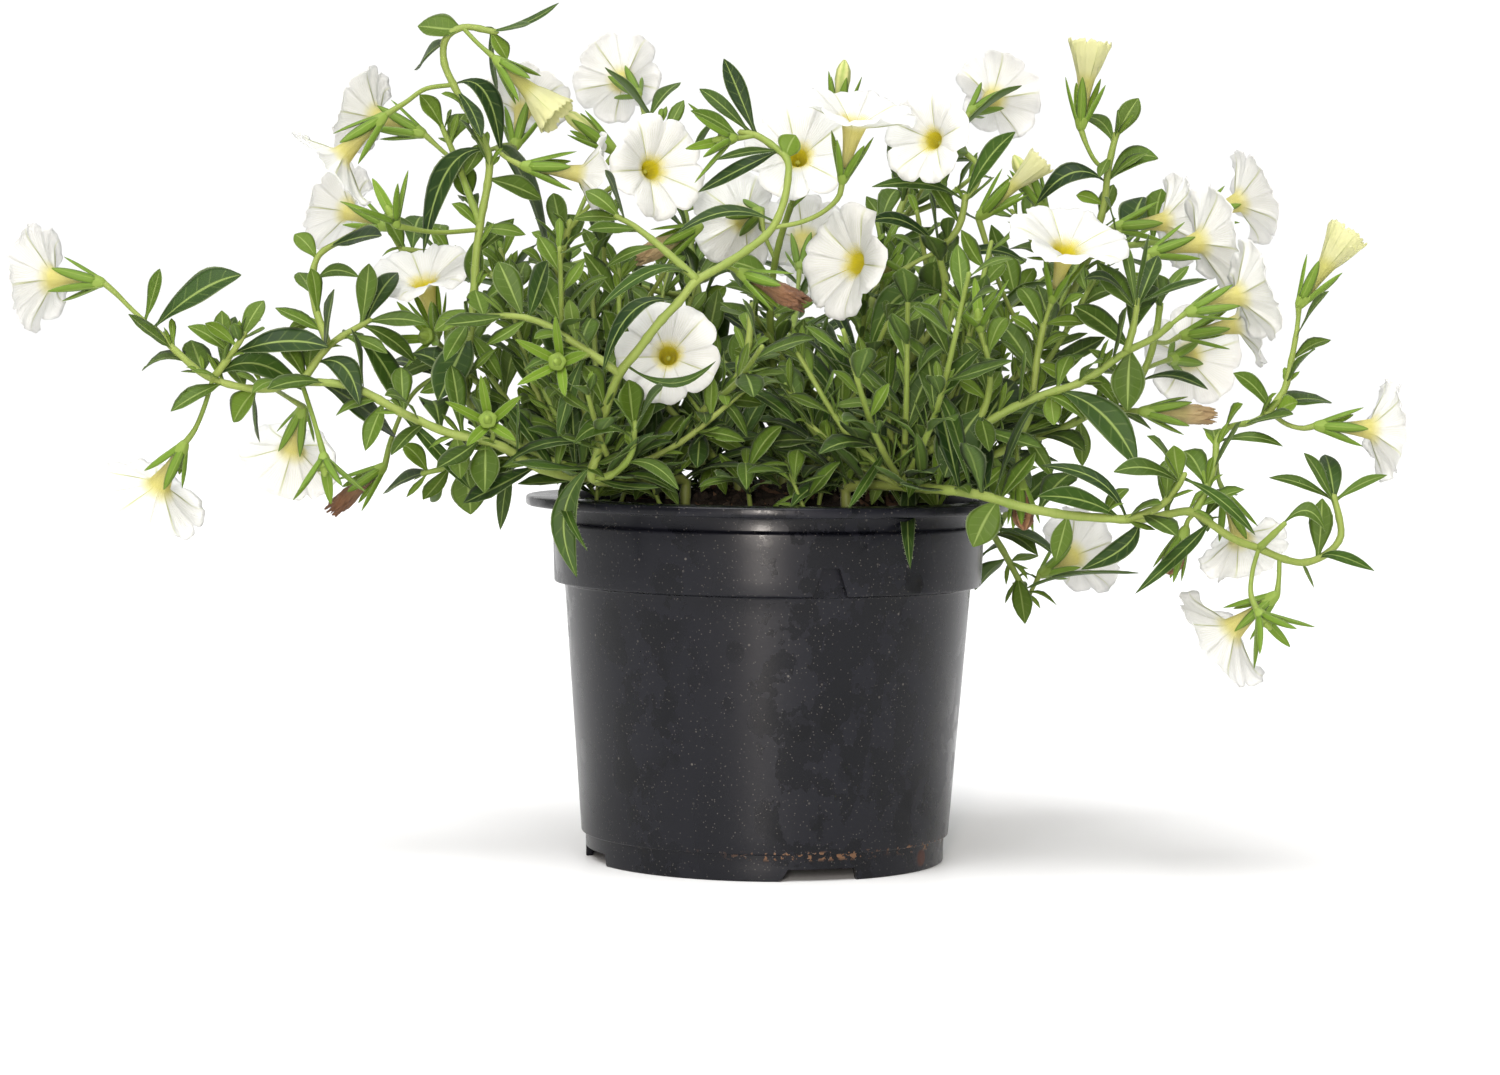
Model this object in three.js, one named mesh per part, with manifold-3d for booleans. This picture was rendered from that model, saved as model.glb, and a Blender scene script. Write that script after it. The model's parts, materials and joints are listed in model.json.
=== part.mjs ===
// A calibrachoa (million bells) in flower, growing in its black nursery pot.
// Units are millimetres, +Z is up, and the origin is the centre of the pot's foot.
// The pot and the soil are turned solids. Each leafy stem is one body with its side
// shoots, leaves, flower stalks and calyces, and each corolla is a body of its own.

import * as THREE from 'three';
import { mergeVertices } from 'three/addons/utils/BufferGeometryUtils.js';
import Module from 'manifold-3d';

const wasm = await Module();
wasm.setup();

// ---------------------------------------------------------------- driving dimensions

const GAP = 0.3;                  // clearance where two pieces meet
const HAIR = 0.002;               // points nearer than this could fall together
const NUDGES = { most: 60, size: 0.08 };
const TURNED_SIDES = 32;          // facets round the pot and the soil

const POT = {
  height: 97, lipRadius: 65, lipDrop: 2.7, lipRound: 0.6,
  neckRadius: 56.9, neckBottom: 90,
  collarTopRadius: 57.8, collarBottomRadius: 57.2, collarBottom: 74,
  wallTopRadius: 54.4, wallTop: 73.5, wallBottomRadius: 49.3, wallBottom: 7.1,
  footRadius: 48, footInnerRadius: 46.2, floorUnderside: 3, floorTop: 4.6,
  mouthRadius: 56.2, mouthDepth: 9, mouthStep: 4, boreTopRadius: 53.4, boreBottomRadius: 47.4,
  footSlope: 0.2, ledgeDrop: 0.1, neckRise: 0.4,
};
// The pad in the middle of the floor, which also bears on the ground, and its side's slope.
const PAD = { radius: 8, slope: 1 };
// Recesses in the collar's lower edge and notches in the foot: azimuth of the first in
// degrees, sizes, and how far each cut starts below what it cuts.
const TAB = { count: 3, first: -74, height: 7.3, bottomWidth: 10, topWidth: 4.6, floorRadius: 55, below: 1 };
const NOTCH = { count: 4, first: -72, width: 18, slope: 3, steepSlope: 1, height: 3.2, below: 1 };
const NOTCH_INNER = POT.footInnerRadius * Math.cos(Math.PI / 12) - 2;
const DRAIN = { count: 6, radius: 4.5, circle: 32, sides: 6, depth: 8 };
const SOIL = { edge: 89.5, crown: 10, crownSteps: [0.72, 0.38] };

const STEM_RADIUS = 1.4;
const SHOOT_RADIUS = 1.1;
const STALK_RADIUS = 0.85;
const STEM_STEP = 17;             // length of one straight facet of a stem
const HOLE_DEPTH = 7;             // how far a stem stands in the soil
const HOLE_RISE = 8;              // how far over the soil the drill of its hole reaches
const PEG_RISE = 4;               // how far over the soil its upright peg reaches
const FOOT_RISES = [2.2, 5.5];    // heights over the soil of its first two knots

const LEAF_KEEL = 0.6;            // how far the midrib stands out below
const ROOT_SCATTER = 0.5;         // how far apart roots that share a node can start
const LEAF_FOLD = 0.16;           // how far the margins rise, as a share of the half width
// Where along a leaf its cross sections lie, for leaves shorter than a length.
const LEAF_CUTS = [[23, [0.13, 0.6]], [Infinity, [0.11, 0.45, 0.78]]];
const PETIOLE = 0.5;              // least half width of a leaf, at its root
const LEAF_ARCH = 0.07;           // how far a leaf's middle rises, as a share of its length
const LEAF_LEAN = 0.6;            // how far leaves lean to and fro, as a share of their length
const LEAF_TWIST = 0.9;           // how far they are turned round the upright, in radians
const MIDDLE_SWING = 0.3;         // how much of a leaf's swing its middle takes
const CUP = { root: 1.6, length: 3.9, floor: 3.7, topRadius: 2.1 };
const SEPAL = { length: 15, droop: 2.5, reach: 6.6, midway: 0.4 };
const LOBES = 5;
const SEPAL_SPREAD = { open: 0.85, trumpet: 0.8, withered: 0.8, bud: 0.7, dried: 0.7, calyx: 1.5 };
const CLOSED = {
  sunk: 1,
  bud: { rings: [[1.5, 7], [2, 12]], tip: 15.5 },
  dried: { rings: [[1.9, 8], [2.6, 12.5]], tip: 14 },
};

// The plant is drawn as it is seen from a point a metre in front of the pot's axis: each
// place is x to the right, z up and y, its depth behind that axis.
const EYE = new THREE.Vector3(-4.9, -1000, 141);

const CLEARANCE = 2.3;            // least distance between points of two pieces
const SIBLING_CLEARANCE = 2;      // and between the leaves and stems of one piece
const POINT_SPACING = 2.4;
const FREE_FROM = 0.15;           // the share of a leaf, next its root, that may touch its stem
const DEPTH_SHIFTS = [0, -5, 5, -10, 10, -15, 15, -21, 21, -27, 27];
const LEAF_TURNS = [0, -0.3, 0.3, -0.6, 0.6, -0.9, 0.9, -1.3, 1.3];
const LEAF_SCALES = [1, 0.8, 0.6];
const SIBLING_WEIGHT = 0.2;       // how much room to siblings counts where none is clear
// How wide a berth pieces give the pot's rim, inside, outside and above, and the soil.
const BERTH = { inside: 3, outside: 2, over: 2, soil: 1 };

// ------------------------------------------------------------------------- materials

const finish = (color, roughness) => () =>
  new THREE.MeshStandardMaterial({ color, roughness, metalness: 0, flatShading: true });
const potPlastic = finish(0x24272c, 0.5);
const darkSoil = finish(0x2a2019, 0.95);
const foliage = finish(0x6f8f3a, 0.6);
const whitePetal = finish(0xf3f2ea, 0.55);
const palePetal = finish(0xe9e6ac, 0.6);
const dryPetal = finish(0x8a5f45, 0.85);

// --------------------------------------------------------------------------- helpers

/** A repeatable stream of numbers from 0 to 1. */
function seeded(seed) {
  let state = seed >>> 0;
  return () => {
    state = (Math.imul(state, 1664525) + 1013904223) >>> 0;
    return state / 4294967296;
  };
}

const degrees = THREE.MathUtils.degToRad;

/** Turns a closed three.js geometry into a solid that can be joined and cut. */
function solidOf(geometry) {
  const bare = geometry.clone();
  bare.deleteAttribute('normal');
  bare.deleteAttribute('uv');
  const merged = mergeVertices(bare, 1e-4);
  return new wasm.Manifold(new wasm.Mesh({
    numProp: 3,
    vertProperties: new Float32Array(merged.attributes.position.array),
    triVerts: new Uint32Array(merged.index.array),
  }));
}

/** The biggest body of a solid, without the scraps that a join can leave. */
function mainBody(solid) {
  const bodies = solid.decompose();
  return bodies.reduce((best, body) => (body.volume() > best.volume() ? body : best));
}

/** True where no two points of a solid lie a hair's breadth apart. */
function isClean(solid) {
  const { vertProperties } = solid.getMesh();
  const points = [];
  for (let i = 0; i < vertProperties.length; i += 3) points.push(vertProperties.slice(i, i + 3));
  points.sort((a, b) => a[0] - b[0]);
  return points.every((a, i) => {
    for (let j = i + 1; j < points.length && points[j][0] - a[0] < HAIR; j += 1) {
      if (Math.hypot(points[j][0] - a[0], points[j][1] - a[1], points[j][2] - a[2]) < HAIR) return false;
    }
    return true;
  });
}

/** Joins a plant's forms. Where two of them only graze, they are nudged and joined again. */
function joined(solids) {
  let body = mainBody(wasm.Manifold.union(solids));
  for (let attempt = 1; attempt <= NUDGES.most && !isClean(body); attempt += 1) {
    const nudge = () => NUDGES.size * (random() - 0.5);
    body = mainBody(wasm.Manifold.union(solids.map((solid) => solid.translate([nudge(), nudge(), nudge()]))));
  }
  return body;
}

/** A named mesh of a solid. */
function meshOf(name, solid, material) {
  const mesh = mainBody(solid).getMesh();
  const geometry = new THREE.BufferGeometry();
  geometry.setAttribute('position', new THREE.BufferAttribute(new Float32Array(mesh.vertProperties), 3));
  geometry.setIndex(new THREE.BufferAttribute(new Uint32Array(mesh.triVerts), 1));
  geometry.computeVertexNormals();
  const part = new THREE.Mesh(geometry, material());
  part.name = name;
  return part;
}

/** A closed skin over rings of equally many points, from a first point to a last one. */
function loft(first, rings, last) {
  const count = rings[0].length;
  const points = [first, ...rings.flat(), last];
  const end = points.length - 1;
  const index = [];
  const at = (ring, column) => 1 + ring * count + (column % count);
  for (let column = 0; column < count; column += 1) {
    index.push(0, at(0, column + 1), at(0, column));
    index.push(end, at(rings.length - 1, column), at(rings.length - 1, column + 1));
    for (let ring = 0; ring + 1 < rings.length; ring += 1) {
      const a = at(ring, column);
      const b = at(ring, column + 1);
      const c = at(ring + 1, column + 1);
      const d = at(ring + 1, column);
      if (column % 2 === 0) index.push(a, b, d, b, c, d);
      else index.push(a, b, c, a, c, d);
    }
  }
  const geometry = new THREE.BufferGeometry().setFromPoints(points);
  geometry.setIndex(index);
  return geometry;
}

/** Two directions square to an axis and to each other. */
function crossAxes(axis) {
  const helper = Math.abs(axis.z) > 0.9 ? new THREE.Vector3(1, 0, 0) : new THREE.Vector3(0, 0, 1);
  const u = new THREE.Vector3().crossVectors(helper, axis).normalize();
  const v = new THREE.Vector3().crossVectors(axis, u);
  return [u, v];
}

/** A regular ring of points round a centre. */
function ring(centre, u, v, radius, count, turn = 0) {
  return Array.from({ length: count }, (_, i) => {
    const angle = turn + (2 * Math.PI * i) / count;
    const across = centre.clone().addScaledVector(u, radius * Math.cos(angle));
    return across.addScaledVector(v, radius * Math.sin(angle));
  });
}

// --------------------------------------------------------------------------- the pot

/** Height of the soil at a distance from the pot's axis. */
const soilHeight = (radius) => SOIL.edge + SOIL.crown * (1 - Math.min(1, radius / POT.mouthRadius) ** 2);

/** Radius of the pot's bore, which tapers from under the mouth to the floor. */
function boreRadius(z) {
  const top = POT.height - POT.mouthDepth - POT.mouthStep;
  const share = (z - POT.floorTop) / (top - POT.floorTop);
  return THREE.MathUtils.lerp(POT.boreBottomRadius, POT.boreTopRadius, share);
}

/** A turned solid from its profile in radius and height. */
function turned(profile) {
  const points = profile.map(([radius, z]) => new THREE.Vector2(radius, z));
  return new THREE.LatheGeometry(points, TURNED_SIDES).rotateX(Math.PI / 2).rotateZ(Math.PI / 2);
}

/** An upright prism over an outline, from a height up. */
function prism(outline, z, height) {
  const shape = new THREE.Shape(outline.map(([x, y]) => new THREE.Vector2(x, y)));
  return new THREE.ExtrudeGeometry(shape, { depth: height, bevelEnabled: false }).translate(0, 0, z);
}

/** A block that lies along +X from one radius to another, with an outline in Y and Z. */
function radialBlock(outline, inner, outer, azimuth) {
  const shape = new THREE.Shape(outline.map(([y, z]) => new THREE.Vector2(y, z)));
  const block = new THREE.ExtrudeGeometry(shape, { depth: outer - inner, bevelEnabled: false });
  block.rotateY(Math.PI / 2).rotateX(Math.PI / 2).translate(inner, 0, 0);
  return solidOf(block.rotateZ(degrees(azimuth)));
}

function buildPot() {
  const mouthBottom = POT.height - POT.mouthDepth;
  let pot = solidOf(turned([
    [0, 0], [PAD.radius, 0], [PAD.radius + PAD.slope, POT.floorUnderside],
    [POT.footInnerRadius, POT.floorUnderside], [POT.footInnerRadius, 0],
    [POT.footRadius, 0], [POT.footRadius + POT.footSlope, POT.wallBottom - POT.ledgeDrop],
    [POT.wallBottomRadius, POT.wallBottom], [POT.wallTopRadius, POT.wallTop],
    [POT.collarBottomRadius, POT.collarBottom], [POT.collarTopRadius, POT.neckBottom],
    [POT.neckRadius, POT.neckBottom + POT.neckRise], [POT.neckRadius, POT.height - POT.lipDrop],
    [POT.lipRadius, POT.height - POT.lipDrop], [POT.lipRadius, POT.height - POT.lipRound],
    [POT.lipRadius - POT.lipRound, POT.height], [POT.mouthRadius, POT.height],
    [POT.mouthRadius, mouthBottom], [POT.boreTopRadius, mouthBottom - POT.mouthStep],
    [POT.boreBottomRadius, POT.floorTop], [0, POT.floorTop],
  ]));
  const tabBottom = POT.collarBottom - TAB.below;
  const tabTop = POT.collarBottom + TAB.height;
  for (let i = 0; i < TAB.count; i += 1) {
    const outline = [
      [-TAB.bottomWidth / 2, tabBottom], [TAB.bottomWidth / 2, tabBottom],
      [TAB.topWidth / 2, tabTop], [-TAB.topWidth / 2, tabTop],
    ];
    const azimuth = TAB.first + (i * 360) / TAB.count;
    pot = pot.subtract(radialBlock(outline, TAB.floorRadius, POT.lipRadius, azimuth));
  }
  for (let i = 0; i < NOTCH.count; i += 1) {
    const outline = [
      [-NOTCH.width / 2 - NOTCH.slope, -NOTCH.below], [NOTCH.width / 2 + NOTCH.steepSlope, -NOTCH.below],
      [NOTCH.width / 2, NOTCH.height], [-NOTCH.width / 2, NOTCH.height],
    ];
    const azimuth = NOTCH.first + (i * 360) / NOTCH.count;
    pot = pot.subtract(radialBlock(outline, NOTCH_INNER, POT.lipRadius, azimuth));
  }
  for (let i = 0; i < DRAIN.count; i += 1) {
    const angle = (2 * Math.PI * i) / DRAIN.count;
    const drill = new THREE.CylinderGeometry(DRAIN.radius, DRAIN.radius, DRAIN.depth, DRAIN.sides);
    drill.rotateX(Math.PI / 2);
    drill.translate(DRAIN.circle * Math.cos(angle), DRAIN.circle * Math.sin(angle), POT.floorTop);
    pot = pot.subtract(solidOf(drill));
  }
  return meshOf('pot', pot, potPlastic);
}

function buildSoil(stems) {
  const mouthBottom = POT.height - POT.mouthDepth;
  let soil = solidOf(turned([
    [0, POT.floorTop + GAP], [POT.boreBottomRadius - GAP, POT.floorTop + GAP],
    [POT.boreTopRadius - GAP, mouthBottom - POT.mouthStep], [POT.mouthRadius - GAP, mouthBottom + GAP],
    [POT.mouthRadius - GAP, SOIL.edge],
    ...SOIL.crownSteps.map((share) => [share * POT.mouthRadius, soilHeight(share * POT.mouthRadius)]),
    [0, soilHeight(0)],
  ]));
  const holeRadius = (STEM_RADIUS + GAP) / Math.cos(Math.PI / 6);
  for (const { foot: [x, y] } of stems) {
    const bottom = soilHeight(Math.hypot(x, y)) - HOLE_DEPTH - GAP;
    const centre = new THREE.Vector3(x, y, 0);
    const outline = ring(centre, new THREE.Vector3(1, 0, 0), new THREE.Vector3(0, 1, 0), holeRadius, 6);
    soil = soil.subtract(solidOf(prism(outline.map((p) => [p.x, p.y]), bottom, HOLE_DEPTH + HOLE_RISE)));
  }
  return meshOf('soil', soil, darkSoil);
}

// ------------------------------------------------- the space that the pieces share

/** The point that is seen at x, z on the drawing and lies at depth y. */
function place(x, z, y) {
  const k = (y - EYE.y) / -EYE.y;
  return new THREE.Vector3(EYE.x + (x - EYE.x) * k, y, EYE.z + (z - EYE.z) * k);
}

/** Where a point is seen on the drawing. */
function seenAt(point) {
  const k = (point.y - EYE.y) / -EYE.y;
  return new THREE.Vector2(EYE.x + (point.x - EYE.x) / k, EYE.z + (point.z - EYE.z) / k);
}

/** Points of the pieces grown so far, each with the name of its piece. */
const taken = [];

function take(points, owner) {
  for (const point of points) taken.push({ point, owner });
}

/** True where a point lies in the pot's lip and wall or in the soil. */
function inPot(point) {
  const radius = Math.hypot(point.x, point.y);
  const overRim = radius > POT.boreTopRadius - BERTH.inside && radius < POT.lipRadius + BERTH.outside;
  if (overRim && point.z < POT.height + BERTH.over) return true;
  if (radius < POT.collarTopRadius + BERTH.outside && point.z < POT.neckBottom) return true;
  return radius < POT.mouthRadius && point.z < soilHeight(radius) + BERTH.soil;
}

/** Distances from points to the nearest point of any other piece and of their own one. */
function roomAround(points, owner) {
  let others = Infinity;
  let siblings = Infinity;
  for (const point of points) {
    if (inPot(point)) return { others: 0, siblings: 0 };
    for (const other of taken) {
      const distance = other.point.distanceToSquared(point);
      if (other.owner !== owner) others = Math.min(others, distance);
      else siblings = Math.min(siblings, distance);
    }
  }
  return { others: Math.sqrt(others), siblings: Math.sqrt(siblings) };
}

/** The first of several versions of a piece that stands clear, or else the clearest. */
function bendClear(versions, owner) {
  let best = null;
  for (const make of versions) {
    const version = make();
    const { others, siblings } = roomAround(version.points, owner);
    version.room = others;
    version.merit = Math.min(others, CLEARANCE) + SIBLING_WEIGHT * Math.min(siblings, SIBLING_CLEARANCE);
    if (others >= CLEARANCE && siblings >= SIBLING_CLEARANCE) return version;
    if (!best || version.merit > best.merit) best = version;
  }
  return best;
}

// ------------------------------------------------------------------- forms that grow

/** A strand through knots: its curve, the straight steps that its rod has, and points along them. */
function strandOf(knots) {
  const curve = new THREE.CatmullRomCurve3(knots);
  const steps = Math.max(1, Math.round(curve.getLength() / STEM_STEP + 0.2));
  const joints = curve.getSpacedPoints(steps);
  const points = [];
  for (let i = 0; i < steps; i += 1) {
    const parts = Math.ceil(joints[i].distanceTo(joints[i + 1]) / POINT_SPACING);
    for (let j = 0; j < parts; j += 1) points.push(joints[i].clone().lerp(joints[i + 1], j / parts));
  }
  points.push(joints[steps]);
  return { curve, steps, points };
}

/** A straight-sided rod along a strand. */
function rod({ curve, steps }, radius, sides) {
  const shape = new THREE.Shape(Array.from({ length: sides }, (_, i) => {
    const angle = (2 * Math.PI * i) / sides;
    return new THREE.Vector2(radius * Math.cos(angle), radius * Math.sin(angle));
  }));
  return new THREE.ExtrudeGeometry(shape, { steps, extrudePath: curve, bevelEnabled: false });
}

/** Half width of a leaf at a share of its length: narrow at the root, widest past the middle. */
const leafOutline = (u) => Math.sin(Math.PI * u ** 1.3) ** 0.85;

/** A leaf from its root over its middle to its tip, its upper face turned to `facing`. */
function leafForm(root, middle, tip, width, facing) {
  const control = middle.clone().multiplyScalar(2).addScaledVector(root, -0.5).addScaledVector(tip, -0.5);
  const midrib = new THREE.QuadraticBezierCurve3(root, control, tip);
  const chord = tip.clone().sub(root).normalize();
  const side = new THREE.Vector3().crossVectors(chord, facing);
  if (side.length() < 0.25) side.crossVectors(chord, new THREE.Vector3(1, 0, 0));
  side.normalize();
  const station = (u) => {
    const centre = midrib.getPoint(u);
    const normal = new THREE.Vector3().crossVectors(side, midrib.getTangent(u)).normalize();
    return { centre, normal, half: Math.max(PETIOLE * (1 - u), (width / 2) * leafOutline(u)) };
  };
  const length = midrib.getLength();
  const blade = () => {
    const cuts = LEAF_CUTS.find(([longest]) => length < longest)[1];
    const rings = cuts.map((u) => {
      const { centre, normal, half } = station(u);
      const rise = half * LEAF_FOLD;
      return [
        centre.clone().addScaledVector(side, -half).addScaledVector(normal, rise),
        centre.clone().addScaledVector(side, half).addScaledVector(normal, rise),
        centre.clone().addScaledVector(normal, -LEAF_KEEL),
      ];
    });
    return loft(root, rings, tip);
  };
  const points = [];
  const rows = Math.max(3, Math.ceil(length / POINT_SPACING));
  for (let row = 1; row <= rows; row += 1) {
    const u = FREE_FROM + ((1 - FREE_FROM) * row) / rows;
    const { centre, normal, half } = station(u);
    const columns = Math.ceil(half / POINT_SPACING);
    for (let column = -columns; column <= columns; column += 1) {
      const share = column / columns;
      const rise = half * LEAF_FOLD * Math.abs(share);
      points.push(centre.clone().addScaledVector(side, half * share).addScaledVector(normal, rise));
    }
  }
  return { blade, points, length };
}

/** The calyx on a stalk's end: a cup whose edge runs out into five narrow sepals. */
function calyxForm(base, axis, spread, turn) {
  const [u, v] = crossAxes(axis);
  const along = (t) => base.clone().addScaledVector(axis, t);
  const count = 2 * LOBES;
  const tips = ring(along(SEPAL.length - SEPAL.droop * spread), u, v, SEPAL.reach * spread, count, turn);
  const notches = ring(along(CUP.length), u, v, CUP.topRadius, count, turn);
  const edge = tips.map((tip, i) => (i % 2 ? notches[i] : tip));
  const form = loft(along(-CUP.root), [edge], along(CUP.floor));
  const sepals = tips.filter((_, i) => i % 2 === 0);
  const points = sepals.flatMap((tip) => [tip, tip.clone().lerp(along(CUP.floor), SEPAL.midway)]);
  return { form, points };
}

// Each kind of corolla: radius and distance along its axis of the tube's top and of its
// rim, and the distance of the bottom of the throat. Then its points for each lobe, how much
// its edge is ruffled, and the share of the radius that its notches reach.
const COROLLA = {
  open: { throat: [3, 11], rim: [14.6, 17.2], pit: 12.6, perLobe: 3, ruffle: 2.6, notch: 0.87 },
  trumpet: { throat: [2.4, 9], rim: [5.8, 18.5], pit: 13, perLobe: 2, ruffle: 1.2, notch: 0.9 },
  withered: { throat: [2.7, 8], rim: [1.9, 14.5], pit: 13.4, perLobe: 2, ruffle: 1.6, notch: 0.8 },
};
const NOTCH_RISE = 0.5;           // how far the notches stand forward of the lobes
// The points by which a corolla is kept clear: rings over its limb, and a line up its tube.
const COROLLA_POINTS = { leastRadius: 2.4, ringStep: 2.7, spacing: 3, limbPower: 0.6, tubeFrom: 6 };

/** A corolla: a narrow tube that opens into five lobes. */
function corollaForm(kind, base, axis, size, turn, random) {
  const { throat, rim, pit, perLobe, ruffle, notch } = COROLLA[kind];
  const [u, v] = crossAxes(axis);
  const origin = base.clone().addScaledVector(axis, CUP.floor + 2 * GAP);
  const along = (t) => origin.clone().addScaledVector(axis, t);
  const count = LOBES * perLobe;
  const evenRing = ([radius, t]) => ring(along(t), u, v, radius * size, count, turn);
  const rimRing = evenRing(rim).map((point, i) => {
    const sinus = i % perLobe === 0;
    const wave = ruffle * (random() - 0.5) + (sinus ? NOTCH_RISE : 0);
    return along(rim[1]).lerp(point, sinus ? notch : 1).addScaledVector(axis, wave);
  });
  const skin = () => loft(origin, [evenRing(throat), rimRing], along(pit));
  const points = [];
  const outer = rim[0] * size;
  const { leastRadius, ringStep, spacing, limbPower, tubeFrom } = COROLLA_POINTS;
  for (let radius = outer; radius > leastRadius; radius -= ringStep) {
    const t = THREE.MathUtils.lerp(throat[1], rim[1], (radius / outer) ** limbPower);
    points.push(...ring(along(t), u, v, radius, Math.ceil((2 * Math.PI * radius) / spacing), turn));
  }
  for (let t = tubeFrom; t < rim[1]; t += POINT_SPACING) points.push(along(t));
  return { skin, points };
}

/** A closed bud, or the dried rest of a flower, that sits fast in its calyx. */
function closedForm(kind, base, axis, turn) {
  const [u, v] = crossAxes(axis);
  const along = (t) => base.clone().addScaledVector(axis, t);
  const rings = CLOSED[kind].rings.map(([radius, t]) => ring(along(t), u, v, radius, LOBES, turn));
  return loft(along(CUP.floor - CLOSED.sunk), rings, along(CLOSED[kind].tip));
}

// ------------------------------------------------------------------- the plant's plan

// Each stem: its foot on the soil in plan, its axis, its side shoots, its flowers and its
// leaves. A shoot or stalk starts on the drawn strand nearest to its first point. A
// leaf is its width, root, sometimes its middle, and tip as x, z pairs.
// A flower is [piece, kind, stalk, way it faces, size]; one without a piece is a bud, the
// dried rest of a flower, or a calyx whose corolla has dropped.

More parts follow.
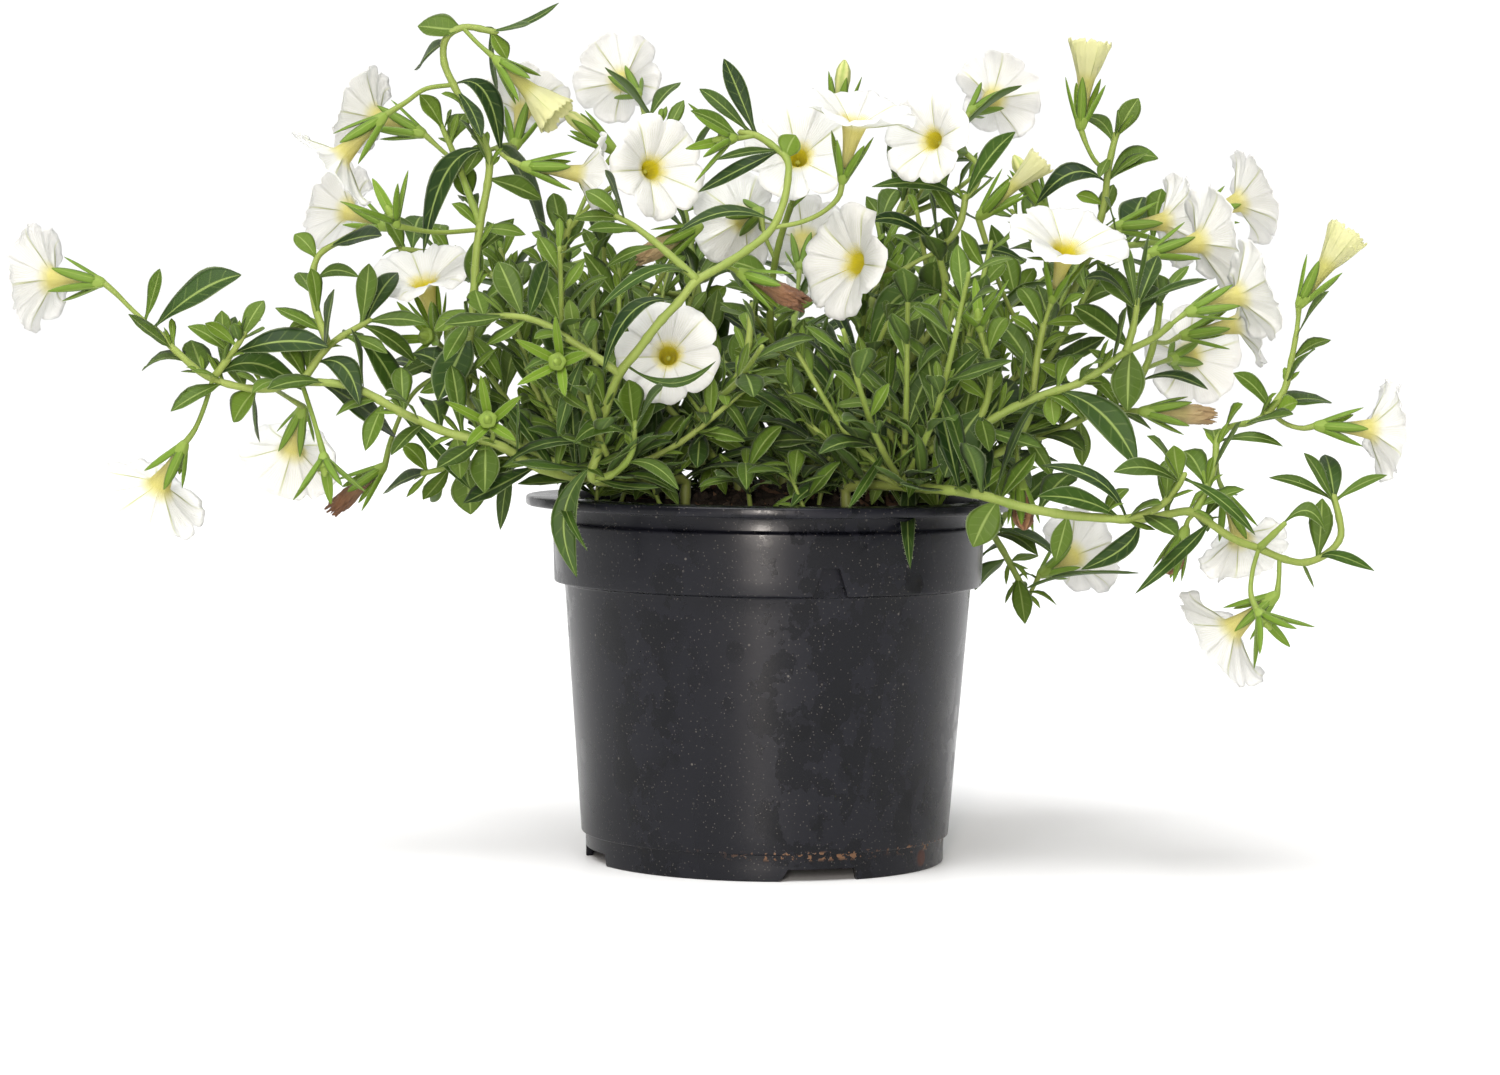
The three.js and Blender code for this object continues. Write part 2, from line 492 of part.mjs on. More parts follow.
const STEMS = [
  {
    name: 'stem_far_left',
    foot: [-26, -13],
    axis: [[-38, 102, -27], [-51, 101.5, -40], [-62, 104, -46], [-73, 110, -50], [-86, 113, -50],
      [-98, 118, -48],
      [-112, 125, -46], [-125, 126, -45], [-136, 124, -44], [-150, 127, -42], [-158, 133, -40],
      [-165, 140, -38]],
    shoots: [
      [[-125, 126, -45], [-118, 136, -42], [-107, 143, -38]],
      [[-118, 136, -42], [-121.5, 145, -38], [-122.8, 153, -35], [-121, 160, -33], [-115, 164, -31],
        [-108, 168, -30]],
      [[-149, 128, -42], [-144.5, 133, -44], [-140.5, 139, -45]],
    ],
    flowers: [
      ['bloom_far_left', 'open', [[-165, 140, -38], [-171, 145, -38], [-175, 149, -38], [-178.5, 152, -38]],
        [-0.93, 0.33, 0.06], 0.98],
      ['bloom_left_low', 'open', [[-150, 127, -42], [-151.5, 119, -43], [-154, 113, -44],
        [-156.5, 109.5, -44]],
        [-0.5, 0.42, -0.74], 1.04],
      ['bloom_left_hanging', 'open', [[-133, 124, -44], [-130, 122.5, -32], [-125, 119.5, -22]],
        [-0.25, 0.62, -0.74], 0.95],
      [null, 'calyx', [[-125, 126, -45], [-121.5, 114, -50], [-119.5, 107, -52]], [0.1, -0.3, -0.9], 1],
      [null, 'calyx', [[-73, 110, -50], [-74, 113, -54], [-75, 115.5, -57]], [-0.05, -0.95, 0.3], 1],
    ],
    leaves: [
      [4, -165, 142, -162.5, 156], [9.5, -164, 141, -153, 150, -142, 154.5],
      [7, -149, 127.5, -138, 131, -124.5, 123.5], [7.5, -144.5, 132, -131, 137, -118, 136.5],
      [4, -144, 134, -155.5, 141], [4.5, -147, 130, -145, 143.5],
      [4.5, -140.5, 138, -136, 148], [4, -140.5, 138, -129, 142.5], [3.5, -143, 136, -151, 141.5],
      [7, -137, 124, -144, 115], [3.5, -138, 124, -140, 109],
      [5, -108, 143, -107.5, 158], [5, -107.5, 143, -101.5, 157],
      [4.6, -107, 143, -92, 142.5], [5, -108, 142, -95, 132], [4.2, -115, 138, -102, 134.2],
      [12, -122, 127, -112, 121, -101, 112], [6, -121, 131, -114, 130.5, -109, 120],
      [7, -112, 140, -104, 131, -99, 118], [4.5, -121.5, 159, -128, 166], [7.5, -117, 162.5, -98, 165.5],
      [4, -122.5, 153, -117, 156, -109, 154], [4, -120, 142, -129, 140],
      [6, -83, 113, -83, 100.5], [7, -77, 111.5, -75.5, 97], [3.4, -98, 118, -90, 109, -80, 97.5],
      [5, -103, 121, -108, 108], [4.4, -92, 115, -100, 108],
    ],
  },
  {
    name: 'stem_tall_left',
    foot: [-26, 6],
    axis: [[-50, 106, -18], [-68, 112, -26], [-79, 119, -30], [-82, 128, -31], [-80.5, 139, -31],
      [-79.5, 150, -31], [-79, 160, -31], [-77.8, 170, -30], [-76, 180, -29], [-75.8, 187, -28],
      [-80, 196, -27], [-85, 205, -26], [-88, 212, -26], [-87.5, 218, -26], [-83, 221, -25],
      [-74, 219.8, -25]],
    shoots: [
      [[-78, 170, -30], [-81.5, 178, -25], [-85, 187, -20], [-89, 196, -16]],
      [[-44, 105, -16], [-58, 106, -18], [-71, 106, -20], [-82, 104.5, -22], [-93, 102, -22]],
    ],
    flowers: [
      ['bloom_left_high', 'open', [[-87, 206.5, -26], [-93, 204.5, -29], [-98, 201, -32],
        [-103.5, 197.5, -34]],
        [-0.72, -0.05, -0.69], 0.95],
      ['bloom_left_behind', 'open', [[-84, 185, -21], [-88, 188, -17], [-93, 192.5, -14]],
        [-0.88, 0.35, 0.3], 0.9],
      ['trumpet_left', 'trumpet', [[-83, 221, -25], [-79, 216.8, -28], [-74.5, 213, -30]],
        [0.72, -0.2, -0.66], 1],
      ['bloom_left_back', 'open', [[-75.8, 188, -28], [-71, 190, -18], [-69, 189, -12]], [0.1, 0.7, 0.7],
        0.85],
      ['bloom_left_side', 'open', [[-75.8, 188, -28], [-71, 186.5, -32], [-67, 184.5, -34]],
        [0.97, 0.1, -0.12], 0.8],
      [null, 'calyx', [[-79, 167, -31], [-90, 166.5, -37], [-100, 168, -43]], [-0.45, -0.3, 0.84], 1],
    ],
    leaves: [
      [8, -84, 220.8, -95, 221], [7, -87.5, 217, -98, 211.5],
      [6, -85.5, 207, -77, 204, -73, 188], [4, -84.5, 205, -76, 191], [6.5, -76, 189, -87, 183, -93, 161],
      [10, -75.5, 188, -68, 182, -63, 160], [6, -76, 180, -62, 175.5], [4, -78, 168, -66, 166],
      [6, -84, 186, -81, 176], [5.5, -79, 165, -80, 152], [9, -81, 138, -87, 121],
      [4, -80, 138, -72, 127], [2.6, -74, 220, -66, 222.5, -57.5, 228], [3.4, -74, 220, -60.5, 220.8],
      [4.6, -75, 219.5, -71, 212.5], [3.2, -75, 219.5, -75, 204],
      [5, -79, 146, -90, 140], [5, -82, 126, -94, 124], [8.5, -80, 104, -80, 91], [6, -91, 102, -105, 95.5],
      [3.6, -70, 105, -72, 87], [6.5, -86, 103, -92, 94], [5, -60, 105, -56, 96], [6, -64, 105, -75, 99],
      [5, -92, 102, -98, 110], [5, -76, 105, -66, 112], [5, -89, 195, -94, 203], [4, -88, 195, -84, 202],
    ],
  },
  {
    name: 'stem_front',
    foot: [-22, -24],
    axis: [[-47.5, 101.5, -48], [-46, 108, -51], [-45, 116, -54], [-42.5, 124, -57], [-40, 130, -59],
      [-36, 135, -61], [-30, 143, -63], [-24.5, 149, -63], [-20.5, 154, -62], [-14, 158, -60],
      [-7, 162.5, -58],
      [-0.5, 168, -56], [2.5, 174, -54], [4, 181, -52], [3.8, 187, -50], [0, 190.5, -48], [-5, 193.5, -46],
      [-9, 194, -45]],
    shoots: [
      [[-40, 130, -59], [-47, 134, -58], [-55, 139, -57], [-62, 143, -55], [-70, 144.5, -53],
        [-79, 143.5, -51],
        [-85, 141, -50]],
      [[-20.5, 154, -62], [-27, 161, -60], [-33, 166, -58], [-38, 169.5, -56], [-42, 171.5, -55]],
      [[-46.5, 103, -48], [-41, 103, -52], [-37, 108, -55], [-36, 116.5, -57]],
    ],
    flowers: [
      ['bloom_top_middle', 'open', [[0, 168, -56], [8, 170.5, -54], [14, 173.5, -52], [17.8, 177.5, -50],
        [18.5, 181, -50]], [0.18, -0.32, 0.93], 1.06],
      ['bloom_dried_middle', 'withered', [[-12, 159, -60], [-11, 158, -57], [-9, 157, -54]],
        [0.88, -0.2, -0.42], 1],
      [null, 'calyx', [[-47, 134, -58], [-52, 133, -61], [-56, 132, -63]], [-0.2, -0.95, 0.1], 1],
      [null, 'calyx', [[-5, 193.5, -46], [-9, 192.5, -47], [-10, 192.5, -48]], [-0.95, -0.2, -0.1], 0.8],
    ],
    leaves: [
      [4.6, -5, 193.5, -13.5, 213.5], [3.6, -7, 194, -20, 206], [4, -9, 194, -22, 199.5],
      [3, 2, 189, -6, 188.6, -15, 186.3], [4.6, 2.5, 189, -8, 184.5, -20, 178],
      [6, 3.5, 188, 6, 193.5], [3.6, 1, 170, -12, 173, -26, 167], [3.6, -21, 154, -31, 157, -45, 146.5],
      [4.6, -25, 149, -37, 146, -45, 129.5], [2.8, -39, 131, -26, 127, -15, 133.5],
      [5, -41, 171, -50, 178.5], [4.6, -42, 171.5, -43.5, 183], [3.6, -40, 170.5, -53, 170.5],
      [4, -36, 168, -49, 167], [3, -30, 164, -45, 158], [6.5, -67, 144, -73, 159], [7, -65, 144, -59, 159],
      [5.5, -64, 143.5, -53, 141.5], [4.5, -80, 143.5, -86, 133], [3.6, -52, 137.5, -54, 149],
      [6, -46.5, 104, -54.5, 92, -51, 75], [7, -36, 115, -38, 128],
      [6, -36, 115, -29.5, 127], [4.6, -37, 112, -45, 115.5, -52, 111], [3.6, -49, 134, -57, 112],
      [3.6, -38.5, 106, -31, 105, -24, 98.5],
    ],
  },
  {
    name: 'stem_centre',
    foot: [-8, -8],
    axis: [[-14, 106, -16], [-18, 112.5, -22], [-18, 119, -26], [-12, 125, -28], [-7.5, 131, -29],
      [-6, 137, -29],
      [-5.5, 143, -28], [-5, 148.5, -27]],
    shoots: [],
    flowers: [
      ['bloom_centre', 'open', [[-18, 118, -25], [-22, 124, -22], [-27, 131, -18]], [0, -0.97, 0.22], 0.94],
    ],
    leaves: [
      [4.6, -6, 134, -8.5, 125.5],
      [5, -16, 120.5, -2, 121.5], [5, -16, 110, -27, 104], [4.6, -8, 130, 3, 136], [4, -17, 112, -6, 108],
    ],
  },
  {
    name: 'stem_front_right',
    foot: [8, -18],
    axis: [[20, 105, -24], [31, 106, -33], [43, 110, -40], [54, 115, -43], [64, 121, -44], [73, 125, -44],
      [84, 129, -43], [95, 136.8, -41], [103, 141, -38], [107, 144.5, -36]],
    shoots: [
      [[32, 105.5, -34], [32.5, 111, -38], [32, 118, -42], [31.5, 124, -44]],
      [[55, 115.5, -43], [58, 123, -45], [58.8, 131, -47], [57.3, 138, -48]],
      [[95, 137, -41], [97, 144, -41], [98, 151, -40]],
    ],
    flowers: [
      ['bloom_right_front', 'open', [[107, 144.5, -36], [109, 146, -35], [111, 147.5, -34]],
        [0.92, 0.25, 0.3], 0.95],
      [null, 'calyx', [[57.3, 138, -48], [56.5, 140, -48], [56, 142, -48]], [-0.15, -0.35, 0.92], 1],
    ],
    leaves: [
      [4.6, 32.5, 104, 34, 93, 32, 80.5], [4, 31, 105, 26.5, 92], [4.8, 32, 115, 23.5, 111, 28, 102.5],
      [2.6, 31, 107, 17, 106, 7, 93], [3.8, 42, 109, 37, 98],
      [4.2, 31.5, 123, 21.5, 133], [3, 31.5, 123, 17, 121], [2.8, 31.5, 123, 32, 137],
      [3.6, 31.5, 123, 35, 133],
      [11, 57, 121, 51, 113, 47, 103], [8, 57, 120, 59.5, 104.5], [8.5, 57, 118, 67, 128],
      [5, 57, 138, 43.5, 122], [4, 57.5, 124, 50.5, 128.5], [3.5, 58, 124, 62, 131], [8, 96, 137, 95.5, 121],
      [7, 94, 138, 81, 149], [8, 76, 126, 89, 120, 98, 106.5], [4.4, 74, 125.5, 76, 117],
      [2.6, 97.5, 150, 94, 167], [2.6, 98, 151, 99, 168], [5, 98, 150, 104.5, 162.5],
      [3.2, 98, 150, 114, 155.5],
      [3.6, 97.5, 150, 90, 156, 82, 155.5],
    ],
  },
  {
    name: 'stem_centre_right',
    foot: [4, -2],
    axis: [[12, 107, -8], [20, 116, -12], [28, 123, -14], [35, 131, -15], [40, 138, -16], [45, 146, -18],
      [46.5, 154, -20], [45, 163, -22], [49.5, 169, -23], [51, 174, -23], [51.5, 178, -23]],
    shoots: [],
    flowers: [
      ['bloom_right_high', 'open', [[51.5, 178, -23], [55, 182, -22], [54.3, 186.5, -20], [51, 189.5, -18]],
        [-0.55, -0.8, 0.15], 0.85],
      ['bloom_big_middle', 'open', [[45, 163, -22], [40, 161, -22], [34.5, 157.5, -22]],
        [-0.75, -0.62, 0.12], 1.05],
    ],
    leaves: [
      [4, 51, 177, 40, 181, 26, 179.3], [5.6, 51.5, 178, 64, 195], [5, 45, 164, 42, 178.5],
      [4.2, 45, 163, 35, 171, 25, 170.5],
      [3.4, 46, 159, 57, 163.5, 68, 160], [7.4, 46.5, 151, 34, 151, 26, 137],
      [3, 46.5, 152, 38, 154.5, 30, 152],
      [5.6, 45, 146, 43, 138], [5, 40, 138, 28, 141], [5, 35, 131, 47, 127],
    ],
  },
  {
    name: 'stem_right_upright',
    foot: [20, -6],
    axis: [[38, 104, -18], [54, 107, -26], [64, 111, -31], [69, 118, -32], [70.5, 127, -33], [71.5, 136, -34],
      [73, 144, -35]],
    shoots: [],
    flowers: [
      ['bloom_right_middle', 'open', [[73, 144, -35], [74, 147, -36], [75, 150, -37]], [0.18, -0.5, 0.84],
        1.08],
      [null, 'dried', [[66, 113, -31], [66.5, 107, -36], [67, 103, -38]], [0.1, -0.3, -0.95], 0.6],
    ],
    leaves: [
      [3.6, 73, 143, 84, 144.5], [3.6, 72, 139, 64, 146], [6, 71, 131, 61, 145], [4, 68, 116, 76, 103],
      [4, 71, 134, 80, 129], [5, 60, 109, 62, 96],
    ],
  },
  {
    name: 'stem_right_low',
    foot: [20, -32],
    axis: [[45, 99.5, -47], [57, 98, -52], [68, 95, -54], [80, 93, -54], [90, 92.3, -54], [97, 92, -54],
      [105, 93, -53], [113, 94.3, -52], [118, 91.5, -51], [125, 87, -50], [132, 84.5, -49], [138, 82, -48],
      [144, 81, -47], [150, 83.5, -46], [153.5, 88, -45], [152.8, 94, -45], [151.3, 99, -44]],
    shoots: [
      [[97, 92, -54], [104, 95, -56], [109, 100, -58], [111.5, 104.5, -60]],
      [[113, 94.3, -52], [117.5, 101, -49], [119.5, 108, -46], [120, 114, -43], [123, 117, -41],
        [129, 118.5, -39],
        [134, 121, -38]],
      [[134, 121, -38], [137.5, 127, -37], [139.5, 136, -36], [140.8, 144, -35]],
      [[132, 84.5, -49], [135.5, 88.5, -52], [138.5, 91.5, -54]],
    ],
    flowers: [
      ['bloom_far_right', 'open', [[134, 121, -38], [138.5, 118, -38], [143, 117, -39], [146, 117.7, -40]],
        [0.97, 0.2, -0.05], 0.92],
      ['trumpet_right', 'trumpet', [[140.8, 144, -35], [141, 147, -34], [141, 149.5, -34]],
        [0.55, 0.1, 0.83], 1],
      ['bloom_right_hanging', 'open', [[119.8, 108, -46], [120.5, 103, -38], [122, 99.5, -34]],
        [0.35, 0.5, -0.79], 0.85],
      ['bloom_right_low', 'open', [[138.3, 82, -48], [137.2, 77, -49], [136.8, 72.5, -50]],
        [-0.68, 0.35, -0.62], 1.06],
      [null, 'calyx', [[131.5, 84.7, -49], [130, 78, -56], [129.8, 72, -60], [131.5, 68, -62]],
        [0.55, -0.3, -0.78], 1],
      [null, 'dried', [[113, 94.3, -52], [112.5, 92, -51], [112, 90, -50]], [-0.35, 0, -0.93], 0.5],
    ],
    leaves: [
      [5, 110, 102, 101, 106, 92, 104.5],
      [5, 111, 104, 108, 112], [3.4, 110, 101.5, 121, 97.5, 131, 88],
      [3.8, 118, 91.5, 111, 85, 96.5, 75], [5, 98, 92, 96, 85, 84, 78.5],
      [5, 80, 93, 77.5, 80], [3.8, 96, 92, 88, 102.5, 73, 105.5], [5.8, 94, 92, 84, 97, 71, 98],
      [3, 151, 97, 143, 102, 134, 104], [4, 151.3, 98, 143, 110.5], [5.2, 151.3, 99, 151.5, 110],
      [2.6, 152, 97, 158, 102, 165, 105],
      [3.2, 146, 82, 152, 83.5, 159.5, 80.5], [4.4, 138, 91, 144, 95, 149.5, 89.5],
      [5, 134, 121, 141, 124], [4.4, 134, 121, 129.5, 128, 123.5, 131.5],
      [3, 120, 112, 129, 114.5, 137, 112.3], [8, 60, 97, 55, 84],
    ],
  },
  {
    name: 'stem_top_right',
    foot: [14, 10],
    axis: [[34, 106, 12], [52, 116, 10], [66, 130, 6], [77, 146, 2], [84.5, 162, -2], [88.5, 176, -5],
      [89.3, 184, -7],
      [90.3, 190, -8], [91.5, 195, -8]],
    shoots: [],
    flowers: [
      ['trumpet_top_right', 'trumpet', [[89.3, 184, -7], [86, 187.5, -9], [83.5, 192, -10], [82, 196, -10]],
        [0.08, -0.05, 1], 1],
      ['bloom_right_side', 'open', [[86, 167, -3], [89, 169, 6], [91, 170, 15]], [0.95, 0.3, 0.12], 0.9],
      ['trumpet_small', 'trumpet', [[70, 135, 5], [62, 152, -2], [55, 172, -6]], [0.72, -0.1, 0.68], 0.72],
      [null, 'bud', [[80, 152, 1], [76, 166, 5], [73, 174, 7]], [-0.5, 0.1, 0.86], 1],
    ],
    leaves: [
      [5, 90, 189, 83.5, 179.5], [6.6, 89, 182, 80, 184.5, 70.5, 176], [6.6, 89.3, 183, 96, 188.5, 103, 189],
      [5, 91.5, 194, 97.3, 204.5], [4, 91, 193, 88, 198, 83.5, 200],
      [4, 88, 176, 81, 178.5], [6, 77, 146, 66, 152], [5, 70, 135, 80, 133], [5, 52, 116, 44, 124],
    ],
  },
  {
    name: 'stem_high_right',
    foot: [26, 4],
    axis: [[44, 106, -4], [58, 109, -9], [70, 113, -13], [80, 117, -16], [88, 121.5, -18], [96, 126, -19],
      [100.5, 133, -19], [103, 142, -19], [104, 150, -18]],
    shoots: [],
    flowers: [
      ['bloom_far_right_high', 'open', [[104, 150, -18], [101.5, 157, -17], [100.5, 163, -16]],
        [0.9, 0.3, 0.22], 1.04],
      ['bloom_right_second', 'open', [[103, 138, -19], [106, 139.5, -22], [109.5, 141.3, -25]],
        [0.93, -0.05, 0.2], 0.88],
      ['bloom_right_below', 'open', [[101, 133, -19], [104, 134, -12], [107, 135, -6]], [0.4, 0.88, 0.05],
        0.95],
      ['bloom_faded_right', 'withered', [[90, 122, -18], [95, 121.3, -24], [99, 121, -28]], [1, 0, -0.05], 1],
    ],
    leaves: [
      [3.6, 99, 129, 106, 131, 114, 127.5], [4.4, 84, 119, 84, 106], [4.4, 94, 124, 84, 131.5],
      [3, 97, 127, 85, 137.5], [3, 104, 149, 112, 160], [4, 104, 149, 96, 158], [5, 70, 113, 76, 122],
      [5, 58, 109, 66, 99],
    ],
  },
  {
    name: 'stem_left_middle',
    foot: [-16, 12],
    axis: [[-34, 106, 14], [-52, 112, 12], [-66, 118, 8], [-76, 125, 4], [-84, 131, 1], [-88, 135, -1]],
    shoots: [],
    flowers: [
      ['bloom_left_middle', 'open', [[-88, 135, -1], [-89, 137, -1], [-89, 139, -1]], [-0.2, -0.45, 0.87], 1],
      [null, 'calyx', [[-83, 130, 1], [-86, 134, -6], [-90, 138, -14]], [-0.5, -0.8, 0.2], 1],
      ['bloom_dried_left', 'withered', [[-84, 131, -3], [-95, 124, 0], [-101, 112, 0], [-103, 104, -2]],
        [-0.75, -0.1, -0.65], 0.9],
    ],
    leaves: [
      [6, -86, 132, -100, 128], [6, -66, 118, -60, 108], [5, -76, 125, -70, 116], [6, -60, 115, -66, 126],
      [6, -90, 128, -104, 133],
    ],
  },
  {
    name: 'stem_centre_left',
    foot: [-10, 16],
    axis: [[-24, 108, 18], [-36, 120, 16], [-46, 133, 12], [-54, 146, 6], [-57.5, 155, 2], [-55.5, 163, -2],
      [-54, 170, -4]],
    shoots: [],
    flowers: [
      ['bloom_middle_left', 'open', [[-54, 169, -4], [-47, 176, -7], [-40, 181, -9]], [0.5, -0.84, 0.15],
        0.96],
      [null, 'bud', [[-54, 170, -4], [-48, 180, 1], [-42, 188.5, 3]], [-0.8, 0, 0.6], 1],
      ['bloom_faded_middle', 'withered', [[-46, 133, 12], [-34, 148, -2], [-24, 164, -12], [-19, 169, -16]],
        [-0.85, -0.2, -0.45], 1],
    ],
    leaves: [
      [5, -55.5, 163, -59, 178], [6, -50, 139, -40, 134],
      [5, -46, 133, -58, 131], [5, -40, 125, -28, 127], [6, -30, 113, -40, 108],
    ],
  },
  {
    name: 'stem_centre_back',
    foot: [2, 14],
    axis: [[4, 110, 24], [2, 124, 26], [0, 139, 22], [0, 153, 14], [2, 165, 6], [5, 175, 0]],
    shoots: [],
    flowers: [
      ['bloom_middle', 'open', [[5, 175, 0], [6, 178, -3], [6.5, 181, -6]], [0, -0.92, 0.38], 0.98],
      ['bloom_shaded', 'open', [[1, 160, 9], [-2, 167, 8], [-3, 173, 8]], [-0.3, 0.92, -0.1], 0.95],
      [null, 'bud', [[5, 175, 0], [11, 187, -8], [17, 196, -12]], [0.1, 0, 1], 1],
    ],
    leaves: [
      [5, 1, 145, 12, 150], [6, 2, 130, -10, 136], [5, 3, 115, 14, 112], [4, 4, 174, 10, 182],
      [6, 0, 155, -12, 160],
    ],
  },
];

// The stems behind: foot, the way each leans in plan, its reach and height, and the
// shares of its length that bear a bloom. Their leaves go round them by a rule.
const BACK_STEMS = [
  { name: 'stem_back_right', foot: [26, 20], azimuth: 18, reach: 92, height: 66, blooms: [1] },
  { name: 'stem_back_right_inner', foot: [18, 30], azimuth: 58, reach: 70, height: 98, blooms: [1] },
  { name: 'stem_back_right_low', foot: [32, 28], azimuth: 44, reach: 60, height: -34, blooms: [1] },
  { name: 'stem_back_middle', foot: [2, 36], azimuth: 84, reach: 84, height: 52, blooms: [1, 0.72] },
  { name: 'stem_back_left_inner', foot: [-14, 32], azimuth: 112, reach: 62, height: 102, blooms: [1] },
  { name: 'stem_back_left', foot: [-28, 22], azimuth: 148, reach: 92, height: 62, blooms: [1] },
];
// Their axes: the first rise over the soil, the shares of the knots, the powers by which
// they lean out and hang, and how far a hanging one rises first.
const BACK_AXIS = { rise: 6, shares: [0.2, 0.4, 0.6, 0.8, 1], leanPower: 1.15, hangPower: 2.2, crest: 9 };
// Their blooms: how far out and up of the stem each stands and how far it tilts up, with
// what a second bloom adds to each.
const BACK_BLOOM = { share: 0.995, out: [5, 4], up: [6, 6], tilt: [0.35, 0.4], size: 0.96 };
const BACK_LEAF = {
  spacing: 13, turn: 137.5, length: 20, width: 7, rise: 0.35, first: 0.12, span: 0.85,
  alongStem: 0.7, leastSize: 0.75, sizeRange: 0.5, arch: 1.6,
};

/** The level direction at an azimuth in degrees. */
const awayAt = (azimuth) => new THREE.Vector3(Math.cos(degrees(azimuth)), Math.sin(degrees(azimuth)), 0);

/** The axis of a stem behind the pot's middle: it rises, leans out and levels off, or hangs. */
function backAxis({ foot, azimuth, reach, height }) {
  const { rise, shares, leanPower, hangPower, crest } = BACK_AXIS;
  const start = soilHeight(Math.hypot(...foot)) + rise;
  return shares.map((share) => {
    const lift = height > 0
      ? height * Math.sin((share * Math.PI) / 2)
      : crest + (height - crest) * share ** hangPower;
    const point = new THREE.Vector3(foot[0], foot[1], start + lift);
    return point.addScaledVector(awayAt(azimuth), reach * share ** leanPower);
  });
}

// -------------------------------------------------------------------------- growing

const random = seeded(20417);
const FRONT = new THREE.Vector3(0, -0.8, 0.6);
const UP = new THREE.Vector3(0, 0, 1);

/** The knots of a drawn strand, with its depth changed more and more towards its tip. */
function knotsOf(drawn, shift, start) {
  const last = drawn.length - 1;
  const knots = drawn.map(([x, z, y], i) => place(x, z, y + (shift * i) / last));
  if (start) knots[0] = start.clone();
  return knots;
}

/** The first knots of a stem, straight up out of the soil. */
function footKnots([x, y]) {
  const soil = soilHeight(Math.hypot(x, y));
  return FOOT_RISES.map((rise) => new THREE.Vector3(x, y, soil + rise));
}

/** The upright peg of a stem that stands in its hole in the soil. */
function footPeg([x, y]) {
  const height = HOLE_DEPTH + PEG_RISE;
  const peg = new THREE.CylinderGeometry(STEM_RADIUS, STEM_RADIUS, height, 6).rotateX(Math.PI / 2);
  return solidOf(peg.translate(x, y, soilHeight(Math.hypot(x, y)) - HOLE_DEPTH + height / 2));
}

/** The point within a stem's strands that is seen nearest to x, z. */
function nearestOn(strands, x, z) {
  let best = null;
  let least = Infinity;
  for (const strand of strands) {
    for (const point of strand.points.slice(0, -1)) {
      const distance = seenAt(point).distanceTo(new THREE.Vector2(x, z));
      if (distance < least) {
        least = distance;
        best = point;
      }
    }
  }
  return best;
}

/** Grows a strand that starts on the stem, bends clear and becomes part of it. */
function growStrand(plant, drawn, radius, sides) {
  const start = nearestOn(plant.strands, drawn[0][0], drawn[0][1]);
  const strand = bendClear(
    DEPTH_SHIFTS.map((shift) => () => strandOf(knotsOf(drawn, shift, start))),
    plant.name,
  );
  plant.strands.push(strand);
  plant.solids.push(solidOf(rod(strand, radius, sides)));
  take(strand.points, plant.name);
  return strand;
}

/** Puts a calyx, and a corolla unless it has dropped, on the end of a stalk. */
function growFlower(plant, [piece, kind, stalk, facing, size], start) {
  const axis = new THREE.Vector3(...facing).normalize();
  const turn = random() * Math.PI;
  const seed = Math.floor(random() * 1e6);
  const version = bendClear(DEPTH_SHIFTS.map((shift) => () => {
    const strand = strandOf(knotsOf(stalk, shift, start));
    const base = strand.points[strand.points.length - 1];
    const corolla = piece ? corollaForm(kind, base, axis, size, turn, seeded(seed)) : null;
    const calyx = calyxForm(base, axis, SEPAL_SPREAD[kind], turn);
    const points = [...strand.points, ...calyx.points, ...(corolla ? corolla.points : [])];
    return { strand, base, corolla, calyx, points };
  }), plant.name);
  const { calyx } = version;
  plant.strands.push(version.strand);
  plant.solids.push(solidOf(rod(version.strand, STALK_RADIUS, 3)), solidOf(calyx.form));
  if (CLOSED[kind]) plant.solids.push(solidOf(closedForm(kind, version.base, axis, turn)));
  take([...version.strand.points, ...calyx.points], plant.name);
  if (!piece) return;
  take(version.corolla.points, piece);
  corollas.push({ name: piece, kind, skin: version.corolla.skin() });
}

/** Adds a leaf that turns in depth, and shrinks, until it stands clear. */
function growLeaf(plant, width, root, middle, tip, facing, turnWay) {
  const length = root.distanceTo(tip);
  const lean = (random() - 0.5) * LEAF_LEAN;
  const versions = [];
  for (const scale of LEAF_SCALES) {
    for (const turn of LEAF_TURNS) {
      versions.push(() => {
        const swing = turnWay.clone().multiplyScalar((lean + turn) * length);
        const end = tip.clone().add(swing).sub(root).multiplyScalar(scale).add(root);
        const bent = middle.clone().addScaledVector(swing, MIDDLE_SWING);
        const bow = bent.sub(root).multiplyScalar(scale).add(root);
        return leafForm(root, bow, end, width * scale, facing);
      });
    }
  }
  const leaf = bendClear(versions, plant.name);
  if (leaf.room < CLEARANCE) return;
  plant.solids.push(solidOf(leaf.blade()));
  take(leaf.points, plant.name);
}

/** A point a little way off another, so that no two roots start from the very same point. */
function scattered(point) {
  const offset = () => ROOT_SCATTER * (random() - 0.5);
  return point.clone().add(new THREE.Vector3(offset(), offset(), offset()));
}

/** A drawn leaf: its root lies on the stem, and its middle is arched if it isn't drawn. */
function growDrawnLeaf(plant, [width, ...places]) {
  const [x0, z0] = places;
  const [x1, z1] = places.slice(-2);
  const root = scattered(nearestOn(plant.strands, x0, z0));
  const tip = place(x1, z1, root.y);
  const middle = places.length === 6
    ? place(places[2], places[3], root.y)
    : root.clone().lerp(tip, 0.5).addScaledVector(UP, LEAF_ARCH * root.distanceTo(tip));
  const facing = FRONT.clone().applyAxisAngle(UP, (random() - 0.5) * LEAF_TWIST);
  growLeaf(plant, width, root, middle, tip, facing, new THREE.Vector3(0, 1, 0));
}

